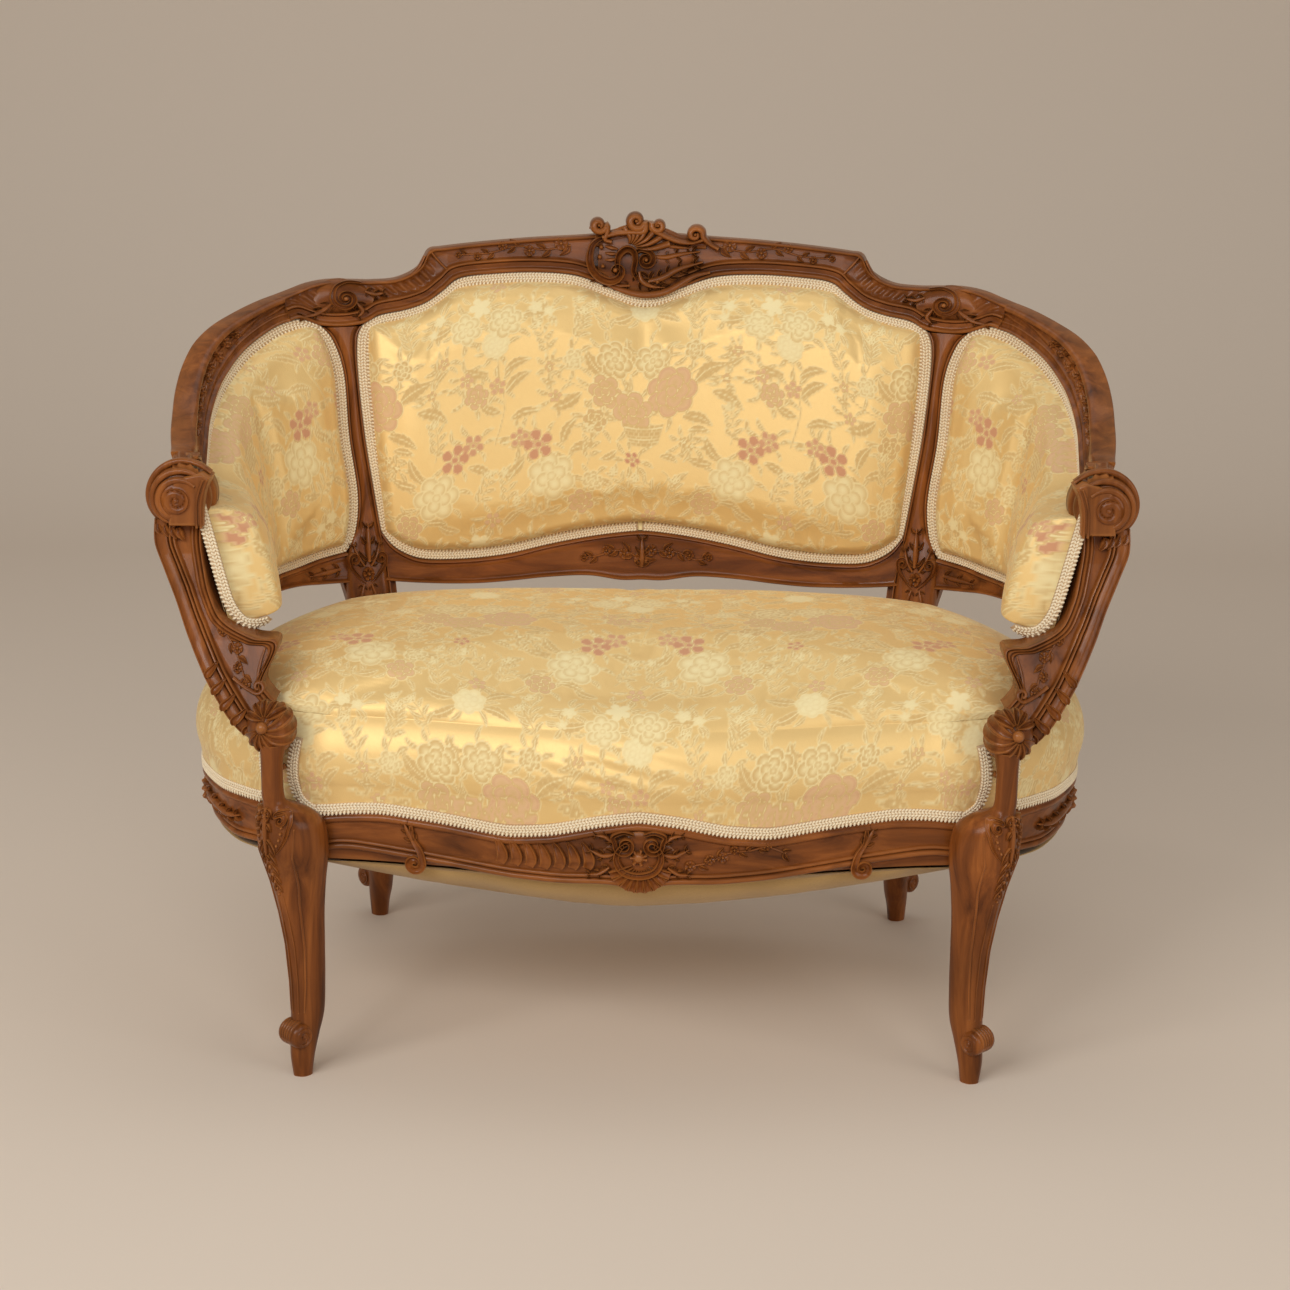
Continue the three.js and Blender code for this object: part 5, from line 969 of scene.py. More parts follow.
front_leg_parts = front_leg()
build("right_front_leg_carved", front_leg_parts, walnut_upright, "right_front_leg")
build("left_front_leg_carved", mirror(front_leg_parts), walnut_upright, "left_front_leg")


# Rear legs: each is one piece of walnut, a kicked leg below the seat and the back stile above it,
# a rounded column that spreads into the crest, with a leaf block where the rails join it.
rear_leg_rows = np.array([
    (0.000, 0.95, -0.11, 0.42, 0.42), (0.050, 0.92, -0.12, 0.50, 0.50), (0.105, 0.80, -0.16, 0.60, 0.60),
    (0.200, 0.56, -0.20, 0.66, 0.66), (0.360, 0.26, -0.17, 0.74, 0.72), (0.500, 0.02, -0.10, 0.84, 0.82),
    (0.620, -0.20, -0.04, 0.96, 0.94), (0.760, -0.28, 0.04, 1.00, 1.00), (0.96, -0.28, 0.04, 1.00, 1.00),
])
rear_leg_x, rear_leg_y, rear_leg_height, rear_girth, rear_kick = 372.1, 490.0, 450.0, 27.0, 55.0
opening_side = [(0.401, 0.143), (0.408, 0.250), (0.417, 0.420), (0.421, 0.600), (0.419, 0.700),
    (0.411, 0.743)]
stile_inner = [(0.388, -0.060), (0.392, 0.04), *opening_side[:-1], (0.4124, 0.736)]
stile_outer = [
    (0.446, -0.060), (0.457, 0.06), (0.441, 0.143), (0.432, 0.250), (0.438, 0.420), (0.438, 0.600),
    (0.449, 0.700), (0.461, 0.736),
]
stile_edge = ((0, 13), (0.5, 15.4), (1.4, 16.6), (2.4, 16.4), (3, 14.8), (3.6, 14.2), (5, 16.4), (7, 18.6),
    (9, 19.8))


def rear_leg():
    middle_of = lambda row: np.array([rear_leg_x + row[2] * rear_kick, rear_leg_y + row[1] * rear_kick])

    def way_of(rise):
        turn = min(max(1 - 2 * rise, 0), 1)
        way = np.array([0, -1.0]) * (1 - turn) + np.array([-1, -1]) * math.sqrt(0.5) * turn
        return way / np.linalg.norm(way)

    parts = [shaft(rear_leg_rows, middle_of, rear_leg_height, rear_girth, way_of, 48, 110)]
    parts += scroll_foot(middle_of(rear_leg_rows[0]), np.array([1, 1]) * math.sqrt(0.5), 16)
    parts.append(rail_body(sheet, on_sheet(stile_inner), on_sheet(stile_outer), 150, stile_edge, stile_edge,
                           20, rebates=(9, 9)))
    # leaf block at the stile's foot
    parts.append(strip(sheet, [(377, 574), (378, 556), (379, 530), (382, 500), (384, 470), (386, 452)],
                       [8, 20, 27, 28, 26, 18], [2, 5, 7, 7, 6, 3], round_top, 15, foot=16, stations=24))
    parts += leaf(sheet, [(378, 528), (378, 545), (377, 562), (376, 578)], 13, 9, 20, 3)
    for side in (1, -1):
        curve = np.concatenate([[(380 + side * 4, 500), (380 + side * 14, 508), (380 + side * 24, 520)],
                                curl((380 + side * 20, 532), (380 + side * 26, 528), side * 1.3, 0.25, 12)])
        parts.append(strip(sheet, curve, [2, 3.2, 3.4, 3, 2], [5, 7, 8, 8, 7], hollow_top, 19, stations=52))
        parts += leaf(sheet, [(380 + side * 5, 522), (380 + side * 14, 536), (380 + side * 19, 552)], 8, 7,
            19, 3)
        parts += leaf(sheet, [(382 + side * 6, 498), (382 + side * 12, 480), (383 + side * 12, 462)], 9, 7,
            18, 3)
    parts += blossom(sheet, (380, 512), 9, 9, 6, ground=20)
    return parts


rear_leg_parts = rear_leg()
build("right_rear_leg_carved", rear_leg_parts, walnut_upright, "right_rear_leg")
build("left_rear_leg_carved", mirror(rear_leg_parts), walnut_upright, "left_rear_leg")


# Seat rails: walnut in front and at the sides, beech stained to match behind. The front rail is
# serpentine, scalloped above and below, and carved with a rocaille shell, wave lobes, a sprig and two
# leaf curls. All are tenoned into the legs.
rail_top, rail_bottom, webbing_line = 333.0, 274.0, 272.0
front_reach, front_bow, seat_half, rear_rail_y = 404.0, 62.0, 548.0, 474.0
rail_height = rail_top - rail_bottom
front_top = ((0, 0.20), (0.12, 0.08), (0.25, -0.14), (0.38, -0.24), (0.55, -0.10), (0.75, 0.02),
    (0.90, -0.04), (1, -0.18))
front_bottom = ((0, -0.20), (0.10, -0.10), (0.22, -0.14), (0.38, -0.10), (0.55, 0.02), (0.72, 0.14),
    (0.86, 0.24), (1, 0.10))
side_top = ((0, 0.02), (0.2, 0.04), (0.45, 0.03), (0.7, 0.05), (1, 0.05))
side_bottom = ((0, 0.08), (0.2, 0.00), (0.45, 0.04), (0.7, 0.05), (1, 0.05))
bow_at = lambda x: -front_bow * (1 + np.cos(math.pi * np.minimum(1, np.abs(x) / front_reach))) / 2


def eased(table, share):
    """A smooth line through a table of share and value, evenly sampled first."""
    table = np.array(table, float)
    even = np.interp(np.linspace(0, 1, 25), table[:, 0], table[:, 1])
    even = np.convolve(np.pad(even, 1, "edge"), (0.2, 0.6, 0.2), "valid")
    return through(even, share)


front_xs = np.linspace(-front_reach, front_reach, 25)
front_plan = np.stack([front_xs, bow_at(front_xs)], 1)
side_plan = np.array([(0.790, 0.04), (0.860, 0.10), (0.925, 0.18), (0.985, 0.33), (1, 0.47), (0.975, 0.64),
                      (0.905, 0.82), (0.800, 0.95), (0.735, 1.00)]) * (seat_half, rear_rail_y)
rear_across = np.linspace(1, -1, 13)
rear_plan = np.stack([rear_across * rear_leg_x, rear_rail_y + 54 * (1 - rear_across**2)], 1)


def seat_rail(plan, stations, top_of, bottom_of, lean=0.0, plain=False):
    share = np.linspace(0, 1, stations + 1)
    point = through(plan, share)
    along = np.gradient(point, axis=0)
    along /= np.linalg.norm(along, axis=1)[:, None]
    inward = np.stack([-along[:, 1], along[:, 0]], 1)
    top, bottom = top_of(share)[:, None], bottom_of(share)[:, None]
    low = [(32, None), (10 + lean, None), (6 + lean, 0), (2 + lean, 0.4), (0.4 + lean, 2), (lean, 4),
        (0.6 + lean, 5.8),
           (2.2 + lean, 7), (3.4 + lean, 7.6), (1.8 + lean, 8.6), (0.9 + lean, 10), (1.2 + lean, 11.6),
           (2.6 + lean, 12.8),
           (4.2 + lean * 0.9, 13.4)]
    belly = [(4.4 - 1.2 * math.sin(math.pi * t) + lean * (0.9 - 0.9 * t), t) for t in np.linspace(0.08,
        0.95, 9)]
    high = [(4.2, -11.6), (2.2, -10.8), (0.6, -9.2), (-0.2, -7), (0.2, -4.8), (1.4, -3.4), (1.0, -2.2),
        (1.6, -0.8), (2.6, 0), (8, 0)]
    if plain:
        low, high = [(32, None), (0, None), (0, 2)], [(0, -2), (1.5, 0), (8, 0)]
        belly = [(0, t) for t in np.linspace(0.1, 0.9, 3)]
    depths, heights = [], []
    for depth, rise in low:
        depths.append(depth + 0 * top)
        heights.append(webbing_line + 0 * top if rise is None else bottom + rise)
    foot, head = low[-1][1], high[0][1]
    for depth, t in belly:
        depths.append(depth + 0 * top)
        heights.append(bottom + foot + (top + head - bottom - foot) * t)
    for depth, rise in high:
        depths.append(depth + 0 * top)
        heights.append(top + rise)
    for depth in (8.0, 32.0):
        depths.append(depth + 0 * top)
        heights.append(rail_top + 14 + 0 * top)
    depth, height = np.concatenate(depths, 1), np.concatenate(heights, 1)
    flat = point[:, None] + inward[:, None] * depth[..., None]
    return loft(np.stack([flat[..., 0], flat[..., 1] - setback, height], -1))


def front_face(x, z, forward):
    x, z, forward = np.broadcast_arrays(*(np.asarray(v, float) for v in (x, z, forward)))
    return np.stack([x, bow_at(x) - forward - setback, z], -1)


def front_rail():
    top_of = lambda share: rail_top + rail_height * eased(front_top, np.abs(2 * share - 1))
    bottom_of = lambda share: rail_bottom + rail_height * eased(front_bottom, np.abs(2 * share - 1))
    parts = [seat_rail(front_plan, 360, top_of, bottom_of)]
    here = front_face
    # rocaille shell: an open ring of C-scrolls over a fan of ribs
    parts.append(strip(here, [(-44, 296), (-20, 300), (0, 301), (22, 300), (44, 296)], [10, 24, 32, 24, 10],
                       [1, 3, 4, 3, 1], round_top, -2.5, foot=10, stations=24))
    for share in np.linspace(-1, 1, 9):
        angle = math.radians(-90 + 66 * share)
        way = np.array([math.cos(angle), math.sin(angle)])
        start = np.array([2, 296.0])
        reach = 36 + 2 * abs(share)
        parts.append(strip(here, [start + way * 10, start + way * reach * 0.7, start + way * reach],
                           [1.6, 4.2, 5.2], [5, 9, 6], hollow_top, -1, foot=9, stations=14))
    ring = [(-10, 322), (-22, 314), (-26, 300), (-18, 286), (0, 281), (18, 286), (26, 299), (24, 312),
        (14, 322)]
    parts.append(strip(here, ring, [1.8, 3, 3.8, 4, 4, 4, 3.8, 3, 1.8], [7, 9, 10, 10, 10, 10, 10, 9, 7],
        hollow_top, 0, stations=60))
    for side in (1, -1):
        path = np.concatenate([[(side * 6, 330), (side * 18, 333), (side * 30, 328)],
                               curl((side * 16, 318), (side * 28, 321), -side * 1.2, 0.25, 12)])
        parts.append(strip(here, path, [1.6, 3, 3.4, 3, 2], [6, 9, 10, 10, 9], hollow_top, 0, stations=52))
        parts += leaf(here, [(side * 28, 306), (side * 42, 304), (side * 58, 311)], 9, 7, -2, 3)
        parts += leaf(here, [(side * 30, 320), (side * 40, 327), (side * 52, 328)], 7, 6, -2, 3)
        parts += leaf(here, [(side * 34, 290), (side * 46, 282), (side * 60, 280)], 7, 6, -1, 3)
    parts.append(button(here, (0, 303), 8, 9, 0, 20))
    parts += [strip(here, [(0, 303), (10 * math.cos(a), 303 + 10 * math.sin(a))], [1, 2.4], [9, 6],
        round_top, 0, stations=6)
              for a in np.linspace(0.3, 6.0, 7)]
    # wave lobes left of the shell
    for order in range(7):
        x = -168 + 17 * order
        lift = 296 + 0.9 * abs(order - 3) - 2.5
        parts.append(strip(here, [(x, lift + 21), (x + 5, lift + 13), (x + 9, lift), (x + 6, lift - 10)],
                           [1.5, 4.6, 7, 5.4], [3, 6, 7.5, 3], hollow_top, -3.4, foot=5, stations=16))
    # flower sprig right of the shell
    parts += spray(here, [(60, 290), (82, 294), (104, 304), (130, 306), (150, 309), (172, 300)],
                   [(0.0, 0, 6.5), (0.22, 3, 6), (0.34, -2, 6.5), (0.46, 3, 5), (0.8, 2, 5)],
                   [(0.1, -1, 11), (0.16, 1, 10), (0.3, 1, 11), (0.5, -1, 10), (0.56, 1, 9), (0.7, -1, 10),
                   (0.95, 1, 9), (0.97, -1, 11)],
                   -3.6, 5)
    # a leaf curl over the lower beads near each leg
    for side in (1, -1):
        path = np.concatenate([[(side * 268, 322), (side * 266, 306), (side * 258, 292)],
                               curl((side * 264, 276), (side * 255, 281), side * 1.2, 0.3, 12)])
        parts.append(strip(here, path, [2.4, 5, 5.5, 4.4, 3], [3, 6, 8, 8, 7], hollow_top, -2, foot=8,
            stations=48))
        parts += leaf(here, [(side * 266, 302), (side * 272, 314), (side * 276, 324)], 9, 5, -3, 3)
    return parts


build("front_seat_rail_carved", front_rail(), walnut_across, "front_seat_rail")


def side_face(share, z, forward):
    share, z, forward = np.broadcast_arrays(*(np.asarray(v, float) for v in (share, z, forward)))
    shape = share.shape
    point = through(side_plan, share.ravel() / 560)
    ahead = through(side_plan, np.minimum(share.ravel() / 560 + 0.01, 1)) - through(side_plan,
        np.maximum(share.ravel() / 560 - 0.01, 0))
    ahead /= np.linalg.norm(ahead, axis=1)[:, None]
    flat = point + np.stack([ahead[:, 1], -ahead[:, 0]], 1) * forward.ravel()[:, None]
    return np.stack([flat[:, 0].reshape(shape), flat[:, 1].reshape(shape) - setback, z], -1)


def side_rail():
    top_of = lambda share: rail_top + rail_height * eased(side_top, share)
    bottom_of = lambda share: rail_bottom + rail_height * eased(side_bottom, share)
    parts = [seat_rail(side_plan, 260, top_of, bottom_of, lean=10.0)]
    parts += leaf(side_face, [(210, 306), (170, 304), (130, 302), (96, 306)], 13, 6, -6, 5)
    parts += leaf(side_face, [(236, 306), (276, 304), (316, 302), (350, 306)], 13, 6, -6, 5)
    parts += blossom(side_face, (223, 305), 13, 8, 6, ground=-6)
    return parts


side_rail_parts = side_rail()
build("right_side_seat_rail_carved", side_rail_parts, walnut_across, "right_side_seat_rail")
build("left_side_seat_rail_carved", mirror(side_rail_parts), walnut_across, "left_side_seat_rail")
build("rear_seat_rail_shaped", [seat_rail(rear_plan, 80, lambda s: rail_top + 0 * s,
      lambda s: rail_bottom + 0 * s, plain=True)], walnut_across, "rear_seat_rail")


# Lower rails: the walnut rail under the centre back, carved with a flower spray, and a plain moulded
# one under each side pad, all tenoned between the stiles and the arm supports.
opening_foot = [
    (0, 0.130), (0.034, 0.125), (0.084, 0.112), (0.146, 0.090), (0.202, 0.066), (0.253, 0.055),
    (0.303, 0.053), (0.343, 0.059), (0.370, 0.080), (0.388, 0.107), (0.401, 0.143),
]
lower_under = [
    (0, -0.014), (0.034, -0.015), (0.084, -0.002), (0.146, -0.006), (0.202, -0.015), (0.253, -0.020),
    (0.303, -0.018), (0.343, -0.013), (0.370, -0.008), (0.388, -0.004), (0.401, 0.000),
]
lower_inner = ((0, 15), (0.6, 17.6), (1.8, 19.2), (3.2, 19.4), (4.4, 18), (5.2, 15.4), (6.2, 14.6),
    (8, 14.8))
lower_outer = ((0, 13), (0.6, 15.8), (1.8, 17.6), (3.2, 17.8), (4.4, 16.6), (5.2, 14.2), (6, 13.6))
lower_parts = [rail_body(sheet, on_sheet(both_sides(opening_foot)), on_sheet(both_sides(lower_under)), 360,
                         lower_inner, lower_outer, 14)]
lower_parts += spray(sheet, [(-2, 522), (14, 530), (34, 534), (54, 530), (74, 522), (92, 526)],
                     [(0.0, 0, 9), (0.2, 4, 7.5), (0.44, -3, 7), (0.7, 3, 6), (1, 0, 5)],
                     [(0.04, -1, 16), (0.12, 1, 14), (0.3, -1, 14), (0.36, 1, 13), (0.56, -1, 12),
                     (0.62, 1, 12), (0.84, -1, 11), (0.9, 1, 10)],
                     14, 5.5)
lower_parts += spray(sheet, [(-2, 522), (-20, 531), (-40, 533), (-60, 526), (-80, 524)],
    [(0.3, 3, 7), (0.6, -3, 6), (1, 0, 5)],
                     [(0.16, 1, 14), (0.22, -1, 14), (0.42, 1, 12), (0.48, -1, 12), (0.78, 1, 11),
                     (0.84, -1, 11)], 14, 5.5)
lower_parts += leaf(sheet, [(0, 512), (0, 524), (0, 540), (0, 552)], 12, 7, 14, 3)
build("lower_back_rail_carved", lower_parts, walnut_across, "lower_back_rail")
side_foot = [(0.458, 0.090), (0.508, 0.079), (0.565, 0.066), (0.680, 0.062), (0.800, 0.062), (0.900, 0.064),
    (0.972, 0.072)]
side_foot_under = [
    (0.458, 0.000), (0.508, 0.006), (0.565, 0.015), (0.680, 0.020), (0.800, 0.014), (0.900, 0.005),
        (0.972, 0.000),
]
side_lower = [rail_body(sheet, on_sheet(side_foot), on_sheet(side_foot_under), 160, lower_inner,
    lower_outer, 14)]
side_lower += leaf(sheet, [(420, 520), (436, 518), (454, 517), (472, 516)], 10, 5, 14, 3)
build("right_lower_side_rail_moulded", side_lower, walnut_across, "right_lower_side_rail")
build("left_lower_side_rail_moulded", mirror(side_lower), walnut_across, "left_lower_side_rail")


# Gold brocade: a satin ground with baskets of roses, sprays and sprigs woven in matte silk. The
# figure is drawn by rule in millimetres of cloth, one repeat of 400 by 320, and kept as an attribute.
cloth_repeat = np.array([400.0, 320.0])
straw = 0.36


def near_motif(spots, centre, reach):
    """The part of the cloth near a motif, in any repeat, and the offsets from its middle."""
    away = (spots - centre + cloth_repeat / 2) % cloth_repeat - cloth_repeat / 2
    here = np.nonzero(np.max(np.abs(away), axis=1) < reach)[0]
    return here, away[here]


def weave_in(figure, here, cover, tone):
    cover = np.clip(cover, 0, 1)
    keep = 1 - cover
    figure[here, 1] = figure[here, 1] * keep + tone * cover
    figure[here, 0] = np.maximum(figure[here, 0], cover)


def woven_rose(figure, spots, centre, radius, petals, tone, turned=0.0):
    """A rose of three rings of overlapping petals, each with a light edge."""
    here, away = near_motif(spots, centre, radius * 1.1 + 2)
    for ring, size, count in ((0.64, 0.42, petals + 1), (0.36, 0.34, petals - 1), (0.0, 0.24, 1)):
        for order in range(count):
            angle = turned + 2 * math.pi * order / count + ring
            heart = np.array([math.cos(angle), math.sin(angle)]) * ring * radius
            inside = size * radius - np.linalg.norm(away - heart, axis=1)
            fold = np.clip(inside / (size * radius), 0, 1)
            weave_in(figure, here, inside / 1.1 + 0.5,
                (tone + 0.4 * (0.45 - fold)) * (1 - np.clip(1.3 - inside / 1.7, 0, 1)))


def woven_daisy(figure, spots, centre, radius, petals, tone, turned=0.0):
    here, away = near_motif(spots, centre, radius + 2)
    reach, angle = np.hypot(*away.T), np.arctan2(away[:, 1], away[:, 0]) - turned
    petal = np.abs(np.cos(petals * angle / 2))
    edge = radius * (0.42 + 0.58 * petal**0.5)
    line = np.clip((0.42 - petal) * 5, 0,
        1) * (reach > radius * 0.3) + np.clip(1.2 - np.abs(reach - radius * 0.26) / 1.1, 0, 1)
    weave_in(figure, here, (edge - reach) / 1.2 + 0.5, tone * (1 - np.clip(line, 0, 1)))


def woven_leaf(figure, spots, base, degrees, length, width, tone=straw, notches=5):
    turned = math.radians(degrees)
    way = np.array([math.cos(turned), math.sin(turned)])
    here, away = near_motif(spots, np.add(base, way * length / 2), length * 0.62 + 2)
    along = (away @ way) / length + 0.5
    aside = away @ (-way[1], way[0]) - length * 0.10 * np.sin(math.pi * np.clip(along, 0, 1))
    inside = np.clip(along, 0.001, 0.999)
    half = width / 2 * np.sin(math.pi * inside**0.85) ** 0.8 * (1 - 0.24 * np.mod(inside * notches, 1))
    vein = np.clip(1.1 - np.abs(aside) / 0.8, 0, 1)
    ribs = np.clip(1 - np.abs(np.mod(inside * notches * 1.2 - np.abs(aside) / width, 1) - 0.1) / 0.10, 0,
        1) * 0.3
    rim = np.clip(1 - (half - np.abs(aside)) / 0.8, 0, 1) * 0.5
    cover = np.minimum((half - np.abs(aside)) / 1.1 + 0.5, np.minimum(along, 1 - along) * length)
    weave_in(figure, here, cover, tone * (1 - np.clip(vein + ribs + rim, 0, 1)))


def woven_stem(figure, spots, line, tone=straw, thick=1.0):
    line = through(line, np.linspace(0, 1, 5 * len(line)))
    for start, stop in zip(line[:-1], line[1:]):
        here, away = near_motif(spots, (start + stop) / 2, np.linalg.norm(stop - start) + 3)
        way = (stop - start) / (np.linalg.norm(stop - start) + 1e-9)
        along = away @ way
        beyond = np.maximum(np.abs(along) - np.linalg.norm(stop - start) / 2, 0)
        weave_in(figure, here, thick - np.hypot(away @ (-way[1], way[0]), beyond) + 0.4, tone)


def woven_sprig(figure, spots, base, degrees, length, tone=straw):
    """A bent stem with pairs of small leaves and a bud."""
    share = np.linspace(0, 1, 5)
    bend = np.radians(degrees + 34 * (share - 0.5))
    line = np.array(base, float) + np.concatenate([[(0, 0)],
        np.stack([np.cos(bend), np.sin(bend)], 1)[1:] * length / 4]).cumsum(0)
    woven_stem(figure, spots, line, tone, 0.8)
    for order in range(1, 5):
        for side in (1, -1):
            woven_leaf(figure, spots, line[order] - side, math.degrees(bend[order]) + side * 42, 19 - order,
                8.5 - order * 0.5, tone, 3)
    woven_rose(figure, spots, line[-1] + np.array([math.cos(bend[-1]), math.sin(bend[-1])]) * 5, 6, 4,
        tone + 0.3)


def woven_basket(figure, spots, centre, tone=straw):
    here, away = near_motif(spots, centre, 32)
    x, y = away.T
    half = 19 + 0.30 * (y + 14)
    belly = 14 - 0.006 * x**2
    inside = np.minimum(half - np.abs(x), np.minimum(y + belly, 14 - y))
    cane = np.mod(y / 4.6, 1)
    block = np.mod(x / 7 + 0.5 * np.floor(y / 4.6), 1)
    line = np.maximum(np.clip(1 - np.abs(cane - 0.1) / 0.16, 0, 1),
        0.6 * np.clip(1 - np.abs(block - 0.1) / 0.14, 0, 1))
    weave_in(figure, here, inside / 1.1 + 0.5, tone * (1 - line))


woven_stems = (
    [(-2, -18), (-8, -40), (4, -60), (22, -72), (34, -60), (26, -50)],
        [(-200, -10), (-188, 40), (-196, 80), (-200, 110)],
    [(0, 20), (40, 60), (80, 84), (118, 92)], [(0, 20), (-50, 40), (-92, 58), (-118, 70)],
    [(-150, -20), (-128, -40), (-118, -62)], [(-250, -20), (-272, -38), (-282, -60)],
    [(0, -150), (-16, -128), (0, -110)],
)
woven_leaves = (
    (-52, 72, 130, 40, 17), (70, 66, 28, 42, 18), (92, 52, -28, 44, 15), (-84, 48, 205, 42, 15),
        (28, 84, 70, 36, 13),
    (-12, 92, 108, 36, 13), (52, 20, -20, 40, 14), (-48, 14, 200, 34, 13), (60, 0, -8, 28, 10),
    (-36, -24, 215, 26, 9),
    (22, -28, -30, 26, 9), (-196, 100, 125, 34, 12), (-204, 100, 60, 34, 12), (-190, 84, 20, 36, 12),
    (-210, 84, 165, 34, 12),
    (-188, 56, 35, 40, 13), (-192, 30, 150, 34, 12), (-180, 20, 10, 38, 12), (-178, -2, -15, 34, 11),
    (-262, -40, 215, 36, 13),
    (-238, -36, -30, 36, 12), (-160, -34, 215, 34, 12), (-136, -34, -22, 38, 13), (-110, -20, 60, 36, 13),
    (-100, -30, 10, 34, 12),
    (-296, -44, 120, 38, 13), (-306, -46, 165, 34, 12), (-250, -120, 150, 30, 11), (-190, -122, 35, 30, 11),
    (-262, -166, 185, 34, 12),
    (-166, -160, -5, 36, 12), (-18, -140, 160, 34, 12), (18, -140, 20, 34, 12), (-14, -152, 205, 36, 12),
    (14, -152, -25, 36, 12),
    (-58, -104, 140, 30, 10), (-110, -104, 195, 28, 10), (60, -100, 35, 30, 10), (104, -98, -15, 28, 10),
    (36, -78, 40, 30, 11),
    (-40, -74, 150, 28, 10), (118, 84, 40, 22, 8), (122, 96, 100, 20, 7), (-118, 62, 160, 22, 8),
    (-122, 74, 110, 20, 7),
)
woven_roses = (
    (-40, 97, 25, 6, 0.30), (12, 101, 24, 5, 0.28), (-52, 52, 23, 5, 0.62), (38, 56, 34, 6, 0.70),
        (-15, 32, 27, 5, 0.66),
    (-66, 12, 16, 5, 0.5), (-202, 122, 18, 7, 0.10), (-226, 55, 17, 5, 0.74), (-280, -66, 30, 5, 0.16),
    (-124, -62, 32, 5, 0.16),
    (-68, -70, 14, 5, 0.34), (0, -143, 19, 6, 0.08), (-243, -174, 21, 5, 0.20), (-190, -168, 23, 5, 0.22),
    (82, -102, 18, 5, 0.66),
    (-84, -100, 18, 5, 0.70), (70, 108, 14, 5, 0.4), (-96, 92, 14, 5, 0.3),
)
woven_daisies = (
    (-255, -22, 20, 5, 0.96), (-230, -8, 15, 5, 0.90), (-142, -18, 21, 5, 0.96), (-168, -6, 13, 5, 0.88),
        (-15, -32, 11, 5, 0.98),
    (-225, -145, 15, 5, 0.02), (-198, 66, 12, 5, 0.8), (-240, 78, 10, 5, 0.76), (-205, -112, 12, 5, 0.7),
    (8, -112, 11, 5, 0.72),
    (-120, 44, 9, 5, 0.74), (-282, -150, 9, 5, 0.06), (-150, -152, 10, 5, 0.08), (-290, -168, 7, 5, 0.1),
    (-132, -160, 8, 5, 0.1),
    (128, 108, 8, 5, 0.6), (-128, 84, 7, 5, 0.7), (112, 70, 7, 5, 0.6), (54, -14, 7, 5, 0.4),
    (66, -22, 6, 5, 0.4),
)


def woven_tile():
    """One repeat of the figure, drawn every 0.8 mm: first small leaves round every flower."""
    columns, rows = (cloth_repeat / 0.8).astype(int)
    spots = np.stack(np.meshgrid(np.arange(columns) * 0.8, np.arange(rows) * 0.8), -1).reshape(-1, 2)
    figure = np.zeros((len(spots), 2), np.float32)
    chance = np.random.default_rng(7)
    for x, y, radius, _, _ in woven_roses + woven_daisies:
        for leaf_order in range(7):
            degrees = 51 * leaf_order + chance.uniform(-14, 14)
            away = np.array([math.cos(math.radians(degrees)),
                math.sin(math.radians(degrees))]) * radius * 0.9
            woven_leaf(figure, spots, (x, y) + away, degrees + chance.uniform(-30, 30),
                       chance.uniform(12, 22) + radius * 0.2, chance.uniform(6, 9), straw, 3)
    for line in woven_stems:
        woven_stem(figure, spots, np.array(line, float))
    for x, y, degrees, length, width in woven_leaves:
        woven_leaf(figure, spots, (x, y), degrees, length * 1.12, width * 1.25)
    for order, (x, y, radius, petals, tone) in enumerate(woven_roses):
        woven_rose(figure, spots, (x, y), radius, petals, tone, 0.7 * order)
    for order, (x, y, radius, petals, tone) in enumerate(woven_daisies):
        woven_daisy(figure, spots, (x, y), radius, petals, tone, 0.9 * order)
    woven_basket(figure, spots, (0, 0))
    # sprigs go where the cloth is still bare
    for order in range(15):
        cover = figure[:, 0].reshape(20, 20, 25, 20).mean((1, 3))
        near = sum(np.roll(cover, (down, across), (0, 1)) for down in (-1, 0, 1) for across in (-1, 0, 1))
        row, column = np.unravel_index(np.argmin(near), near.shape)
        degrees = chance.uniform(40, 140)
        base = np.array([column * 16 + 8, row * 16 + 8]) - 26 * np.array([math.cos(math.radians(degrees)),
            math.sin(math.radians(degrees))])
        woven_sprig(figure, spots, base, degrees, 46)
    return figure.reshape(rows, columns, 2)


woven = woven_tile()


def brocade_figure(spots):
    """Cover and tone of the woven figure at places on the cloth, in millimetres."""
    at = np.mod(spots, cloth_repeat) / 0.8
    low = np.floor(at).astype(int)
    part = (at - low)[:, :, None]
    rows, columns = woven.shape[:2]
    x, y = low[:, 0] % columns, low[:, 1] % rows
    right, above = (x + 1) % columns, (y + 1) % rows
    lower = woven[y, x] * (1 - part[:, 0]) + woven[y, right] * part[:, 0]
    upper = woven[above, x] * (1 - part[:, 0]) + woven[above, right] * part[:, 0]
    figure = np.ones((len(spots), 4), np.float32)
    figure[:, :2] = lower * (1 - part[:, 1]) + upper * part[:, 1]
    return figure


def cloth_finish(name):
    finish = bpy.data.materials.new(name)
    finish.use_nodes = True
    nodes, links = finish.node_tree.nodes, finish.node_tree.links
    return finish, nodes, links, nodes["Principled BSDF"]


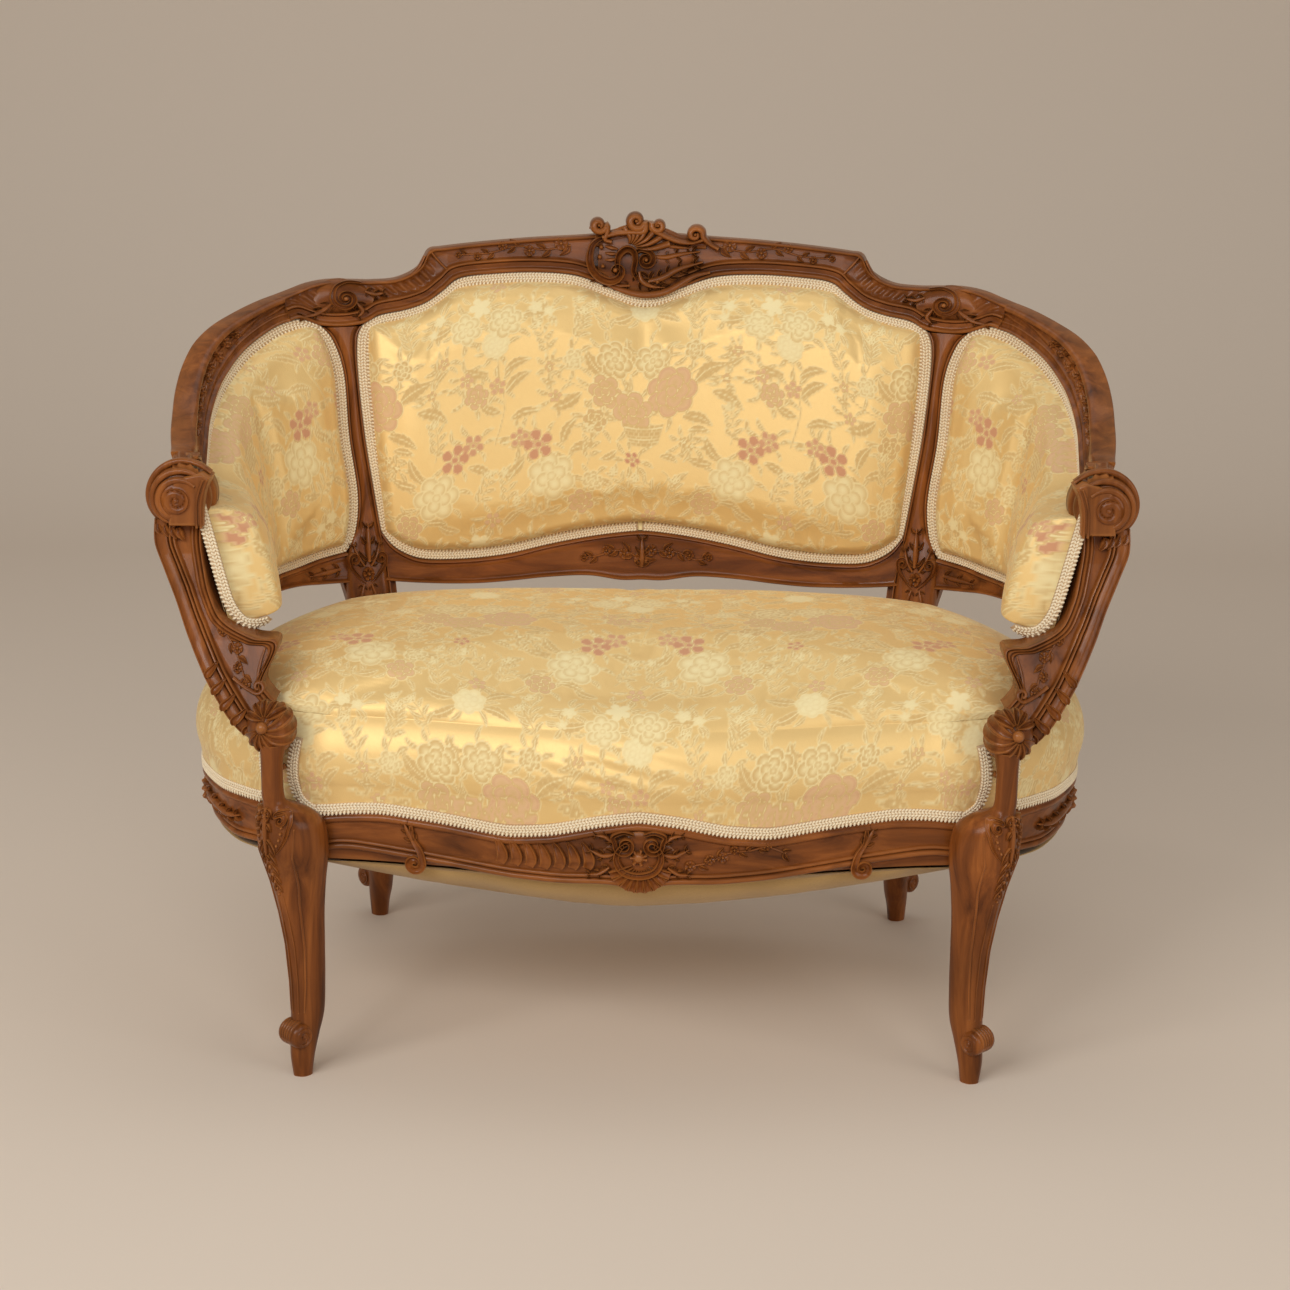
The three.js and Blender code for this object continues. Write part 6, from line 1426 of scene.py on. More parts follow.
def mixed(nodes, links, factor, dark, light):
    """A colour between two, by a socket or by a number."""
    blend = nodes.new("ShaderNodeMix")
    blend.data_type = "RGBA"
    for socket, value in (("Factor", factor), ("A", dark), ("B", light)):
        if hasattr(value, "links"):
            links.new(value, blend.inputs[socket])
        else:
            blend.inputs[socket].default_value = value
    return blend.outputs["Result"]


def brocade_finish():
    finish, nodes, links, shader = cloth_finish("gold_brocade")
    figure = nodes.new("ShaderNodeAttribute")
    figure.attribute_name = "figure"
    part = nodes.new("ShaderNodeSeparateColor")
    links.new(figure.outputs["Color"], part.inputs["Color"])
    cloth = nodes.new("ShaderNodeUVMap")
    cloth.uv_map = "cloth"
    silk = nodes.new("ShaderNodeValToRGB")
    tones = silk.color_ramp.elements
    tones[0].color = (0.90, 0.76, 0.42, 1)
    tones[1].color = (0.62, 0.29, 0.155, 1)
    for place, colour in ((0.12, (0.86, 0.70, 0.36, 1)), (0.36, (0.69, 0.465, 0.185, 1)),
        (0.70, (0.76, 0.49, 0.26, 1))):
        tones.new(place).color = colour
    links.new(part.outputs["Green"], silk.inputs["Fac"])
    # faint broad wear and slubs across the satin
    worn = nodes.new("ShaderNodeTexNoise")
    worn.inputs["Scale"].default_value = 14
    worn.inputs["Detail"].default_value = 4
    links.new(cloth.outputs["UV"], worn.inputs["Vector"])
    ground = mixed(nodes, links, worn.outputs["Fac"], (0.84, 0.575, 0.225, 1), (0.90, 0.64, 0.275, 1))
    links.new(mixed(nodes, links, part.outputs["Red"], ground, silk.outputs["Color"]),
        shader.inputs["Base Color"])
    metal = nodes.new("ShaderNodeMapRange")
    metal.inputs["To Min"].default_value = 0.42
    metal.inputs["To Max"].default_value = 0.04
    links.new(part.outputs["Red"], metal.inputs["Value"])
    links.new(metal.outputs["Result"], shader.inputs["Metallic"])
    rough = nodes.new("ShaderNodeMapRange")
    rough.inputs["To Min"].default_value = 0.50
    rough.inputs["To Max"].default_value = 0.78
    links.new(part.outputs["Red"], rough.inputs["Value"])
    links.new(rough.outputs["Result"], shader.inputs["Roughness"])
    shader.inputs["Sheen Weight"].default_value = 0.25
    shader.inputs["Sheen Roughness"].default_value = 0.4
    shader.inputs["Sheen Tint"].default_value = (1, 0.9, 0.66, 1)
    threads = nodes.new("ShaderNodeMapping")
    threads.inputs["Scale"].default_value = (1500, 260, 1)
    links.new(cloth.outputs["UV"], threads.inputs["Vector"])
    weft = nodes.new("ShaderNodeTexNoise")
    weft.inputs["Scale"].default_value = 1.0
    weft.inputs["Detail"].default_value = 2
    links.new(threads.outputs["Vector"], weft.inputs["Vector"])
    raised = nodes.new("ShaderNodeMath")
    raised.operation = "MULTIPLY_ADD"
    raised.inputs[1].default_value = 1.4
    links.new(part.outputs["Red"], raised.inputs[0])
    links.new(weft.outputs["Fac"], raised.inputs[2])
    bump = nodes.new("ShaderNodeBump")
    bump.inputs["Strength"].default_value = 0.35
    bump.inputs["Distance"].default_value = 0.0005
    links.new(raised.outputs["Value"], bump.inputs["Height"])
    links.new(bump.outputs["Normal"], shader.inputs["Normal"])
    return finish


brocade = brocade_finish()


def patch(edges, u, v):
    """A grid of flat places between four edges that share their corners: rows follow v."""
    bottom, top, left, right = edges
    low, high, near, far = through(bottom, u), through(top, u), through(left, v), through(right, v)
    u, v = u[None, :, None], v[:, None, None]
    flat = low * (1 - v) + high * v + near[:, None] * (1 - u) + far[:, None] * u
    flat = flat - low[0] * (1 - u) * (1 - v) - low[-1] * u * (1 - v)
    return flat - high[0] * (1 - u) * v - high[-1] * u * v


def rim_of(grid):
    """The rim of a grid as a closed run, anticlockwise."""
    return np.concatenate([grid[0, :-1], grid[:-1, -1], grid[-1, :0:-1], grid[:0:-1, 0]])


def rim_normal(rim):
    """Inward directions along a closed flat run."""
    along = np.roll(rim, -1, 0) - np.roll(rim, 1, 0)
    along /= np.linalg.norm(along, axis=1)[:, None] + 1e-9
    return np.stack([-along[:, 1], along[:, 0]], 1)


def quilt(top, rings, under):
    """A closed body: a fine grid on top, fine rings down its side, and a coarse grid beneath."""
    rows, columns = top.shape[:2]
    number = np.arange(rows * columns).reshape(rows, columns)
    quads = [np.stack([number[:-1, :-1], number[:-1, 1:], number[1:, 1:], number[1:, :-1]], -1).reshape(-1,
        4)]
    last, verts, base = rim_of(number), [top.reshape(-1, 3)], rows * columns
    for ring in rings:
        here = base + np.arange(len(last))
        quads.append(np.stack([here, np.roll(here, -1), np.roll(last, -1), last], -1))
        verts.append(ring)
        base += len(ring)
        last = here
    low_rows, low_columns = under.shape[:2]
    low = base + np.arange(low_rows * low_columns).reshape(low_rows, low_columns)
    quads.append(np.stack([low[:-1, :-1], low[1:, :-1], low[1:, 1:], low[:-1, 1:]], -1).reshape(-1, 4))
    verts.append(under.reshape(-1, 3))
    coarse = rim_of(low)
    step = len(last) // len(coarse)
    at = np.arange(len(last))
    held = coarse[((at + step // 2) // step) % len(coarse)]
    tris = [np.stack([np.roll(last, -1), last, held], -1)]
    joint = (step * np.arange(len(coarse)) + step - step // 2) % len(last)
    tris.append(np.stack([last[joint], coarse, np.roll(coarse, -1)], -1))
    return np.concatenate(verts), np.concatenate(quads), np.concatenate(tris)


def fill_out(start, cap, slack=0.003, pressure=0.9):
    """Cloth held at its rim over the stuffing and blown up a little: how far each point moves."""
    rows, columns = start.shape[:2]
    number = np.arange(rows * columns).reshape(rows, columns)
    mesh = bpy.data.meshes.new("filling")
    faces = np.stack([number[:-1, :-1], number[:-1, 1:], number[1:, 1:], number[1:, :-1]], -1).reshape(-1,
        4)
    mesh.from_pydata((start.reshape(-1, 3) / 1000).tolist(), [], faces.tolist())
    filled = bpy.data.objects.new("filling", mesh)
    bpy.context.collection.objects.link(filled)
    held = filled.vertex_groups.new(name="tacked_rim")
    held.add(rim_of(number).tolist(), 1.0, "REPLACE")
    cloth = filled.modifiers.new("filling", "CLOTH")
    cloth.settings.quality = 6
    cloth.settings.mass = 0.3
    cloth.settings.tension_stiffness = 15
    cloth.settings.compression_stiffness = 15
    cloth.settings.shear_stiffness = 8
    cloth.settings.bending_stiffness = 1.5
    cloth.settings.use_pressure = True
    cloth.settings.uniform_pressure_force = pressure
    cloth.settings.shrink_min = -slack
    cloth.settings.vertex_group_mass = held.name
    cloth.settings.effector_weights.gravity = 0
    cloth.point_cache.frame_start, cloth.point_cache.frame_end = 1, 20
    for moment in range(1, 21):
        scene.frame_set(moment)
    settled = filled.evaluated_get(bpy.context.evaluated_depsgraph_get())
    spots = np.empty(rows * columns * 3, np.float32)
    settled.data.vertices.foreach_get("co", spots)
    bpy.data.objects.remove(filled)
    bpy.data.meshes.remove(mesh)
    scene.frame_set(1)
    moved = spots.reshape(start.shape) * 1000.0 - start
    reach = np.linalg.norm(moved, axis=-1, keepdims=True)
    # nothing moves under the gimp
    inward = [np.linalg.norm(start - start[:, k][:, None], axis=-1) for k in (0, -1)]
    inward += [np.linalg.norm(start - start[k][None], axis=-1) for k in (0, -1)]
    free = np.clip((np.minimum.reduce(inward)[..., None] - 17) / 50, 0, 1)
    return moved * np.minimum(1, cap / np.maximum(reach, 1e-6)) * free * free * (3 - 2 * free)


def finer(moved, rows, columns):
    """A coarse grid of movements, read smoothly at a finer grid."""
    wide = through(moved.reshape(len(moved), -1), np.linspace(0, 1, rows)).reshape(rows, -1, 3)
    tall = through(wide.transpose(1, 0, 2).reshape(wide.shape[1], -1), np.linspace(0, 1, columns))
    return tall.reshape(columns, rows, 3).transpose(1, 0, 2)


def cloth_piece(name, body, cloth, *nodes):
    """A brocade piece with its woven figure: cloth gives each point's place on the flat cloth."""
    made = build(name, [body], brocade, *nodes, slot="brocade", crease=None)
    figure = made.data.attributes.new("figure", "FLOAT_COLOR", "POINT")
    figure.data.foreach_set("color", brocade_figure(cloth).ravel())
    corner = np.empty(len(made.data.loops), np.int32)
    made.data.loops.foreach_get("vertex_index", corner)
    made.data.uv_layers.new(name="cloth").data.foreach_set("uv", (cloth[corner] / 1000).ravel())
    return made


# Back and side pads: horsehair under brocade, crowned, tacked in the rebate all round and trimmed
# with gimp. The side pads roll forward into a thick front edge beside the arm supports.
pad_foot, pad_top, cloth_gap = 5.0, 13.0, 0.5
hump = lambda share, power: 1 - np.abs(2 * share - 1) ** power
opening_foot_both, opening_top_both = both_sides(opening_foot), both_sides(opening_top)
centre_edges = [on_sheet(e) for e in (opening_foot_both, opening_top_both,
    [(-run, rise) for run, rise in opening_side], opening_side)]
side_head = [(0.463, 0.743), (0.488, 0.765), *hoop_under[1:], (0.925, 0.430), (0.957, 0.418)]
side_front = [(0.972, 0.072), (0.974, 0.150), (0.970, 0.260), (0.963, 0.350), (0.957, 0.418)]
side_stile = [(0.458, 0.090), (0.441, 0.143), (0.432, 0.250), (0.438, 0.420), (0.438, 0.600),
    (0.449, 0.700), (0.463, 0.743)]
side_edges = [on_sheet(e) for e in (side_foot, side_head, side_stile, side_front)]


def centre_crown(u, v):
    return 36 * np.sqrt(hump(u, 3) * hump(v, 3))


def side_crown(u, v):
    front = np.clip((u - 0.35) / 0.57, 0, 1)
    front = front**2 * (3 - 2 * front)
    end = np.sqrt(np.maximum(0, 1 - np.abs(2 * u - 1) ** (4 + 8 * u)))
    belly = v ** (1 - 0.2 * front)
    return (30 + 32 * front) * end * np.sqrt(np.maximum(0, 1 - np.abs(2 * belly - 1) ** 3))


def back_pad(edges, crown, columns, rows, cap, cloth_shift):
    shares = np.linspace(0, 1, columns * 8 + 1), np.linspace(0, 1, rows * 8 + 1)

    def shape(u, v):
        flat = patch(edges, u, v)
        rim = rim_of(flat)
        inner = rim + rim_normal(rim) * 1.0
        flat[0], flat[:, -1] = inner[: len(u)], inner[len(u) - 1: len(u) + len(v) - 1]
        flat[-1] = inner[len(u) + len(v) - 2: 2 * len(u) + len(v) - 2][::-1]
        flat[1:, 0] = inner[2 * len(u) + len(v) - 3:][::-1]
        depth = [np.linalg.norm(flat - flat[:, k][:, None], axis=-1) for k in (0, -1)]
        depth += [np.linalg.norm(flat - flat[k][None], axis=-1) for k in (0, -1)]
        rise = np.clip((np.minimum.reduce(depth) - 12.2) / 15, 0, 1)
        level = pad_top + 0.3 + crown(u[None, :], v[:, None]) * np.sqrt(1 - (1 - rise) ** 2)
        return flat, level

    flat, level = shape(*shares)
    top = sheet(flat[..., 0], flat[..., 1], level)
    coarse = slice(None, None, 4)
    moved = fill_out(top[coarse, coarse], cap)
    top = top + finer(moved, *top.shape[:2])
    rim = rim_of(flat)
    ring = sheet(rim[:, 0], rim[:, 1], pad_foot + 0.0 * rim[:, 0])
    low = flat[::8, ::8]
    low = low + (flat.mean((0, 1)) - low) * 0.01
    under = sheet(low[..., 0], low[..., 1], pad_foot + 0.0 * low[..., 0])
    body = quilt(top, [ring], under)
    # the flat cloth: lengths along the swell, from the middle of the pad
    middle = len(top) // 2, len(top[0]) // 2
    across = np.linalg.norm(np.diff(top, axis=1, prepend=top[:, :1]), axis=-1).cumsum(1)
    upward = np.linalg.norm(np.diff(top, axis=0, prepend=top[:1]), axis=-1).cumsum(0)
    laid = np.stack([across - across[:, middle[1]][:, None], upward - upward[middle[0]][None]], -1)
    laid = laid + flat[middle[0], middle[1]]
    cloth = np.concatenate([laid.reshape(-1, 2), rim_of(laid), laid[::8, ::8].reshape(-1, 2)]) - cloth_shift
    return body, cloth


centre_body, centre_cloth = back_pad(centre_edges, centre_crown, 56, 28, 12, (0, 690))
cloth_piece("centre_back_pad_brocade", centre_body, centre_cloth, "centre_back_pad")
side_body, side_cloth = back_pad(side_edges, side_crown, 34, 22, 9, (612, 700))
cloth_piece("right_side_back_pad_brocade", side_body, side_cloth, "right_side_back_pad")
cloth_piece("left_side_back_pad_brocade", mirror([side_body])[0], side_cloth,
    "left_side_back_pad")


# Sprung seat: brocade over horsehair on nine springs. It swells well above the rails, rolls over at
# the front, and is tacked into the rails' rebate, with small pull folds above the front rail.
tacking_line, wall_top, seat_crown = 347.5, 421.0, 96.0
shoulder_line, shoulder_drop, shoulder_reach = 471.0, 24.0, 60.0
roll_blend, roll_start = 14.0, 26.0
front_top_at = lambda share: rail_top + rail_height * eased(front_top, np.abs(2 * share - 1))
side_top_at = lambda share: rail_top + rail_height * eased(side_top, share)
seat_edges = [
    np.concatenate([[side_plan[0] * (-1, 1)], front_plan[1:-1], side_plan[:1]]),
    np.concatenate([[side_plan[-1] * (-1, 1)], rear_plan[::-1], side_plan[-1:]]),
    side_plan * (-1, 1),
    side_plan,
]


def seat_rim_moved(flat, shift, u, v, reach_u, reach_v):
    """The plan with its rim moved in, the move dying away toward the middle."""
    fade_u, fade_v = (lambda t: np.clip(1 - t / reach_u, 0, 1) ** 1.5), (lambda t: np.clip(1 - t / reach_v,
        0, 1) ** 1.5)
    columns, rows = len(u) - 1, len(v) - 1
    front, right = shift[: columns + 1], shift[columns: columns + rows + 1]
    back = shift[columns + rows: 2 * columns + rows + 1][::-1]
    left = np.concatenate([shift[2 * columns + rows:], shift[:1]])[::-1]
    near_u, far_u = fade_u(u)[None, :, None], fade_u(1 - u)[None, :, None]
    near_v, far_v = fade_v(v)[:, None, None], fade_v(1 - v)[:, None, None]
    moved = front[None] * near_v + back[None] * far_v + left[:, None] * near_u + right[:, None] * far_u
    moved -= (front[0] * near_u * near_v + front[-1] * far_u * near_v
              + back[0] * near_u * far_v + back[-1] * far_u * far_v)
    return flat + moved


seat_wall = through([
    (18.3, 447.0), (10, 437.5), (2.5, 425), (-3, 411), (-5.8, 397), (-6.2, 384), (-4, 371), (0.4, 359.5),
        (3.5, 348),
], np.linspace(0, 1, 161))
seat_roll = through([
    (0, 447), (6, 453.2), (14, 460.2), (24, 467.6), (36, 475), (50, 482), (66, 489), (84, 496), (104, 506),
        (140, 530), (400, 700),
], np.linspace(0, 1, 401))
seat_u, seat_v = np.linspace(0, 1, 66 * 8 + 1), np.linspace(0, 1, 33 * 8 + 1)
seat_flat = patch(seat_edges, seat_u, seat_v)
seat_rim = rim_of(seat_flat)
seat_inward = rim_normal(seat_rim)


def seat_pad():
    u, v, flat, rim, inward = seat_u, seat_v, seat_flat, seat_rim, seat_inward
    plan = seat_rim_moved(flat, inward * 18.3, u, v, 0.09, 0.19)
    depth = [np.linalg.norm(plan - plan[:, k][:, None], axis=-1) for k in (0, -1)]
    depth += [np.linalg.norm(plan - plan[k][None], axis=-1) for k in (0, -1)]
    depth = np.minimum.reduce(depth)
    past = lambda t, reach: np.clip(1 - t / reach, 0, 1) ** 1.5
    across = (u + 0.0167 * (past(u, 0.09) - past(1 - u, 0.09)))[None, :]
    back = (v + 0.0386 * (past(v, 0.19) - past(1 - v, 0.19)))[:, None]
    swell = wall_top + seat_crown * (hump(across, 4) * hump(back, 2 + 2 * back)) ** 0.55
    roll = np.interp(depth, *seat_roll.T)
    gap = np.maximum(roll_blend - np.abs(swell - roll), 0) ** 2 / (4 * roll_blend)
    away = np.clip(depth / roll_start, 0, 1)
    away = away * away * (3 - 2 * away)
    # the cloth never drops below the shoulder that the edge roll holds up
    shoulder = shoulder_line - shoulder_drop * np.exp(-depth / shoulder_reach)
    body = np.maximum(np.minimum(swell, roll) - gap, np.minimum(roll, shoulder))
    height = roll + (body - roll) * away
    top = np.concatenate([plan, height[..., None]], -1) - (0, setback, 0)
    top = top + finer(fill_out(top[::4, ::4], 8), *top.shape[:2])
    # the wall down to the rail, point by point round the rim, with pull folds in front
    foot = np.concatenate([front_top_at(u[:-1]), side_top_at(v[:-1]), rail_top + 0 * u[:0:-1],
        side_top_at(v[:0:-1])]) + cloth_gap
    across = np.concatenate([u[:-1], 1 + 0 * v[:-1], u[:0:-1], 0 * v[:0:-1]])
    pull = np.exp(-((across - 0.46) / 0.10) ** 2) * (np.arange(len(rim)) < len(u))
    rings, walls, dropped = [], [], np.zeros(len(rim))
    edge = rim_of(np.stack([plan[..., 0], np.concatenate([np.zeros((1, len(u))), np.linalg.norm(
        np.diff(top[..., 1:], axis=0), axis=-1)]).cumsum(0)], -1))
    last = np.concatenate([rim + inward * 18.3, np.full((len(rim), 1), seat_wall[0, 1])], 1)
    for spot in np.linspace(0, 1, 49)[1:]:
        inset, level = through(seat_wall, [spot])[0]
        low = np.clip((spot - 0.8) / 0.2, 0, 1)
        level = level + (foot - level) * low
        fold = 1.5 * pull * np.sin((across * 700 + level * 3.4) / 12) * math.sin(math.pi * min(1,
            spot / 0.92)) ** 2
        ring = np.concatenate([rim + inward * (inset - fold)[:, None], level[:, None]], 1)
        dropped = dropped + np.linalg.norm(ring - last, axis=1)
        last = ring
        rings.append(ring - (0, setback, 0))
        walls.append(edge - inward * dropped[:, None])
    rings.append(np.concatenate([rim + inward * 16, np.full((len(rim), 1), tacking_line + 2.3)], 1) - (0,
        setback, 0))
    walls.append(walls[-1])
    low = seat_rim_moved(flat[::8, ::8], (inward * 24)[::8], u[::8], v[::8], 0.09, 0.19)
    spring_rise = 352 + 68 * np.minimum(1, 3 * hump(u[None, ::8], 2) * hump(v[::8, None], 2)) + 2.3
    under = np.concatenate([low, spring_rise[..., None]], -1) - (0, setback, 0)
    run = np.concatenate([np.zeros((1, len(u))), np.linalg.norm(np.diff(top[..., 1:], axis=0),
        axis=-1)]).cumsum(0)
    cloth = np.concatenate([np.stack([plan[..., 0], run], -1).reshape(-1, 2), *walls, low.reshape(-1, 2)])
    return quilt(top, rings, under), cloth - (200, 175)


seat_body, seat_cloth = seat_pad()
cloth_piece("seat_brocade", seat_body, seat_cloth, "seat_cover", "seat_stuffing")


# Gimp: a cream silk braid, 14 mm wide, glued over the tacks. Three rows of slanting stitches and a
# row of loops along its free edge stand on a tape whose dark brown is painted shade between the stitches.
# Its ends meet under the back.
def plain_cloth(name, dark, light, scale, rough=0.85, bump_height=0.0004):
    """A matte woven cloth or fibre, by a fine check and a broad stain."""
    finish, nodes, links, shader = cloth_finish(name)
    place = nodes.new("ShaderNodeTexCoord")
    thread = nodes.new("ShaderNodeTexNoise")
    thread.inputs["Scale"].default_value = scale
    thread.inputs["Detail"].default_value = 5
    links.new(place.outputs["Object"], thread.inputs["Vector"])
    broad = nodes.new("ShaderNodeTexNoise")
    broad.inputs["Scale"].default_value = 11
    links.new(place.outputs["Object"], broad.inputs["Vector"])
    both = nodes.new("ShaderNodeMath")
    both.operation = "MULTIPLY_ADD"
    both.inputs[1].default_value = 0.6
    links.new(broad.outputs["Fac"], both.inputs[0])
    half = nodes.new("ShaderNodeMath")
    half.operation = "MULTIPLY"
    half.inputs[1].default_value = 0.45
    links.new(thread.outputs["Fac"], half.inputs[0])
    links.new(half.outputs["Value"], both.inputs[2])
    links.new(mixed(nodes, links, both.outputs["Value"], dark, light), shader.inputs["Base Color"])
    shader.inputs["Roughness"].default_value = rough
    bump = nodes.new("ShaderNodeBump")
    bump.inputs["Strength"].default_value = 0.6
    bump.inputs["Distance"].default_value = bump_height
    links.new(thread.outputs["Fac"], bump.inputs["Height"])
    links.new(bump.outputs["Normal"], shader.inputs["Normal"])
    return finish


gimp_silk = plain_cloth("gimp_silk", (0.78, 0.62, 0.40, 1), (0.93, 0.83, 0.63, 1), 900)
# the tape's dark brown, seen between the cream stitches, is painted shade
gimp_tape_painted_shade = plain_cloth("gimp_tape_painted_shade", (0.38, 0.22, 0.11, 1), (0.66, 0.48, 0.29, 1), 700)


def stitch_nodes():
    """Stitches on the marked points of a tape, turned as the points say."""
    tree = bpy.data.node_groups.new("gimp_stitches", "GeometryNodeTree")
    tree.interface.new_socket("Tape", in_out="INPUT", socket_type="NodeSocketGeometry")
    size = tree.interface.new_socket("Stitch size", in_out="INPUT", socket_type="NodeSocketVector")
    tree.interface.new_socket("Tape", in_out="OUTPUT", socket_type="NodeSocketGeometry")
    nodes, links = tree.nodes, tree.links
    given, result = nodes.new("NodeGroupInput"), nodes.new("NodeGroupOutput")
    marked = nodes.new("GeometryNodeInputNamedAttribute")
    marked.data_type = "BOOLEAN"
    marked.inputs["Name"].default_value = "stitched"
    apart = nodes.new("GeometryNodeSeparateGeometry")
    links.new(given.outputs["Tape"], apart.inputs["Geometry"])
    links.new(marked.outputs["Attribute"], apart.inputs["Selection"])
    turned = nodes.new("GeometryNodeInputNamedAttribute")
    turned.data_type = "QUATERNION"
    turned.inputs["Name"].default_value = "turned"
    length = nodes.new("GeometryNodeInputNamedAttribute")
    length.data_type = "FLOAT"
    length.inputs["Name"].default_value = "stitch_share"
    bead = nodes.new("GeometryNodeMeshUVSphere")
    bead.inputs["Segments"].default_value = 6
    bead.inputs["Rings"].default_value = 4
    bead.inputs["Radius"].default_value = 1.0
    scaled = nodes.new("ShaderNodeVectorMath")
    scaled.operation = "SCALE"
    links.new(given.outputs["Stitch size"], scaled.inputs["Vector"])
    links.new(length.outputs["Attribute"], scaled.inputs["Scale"])
    spread = nodes.new("GeometryNodeInstanceOnPoints")
    links.new(apart.outputs["Selection"], spread.inputs["Points"])
    links.new(bead.outputs["Mesh"], spread.inputs["Instance"])
    links.new(turned.outputs["Attribute"], spread.inputs["Rotation"])
    links.new(scaled.outputs["Vector"], spread.inputs["Scale"])
    real = nodes.new("GeometryNodeRealizeInstances")
    links.new(spread.outputs["Instances"], real.inputs["Geometry"])
    dyed = nodes.new("GeometryNodeSetMaterial")
    dyed.inputs["Material"].default_value = gimp_silk
    links.new(real.outputs["Geometry"], dyed.inputs["Geometry"])
    smooth = nodes.new("GeometryNodeSetShadeSmooth")
    links.new(dyed.outputs["Geometry"], smooth.inputs["Geometry"])
    joined = nodes.new("GeometryNodeJoinGeometry")
    links.new(apart.outputs["Inverted"], joined.inputs["Geometry"])
    links.new(smooth.outputs["Geometry"], joined.inputs["Geometry"])
    links.new(joined.outputs["Geometry"], result.inputs["Tape"])
    return tree, size.identifier


stitches, stitch_size = stitch_nodes()


def turns_of(axes):
    """Quaternions of right-handed frames whose columns are the axes."""
    found = [Matrix(frame_axes.tolist()).to_quaternion() for frame_axes in axes]
    return np.array([tuple(q) for q in found], np.float32)


def sewn_rows(place, path, ground, half, rise):
    """Places, frames and sizes of the stitches along one stretch of braid."""
    length = np.linalg.norm(np.diff(path, axis=0), axis=1).sum()
    found = []
    for across, pitch, slant, share in ((-4.6, 4.0, 0.58, 1.0), (-1.4, 4.0, -0.58, 1.0),
        (1.8, 4.0, 0.58, 1.0), (5.4, 4.8, 1.35, 1.1)):
        at = np.linspace(0, 1, int(length / pitch))[1:-1]
        way = through(path, np.minimum(at + 0.001, 1)) - through(path, np.maximum(at - 0.001, 0))
        way /= np.linalg.norm(way, axis=1)[:, None]
        aside = np.stack([-way[:, 1], way[:, 0]], 1)
        flat = through(path, at) + aside * across
        level = np.full(len(flat), ground + rise * (1 - 0.35 * (across / half) ** 2))
        ahead = flat + (way * math.cos(slant) + aside * math.sin(slant)) * 0.5
        spot, tip, up = (place(*flat.T, level), place(*ahead.T, level), place(*flat.T, level + 0.5))
        x = tip - spot
        x /= np.linalg.norm(x, axis=1)[:, None]
        z = up - spot
        z -= x * np.einsum("ij,ij->i", x, z)[:, None]
        z /= np.linalg.norm(z, axis=1)[:, None]
        found.append((spot, x, z, np.full(len(spot), share)))
    return [np.concatenate(part) for part in zip(*found)]


def evenly(path, spacing=3.0):
    """The same run of points, at even distances."""
    path = np.asarray(path, float)
    fine = through(path, np.linspace(0, 1, 8 * len(path)))
    run = np.concatenate([[0], np.linalg.norm(np.diff(fine, axis=0), axis=1).cumsum()])
    even = np.linspace(0, run[-1], int(run[-1] / spacing) + 2)
    return np.stack([np.interp(even, run, fine[:, k]) for k in (0, 1)], 1)


def gimp(name, stretches, node, mirrored=False, half=6.9, rise=2.0):
    """A braid in one or more stretches, each a surface, a flat path on it and a level."""
    flip = np.array((-1, 1, 1) if mirrored else (1, 1, 1))
    low_dome = ((-1, 0), (-0.9, 0.6), (-0.4, 0.9), (0, 1), (0.4, 0.9), (0.9, 0.6), (1, 0))
    tapes, rows = [], []
    for place, path, ground in stretches:
        path = evenly(path)
        length = np.linalg.norm(np.diff(path, axis=0), axis=1).sum()
        tapes.append(strip(place, path, half, rise, low_dome, ground, foot=0.5, stations=int(length / 4)))
        rows.append(sewn_rows(place, path, ground, half, rise))
    spots, x, z, sizes = (np.concatenate(part) for part in zip(*rows))
    spots, x, z = spots * flip, x * flip, z * flip
    axes = np.stack([x, np.cross(z, x), z], -1)
    made = skin(name, mirror(tapes) if mirrored else tapes, gimp_tape_painted_shade, crease=None)
    mesh, taped = made.data, len(made.data.vertices)
    mesh.vertices.add(len(spots))
    everywhere = np.empty(len(mesh.vertices) * 3, np.float32)
    mesh.vertices.foreach_get("co", everywhere)
    everywhere[taped * 3:] = (spots / 1000).ravel()
    mesh.vertices.foreach_set("co", everywhere)
    mesh.attributes.new("stitched", "BOOLEAN", "POINT").data.foreach_set("value",
        np.arange(len(mesh.vertices)) >= taped)
    turned = np.concatenate([np.tile([1, 0, 0, 0], (taped, 1)), turns_of(axes)]).astype(np.float32)
    mesh.attributes.new("turned", "QUATERNION", "POINT").data.foreach_set("value", turned.ravel())
    share = np.concatenate([np.ones(taped), sizes]).astype(np.float32)
    mesh.attributes.new("stitch_share", "FLOAT", "POINT").data.foreach_set("value", share)
    mesh.update()
    sewn = made.modifiers.new("stitches", "NODES")
    sewn.node_group = stitches
    sewn[stitch_size] = (0.0029, 0.0015, 0.0012)
    finished = bpy.data.meshes.new_from_object(made.evaluated_get(bpy.context.evaluated_depsgraph_get()))
    made.modifiers.remove(sewn)
    made.data = finished
    finished.name = name
    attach(made, "root")
    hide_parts(node)
    return made


def pad_gimp_path(edges, inset=6.8):
    """The middle of the gimp round a pad, with its ends meeting at the middle of the foot."""
    rim = rim_of(patch(edges, np.linspace(0, 1, 193), np.linspace(0, 1, 97)))
    line = rim + rim_normal(rim) * inset
    for _ in range(10):
        line = (np.roll(line, 1, 0) + 2 * line + np.roll(line, -1, 0)) / 4
    line = np.roll(line, -96, 0)
    return line[::2]


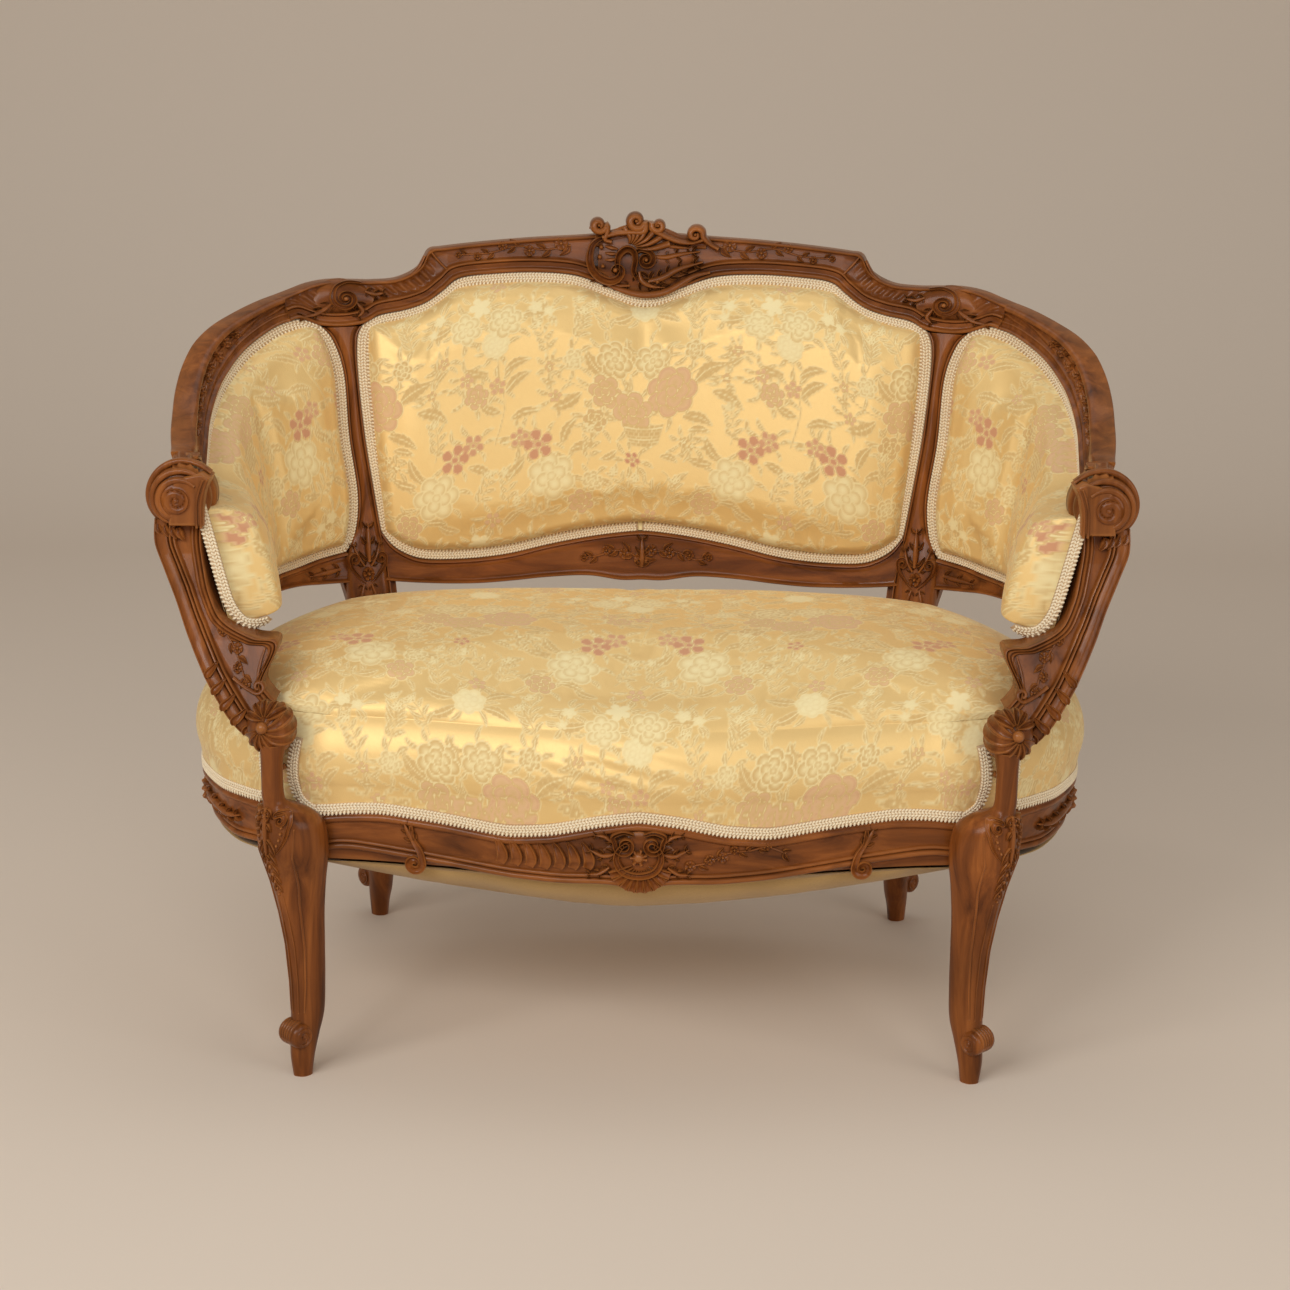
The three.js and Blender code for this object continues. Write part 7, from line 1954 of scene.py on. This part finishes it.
def arm_face(rise, height, forward):
    """A place on the rounded front end of a side pad: distance in from the wood, and height."""
    rise, height, forward = np.broadcast_arrays(*(np.asarray(v, float) for v in (rise, height, forward)))
    v = np.clip((height - 533) / 157, 0.004, 0.996)
    full = 62 * np.sqrt(1 - np.abs(2 * v**0.8 - 1) ** 3)
    share = np.clip(rise / full, 0, 0.97)
    recess = (1 - (1 - share**2) ** (1 / 12)) / 2 * 440
    end = np.interp(height, [533, 568, 618, 659, 690], [865, 866.9, 863.3, 857, 851.7])
    return sheet(end - recess + forward, height, 13.3 + rise + forward * share**2)


gimp("centre_back_gimp", [(sheet, pad_gimp_path(centre_edges), 13.9)], "centre_back_braid")
round_pad = pad_gimp_path(side_edges)
inner_round = round_pad[round_pad[:, 0] < 838]
first_gap = np.argmax(np.linalg.norm(np.diff(inner_round, axis=0), axis=1))
inner_round = np.roll(inner_round, -first_gap - 1, 0)
arm_round = [(-3, 688), (-3, 660), (-3, 630), (-3, 600), (-2, 574), (3, 557), (11, 547), (23, 543.5),
    (33, 543.5), (39, 544.5)]
arm_gimps = [(sheet, inner_round, 13.9), (arm_face, np.array(arm_round)[::-1], 0.5)]
for side in ("right", "left"):
    gimp(side + "_side_back_gimp", arm_gimps, side + "_side_back_braid", mirrored=side == "left")

seat_round = np.concatenate([[0], np.linalg.norm(np.diff(seat_rim, axis=0), axis=1).cumsum()])
front_middle = seat_round[len(seat_u) // 2]
corner_run = seat_round[len(seat_u) - 1] - front_middle
rear_run = seat_round[len(seat_u) + len(seat_v) - 2] - front_middle


def seat_wall_place(run, z, forward):
    """A place on the cover's wall: distance round the rim from the middle of the front, and height."""
    run, z, forward = np.broadcast_arrays(*(np.asarray(v, float) for v in (run, z, forward)))
    at = front_middle + run
    x, y, nx, ny = (np.interp(at, seat_round, values) for values in (*seat_rim.T, *seat_inward.T))
    inset = np.interp(-z, -seat_wall[:, 1], seat_wall[:, 0]) - forward
    return np.stack([x + nx * inset, y + ny * inset - setback, z], -1)


def rail_line(run):
    """Height of the rail's top edge at a run round the rim."""
    share = np.interp(front_middle + np.asarray(run, float), seat_round[: len(seat_u)], seat_u)
    side = np.interp(np.asarray(run, float) - corner_run, [0, rear_run - corner_run], [0, 1])
    return np.where(np.asarray(run) < corner_run, front_top_at(share), side_top_at(side))


post_run = corner_run - 38.0
front_runs = np.linspace(-post_run + 12, post_run - 12, 160)
along_front = np.stack([front_runs, rail_line(front_runs) + 7.2], 1)
right_end, left_end = (np.array([(side * (post_run + 2), 344), (side * (post_run + 7), 356),
    (side * (post_run + 8), 374),
                                 (side * (post_run + 7), 396),
                                 (side * (post_run + 4), 422)]) for side in (1, -1))
front_round = np.concatenate([left_end[::-1], along_front, right_end])[::-1]
gimp("seat_front_gimp", [(seat_wall_place, front_round, 1.8)], "seat_front_braid")
side_start = corner_run + 8.0
side_runs = np.linspace(side_start + 14, rear_run - 30, 110)
side_path = np.concatenate([
    [(side_start + 2, 420), (side_start - 1, 394), (side_start - 1, 372), (side_start + 1, 356),
        (side_start + 5, 346)],
    np.stack([side_runs, rail_line(side_runs) + 7.2], 1)])
for side in ("right", "left"):
    gimp(side + "_seat_side_gimp", [(seat_wall_place, side_path[::-1], 1.8)], side + "_seat_side_braid",
        mirrored=side == "left")


def outside_back(name, edges, columns, rows, node, mirrored=False):
    u, v = np.linspace(0, 1, columns * 4 + 1), np.linspace(0, 1, rows * 4 + 1)
    flat = patch(edges, u, v)
    flat = seat_rim_moved(flat, rim_normal(rim_of(flat)) * -6, u, v, 0.12, 0.12)
    bulge = 5 * hump(u[None, :], 2) * hump(v[:, None], 2)
    far = sheet(flat[..., 0], flat[..., 1], -14.3 - bulge)
    low = flat[::4, ::4]
    near = sheet(low[..., 0], low[..., 1], -12.7 - bulge[::4, ::4])
    rim = rim_of(flat)
    body = quilt(far, [sheet(rim[:, 0], rim[:, 1], -12.7 + 0 * rim[:, 0])], near)
    cloth = np.concatenate([flat.reshape(-1, 2), rim, low.reshape(-1, 2)]) * (-1, 1)
    made = cloth_piece(name, mirror([body])[0] if mirrored else body, cloth - (-200, 690), node)


outside_back("centre_outside_back_brocade", centre_edges, 40, 22, "centre_outside_back")
side_back_edges = side_edges[:3] + [side_edges[3] - (25, 0)]
side_back_edges[0] = np.concatenate([side_edges[0][:-1], side_back_edges[3][:1]])
side_back_edges[1] = np.concatenate([side_edges[1][:-1], side_back_edges[3][-1:]])
outside_back("right_side_outside_back_brocade", side_back_edges, 24, 18, "right_side_outside_back")
outside_back("left_side_outside_back_brocade", side_back_edges, 24, 18, "left_side_outside_back",
    mirrored=True)


# Dust cover: old golden cotton tacked under the seat rails. It has stretched with age, so its middle
# sags below the front rail, with soft folds that run to the tacks.
dust_cotton = plain_cloth("dust_cotton", (0.30, 0.17, 0.055, 1), (0.56, 0.36, 0.13, 1), 600)
dust_cotton.node_tree.nodes["Principled BSDF"].inputs["Sheen Weight"].default_value = 0.2


def dust_cover():
    u, v = np.linspace(0, 1, 97), np.linspace(0, 1, 57)
    flat = patch(seat_edges, u, v)
    flat = seat_rim_moved(flat, rim_normal(rim_of(flat)) * 17, u, v, 0.2, 0.3)
    sag = hump(u[None, :], 1.5) * hump(v[:, None], 5)
    folds = np.sin(flat[..., 0] / 17 + flat[..., 1] / 60) * np.clip(1 - 3 * v[:, None], 0,
        1) + np.sin(flat[..., 0] / 41 - flat[..., 1] / 30)
    level = 267.0 - 56 * sag + 1.3 * folds * np.minimum(1, 6 * sag)
    over = np.concatenate([flat, level[..., None]], -1) - (0, setback, 0)
    rim = rim_of(flat)
    down = np.concatenate([rim, np.full((len(rim), 1), 265.8)], 1) - (0, setback, 0)
    low = over[::8, ::8] - (0, 0, 1.2)
    made = build("dust_cover_cotton", [quilt(over, [down], low)], dust_cotton, "dust_cover", slot="calico",
        crease=None)


dust_cover()


# Webbing: five jute straps from front to back, and three across under them, tacked under the rails.
def webbing_strap(middle, length, along, top):
    """One strap with a slight dip where the others cross it."""
    share = np.linspace(-0.5, 0.5, 61)[:, None]
    half = np.array([-25, -25, 25, 25])
    dip = 0.5 * np.cos(share * 2 * math.pi * 5) - 0.5
    level = top + dip + np.array([-1.6, 0, 0, -1.6])
    run = middle[1 - along] + share * length + 0 * half
    aside = middle[along] + half + 0 * share
    x, y = (aside, run) if along == 0 else (run, aside)
    return loft(np.stack([x, y, level], -1) - (0, setback, 0))


def webbing():
    parts = []
    for x in np.array([-0.62, -0.31, 0, 0.31, 0.62]) * 372:
        front = bow_at(x) + 33
        back = 474 + 54 * (1 - (x / 372) ** 2) - 2
        parts.append(webbing_strap((x, (front + back) / 2), back - front, 0, 271.6))
    for y, reach in ((128, 488), (237, 500), (346, 478)):
        parts.append(webbing_strap((0, y), 2 * reach, 1, 269.4))
    return parts


jute_cloth = plain_cloth("jute_cloth", (0.20, 0.125, 0.06, 1), (0.46, 0.33, 0.18, 1), 420, 0.95, 0.0008)
build("seat_webbing_woven", webbing(), jute_cloth, "seat_webbing", slot="jute")


# Inside the frame: hessian and linings, coil springs, beech corner blocks and dowels.
# These keep the shapes of the CAD parts and only get their materials.
beech_finish = plain_cloth("beech_wood", (0.38, 0.23, 0.11, 1), (0.56, 0.38, 0.21, 1), 60, 0.6, 0.0001)
steel_finish = plain_cloth("spring_steel", (0.13, 0.13, 0.135, 1), (0.42, 0.41, 0.40, 1), 160, 0.42, 0.0001)
steel_finish.node_tree.nodes["Principled BSDF"].inputs["Metallic"].default_value = 0.9
for node_name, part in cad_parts.items():
    finish = None
    if "hessian" in node_name or "lining" in node_name:
        finish = jute_cloth
    elif "dowel" in node_name or "corner_block" in node_name:
        finish = beech_finish
    elif "spring" in node_name:
        finish = steel_finish
    if finish:
        for hold in part.material_slots:
            hold.material = finish
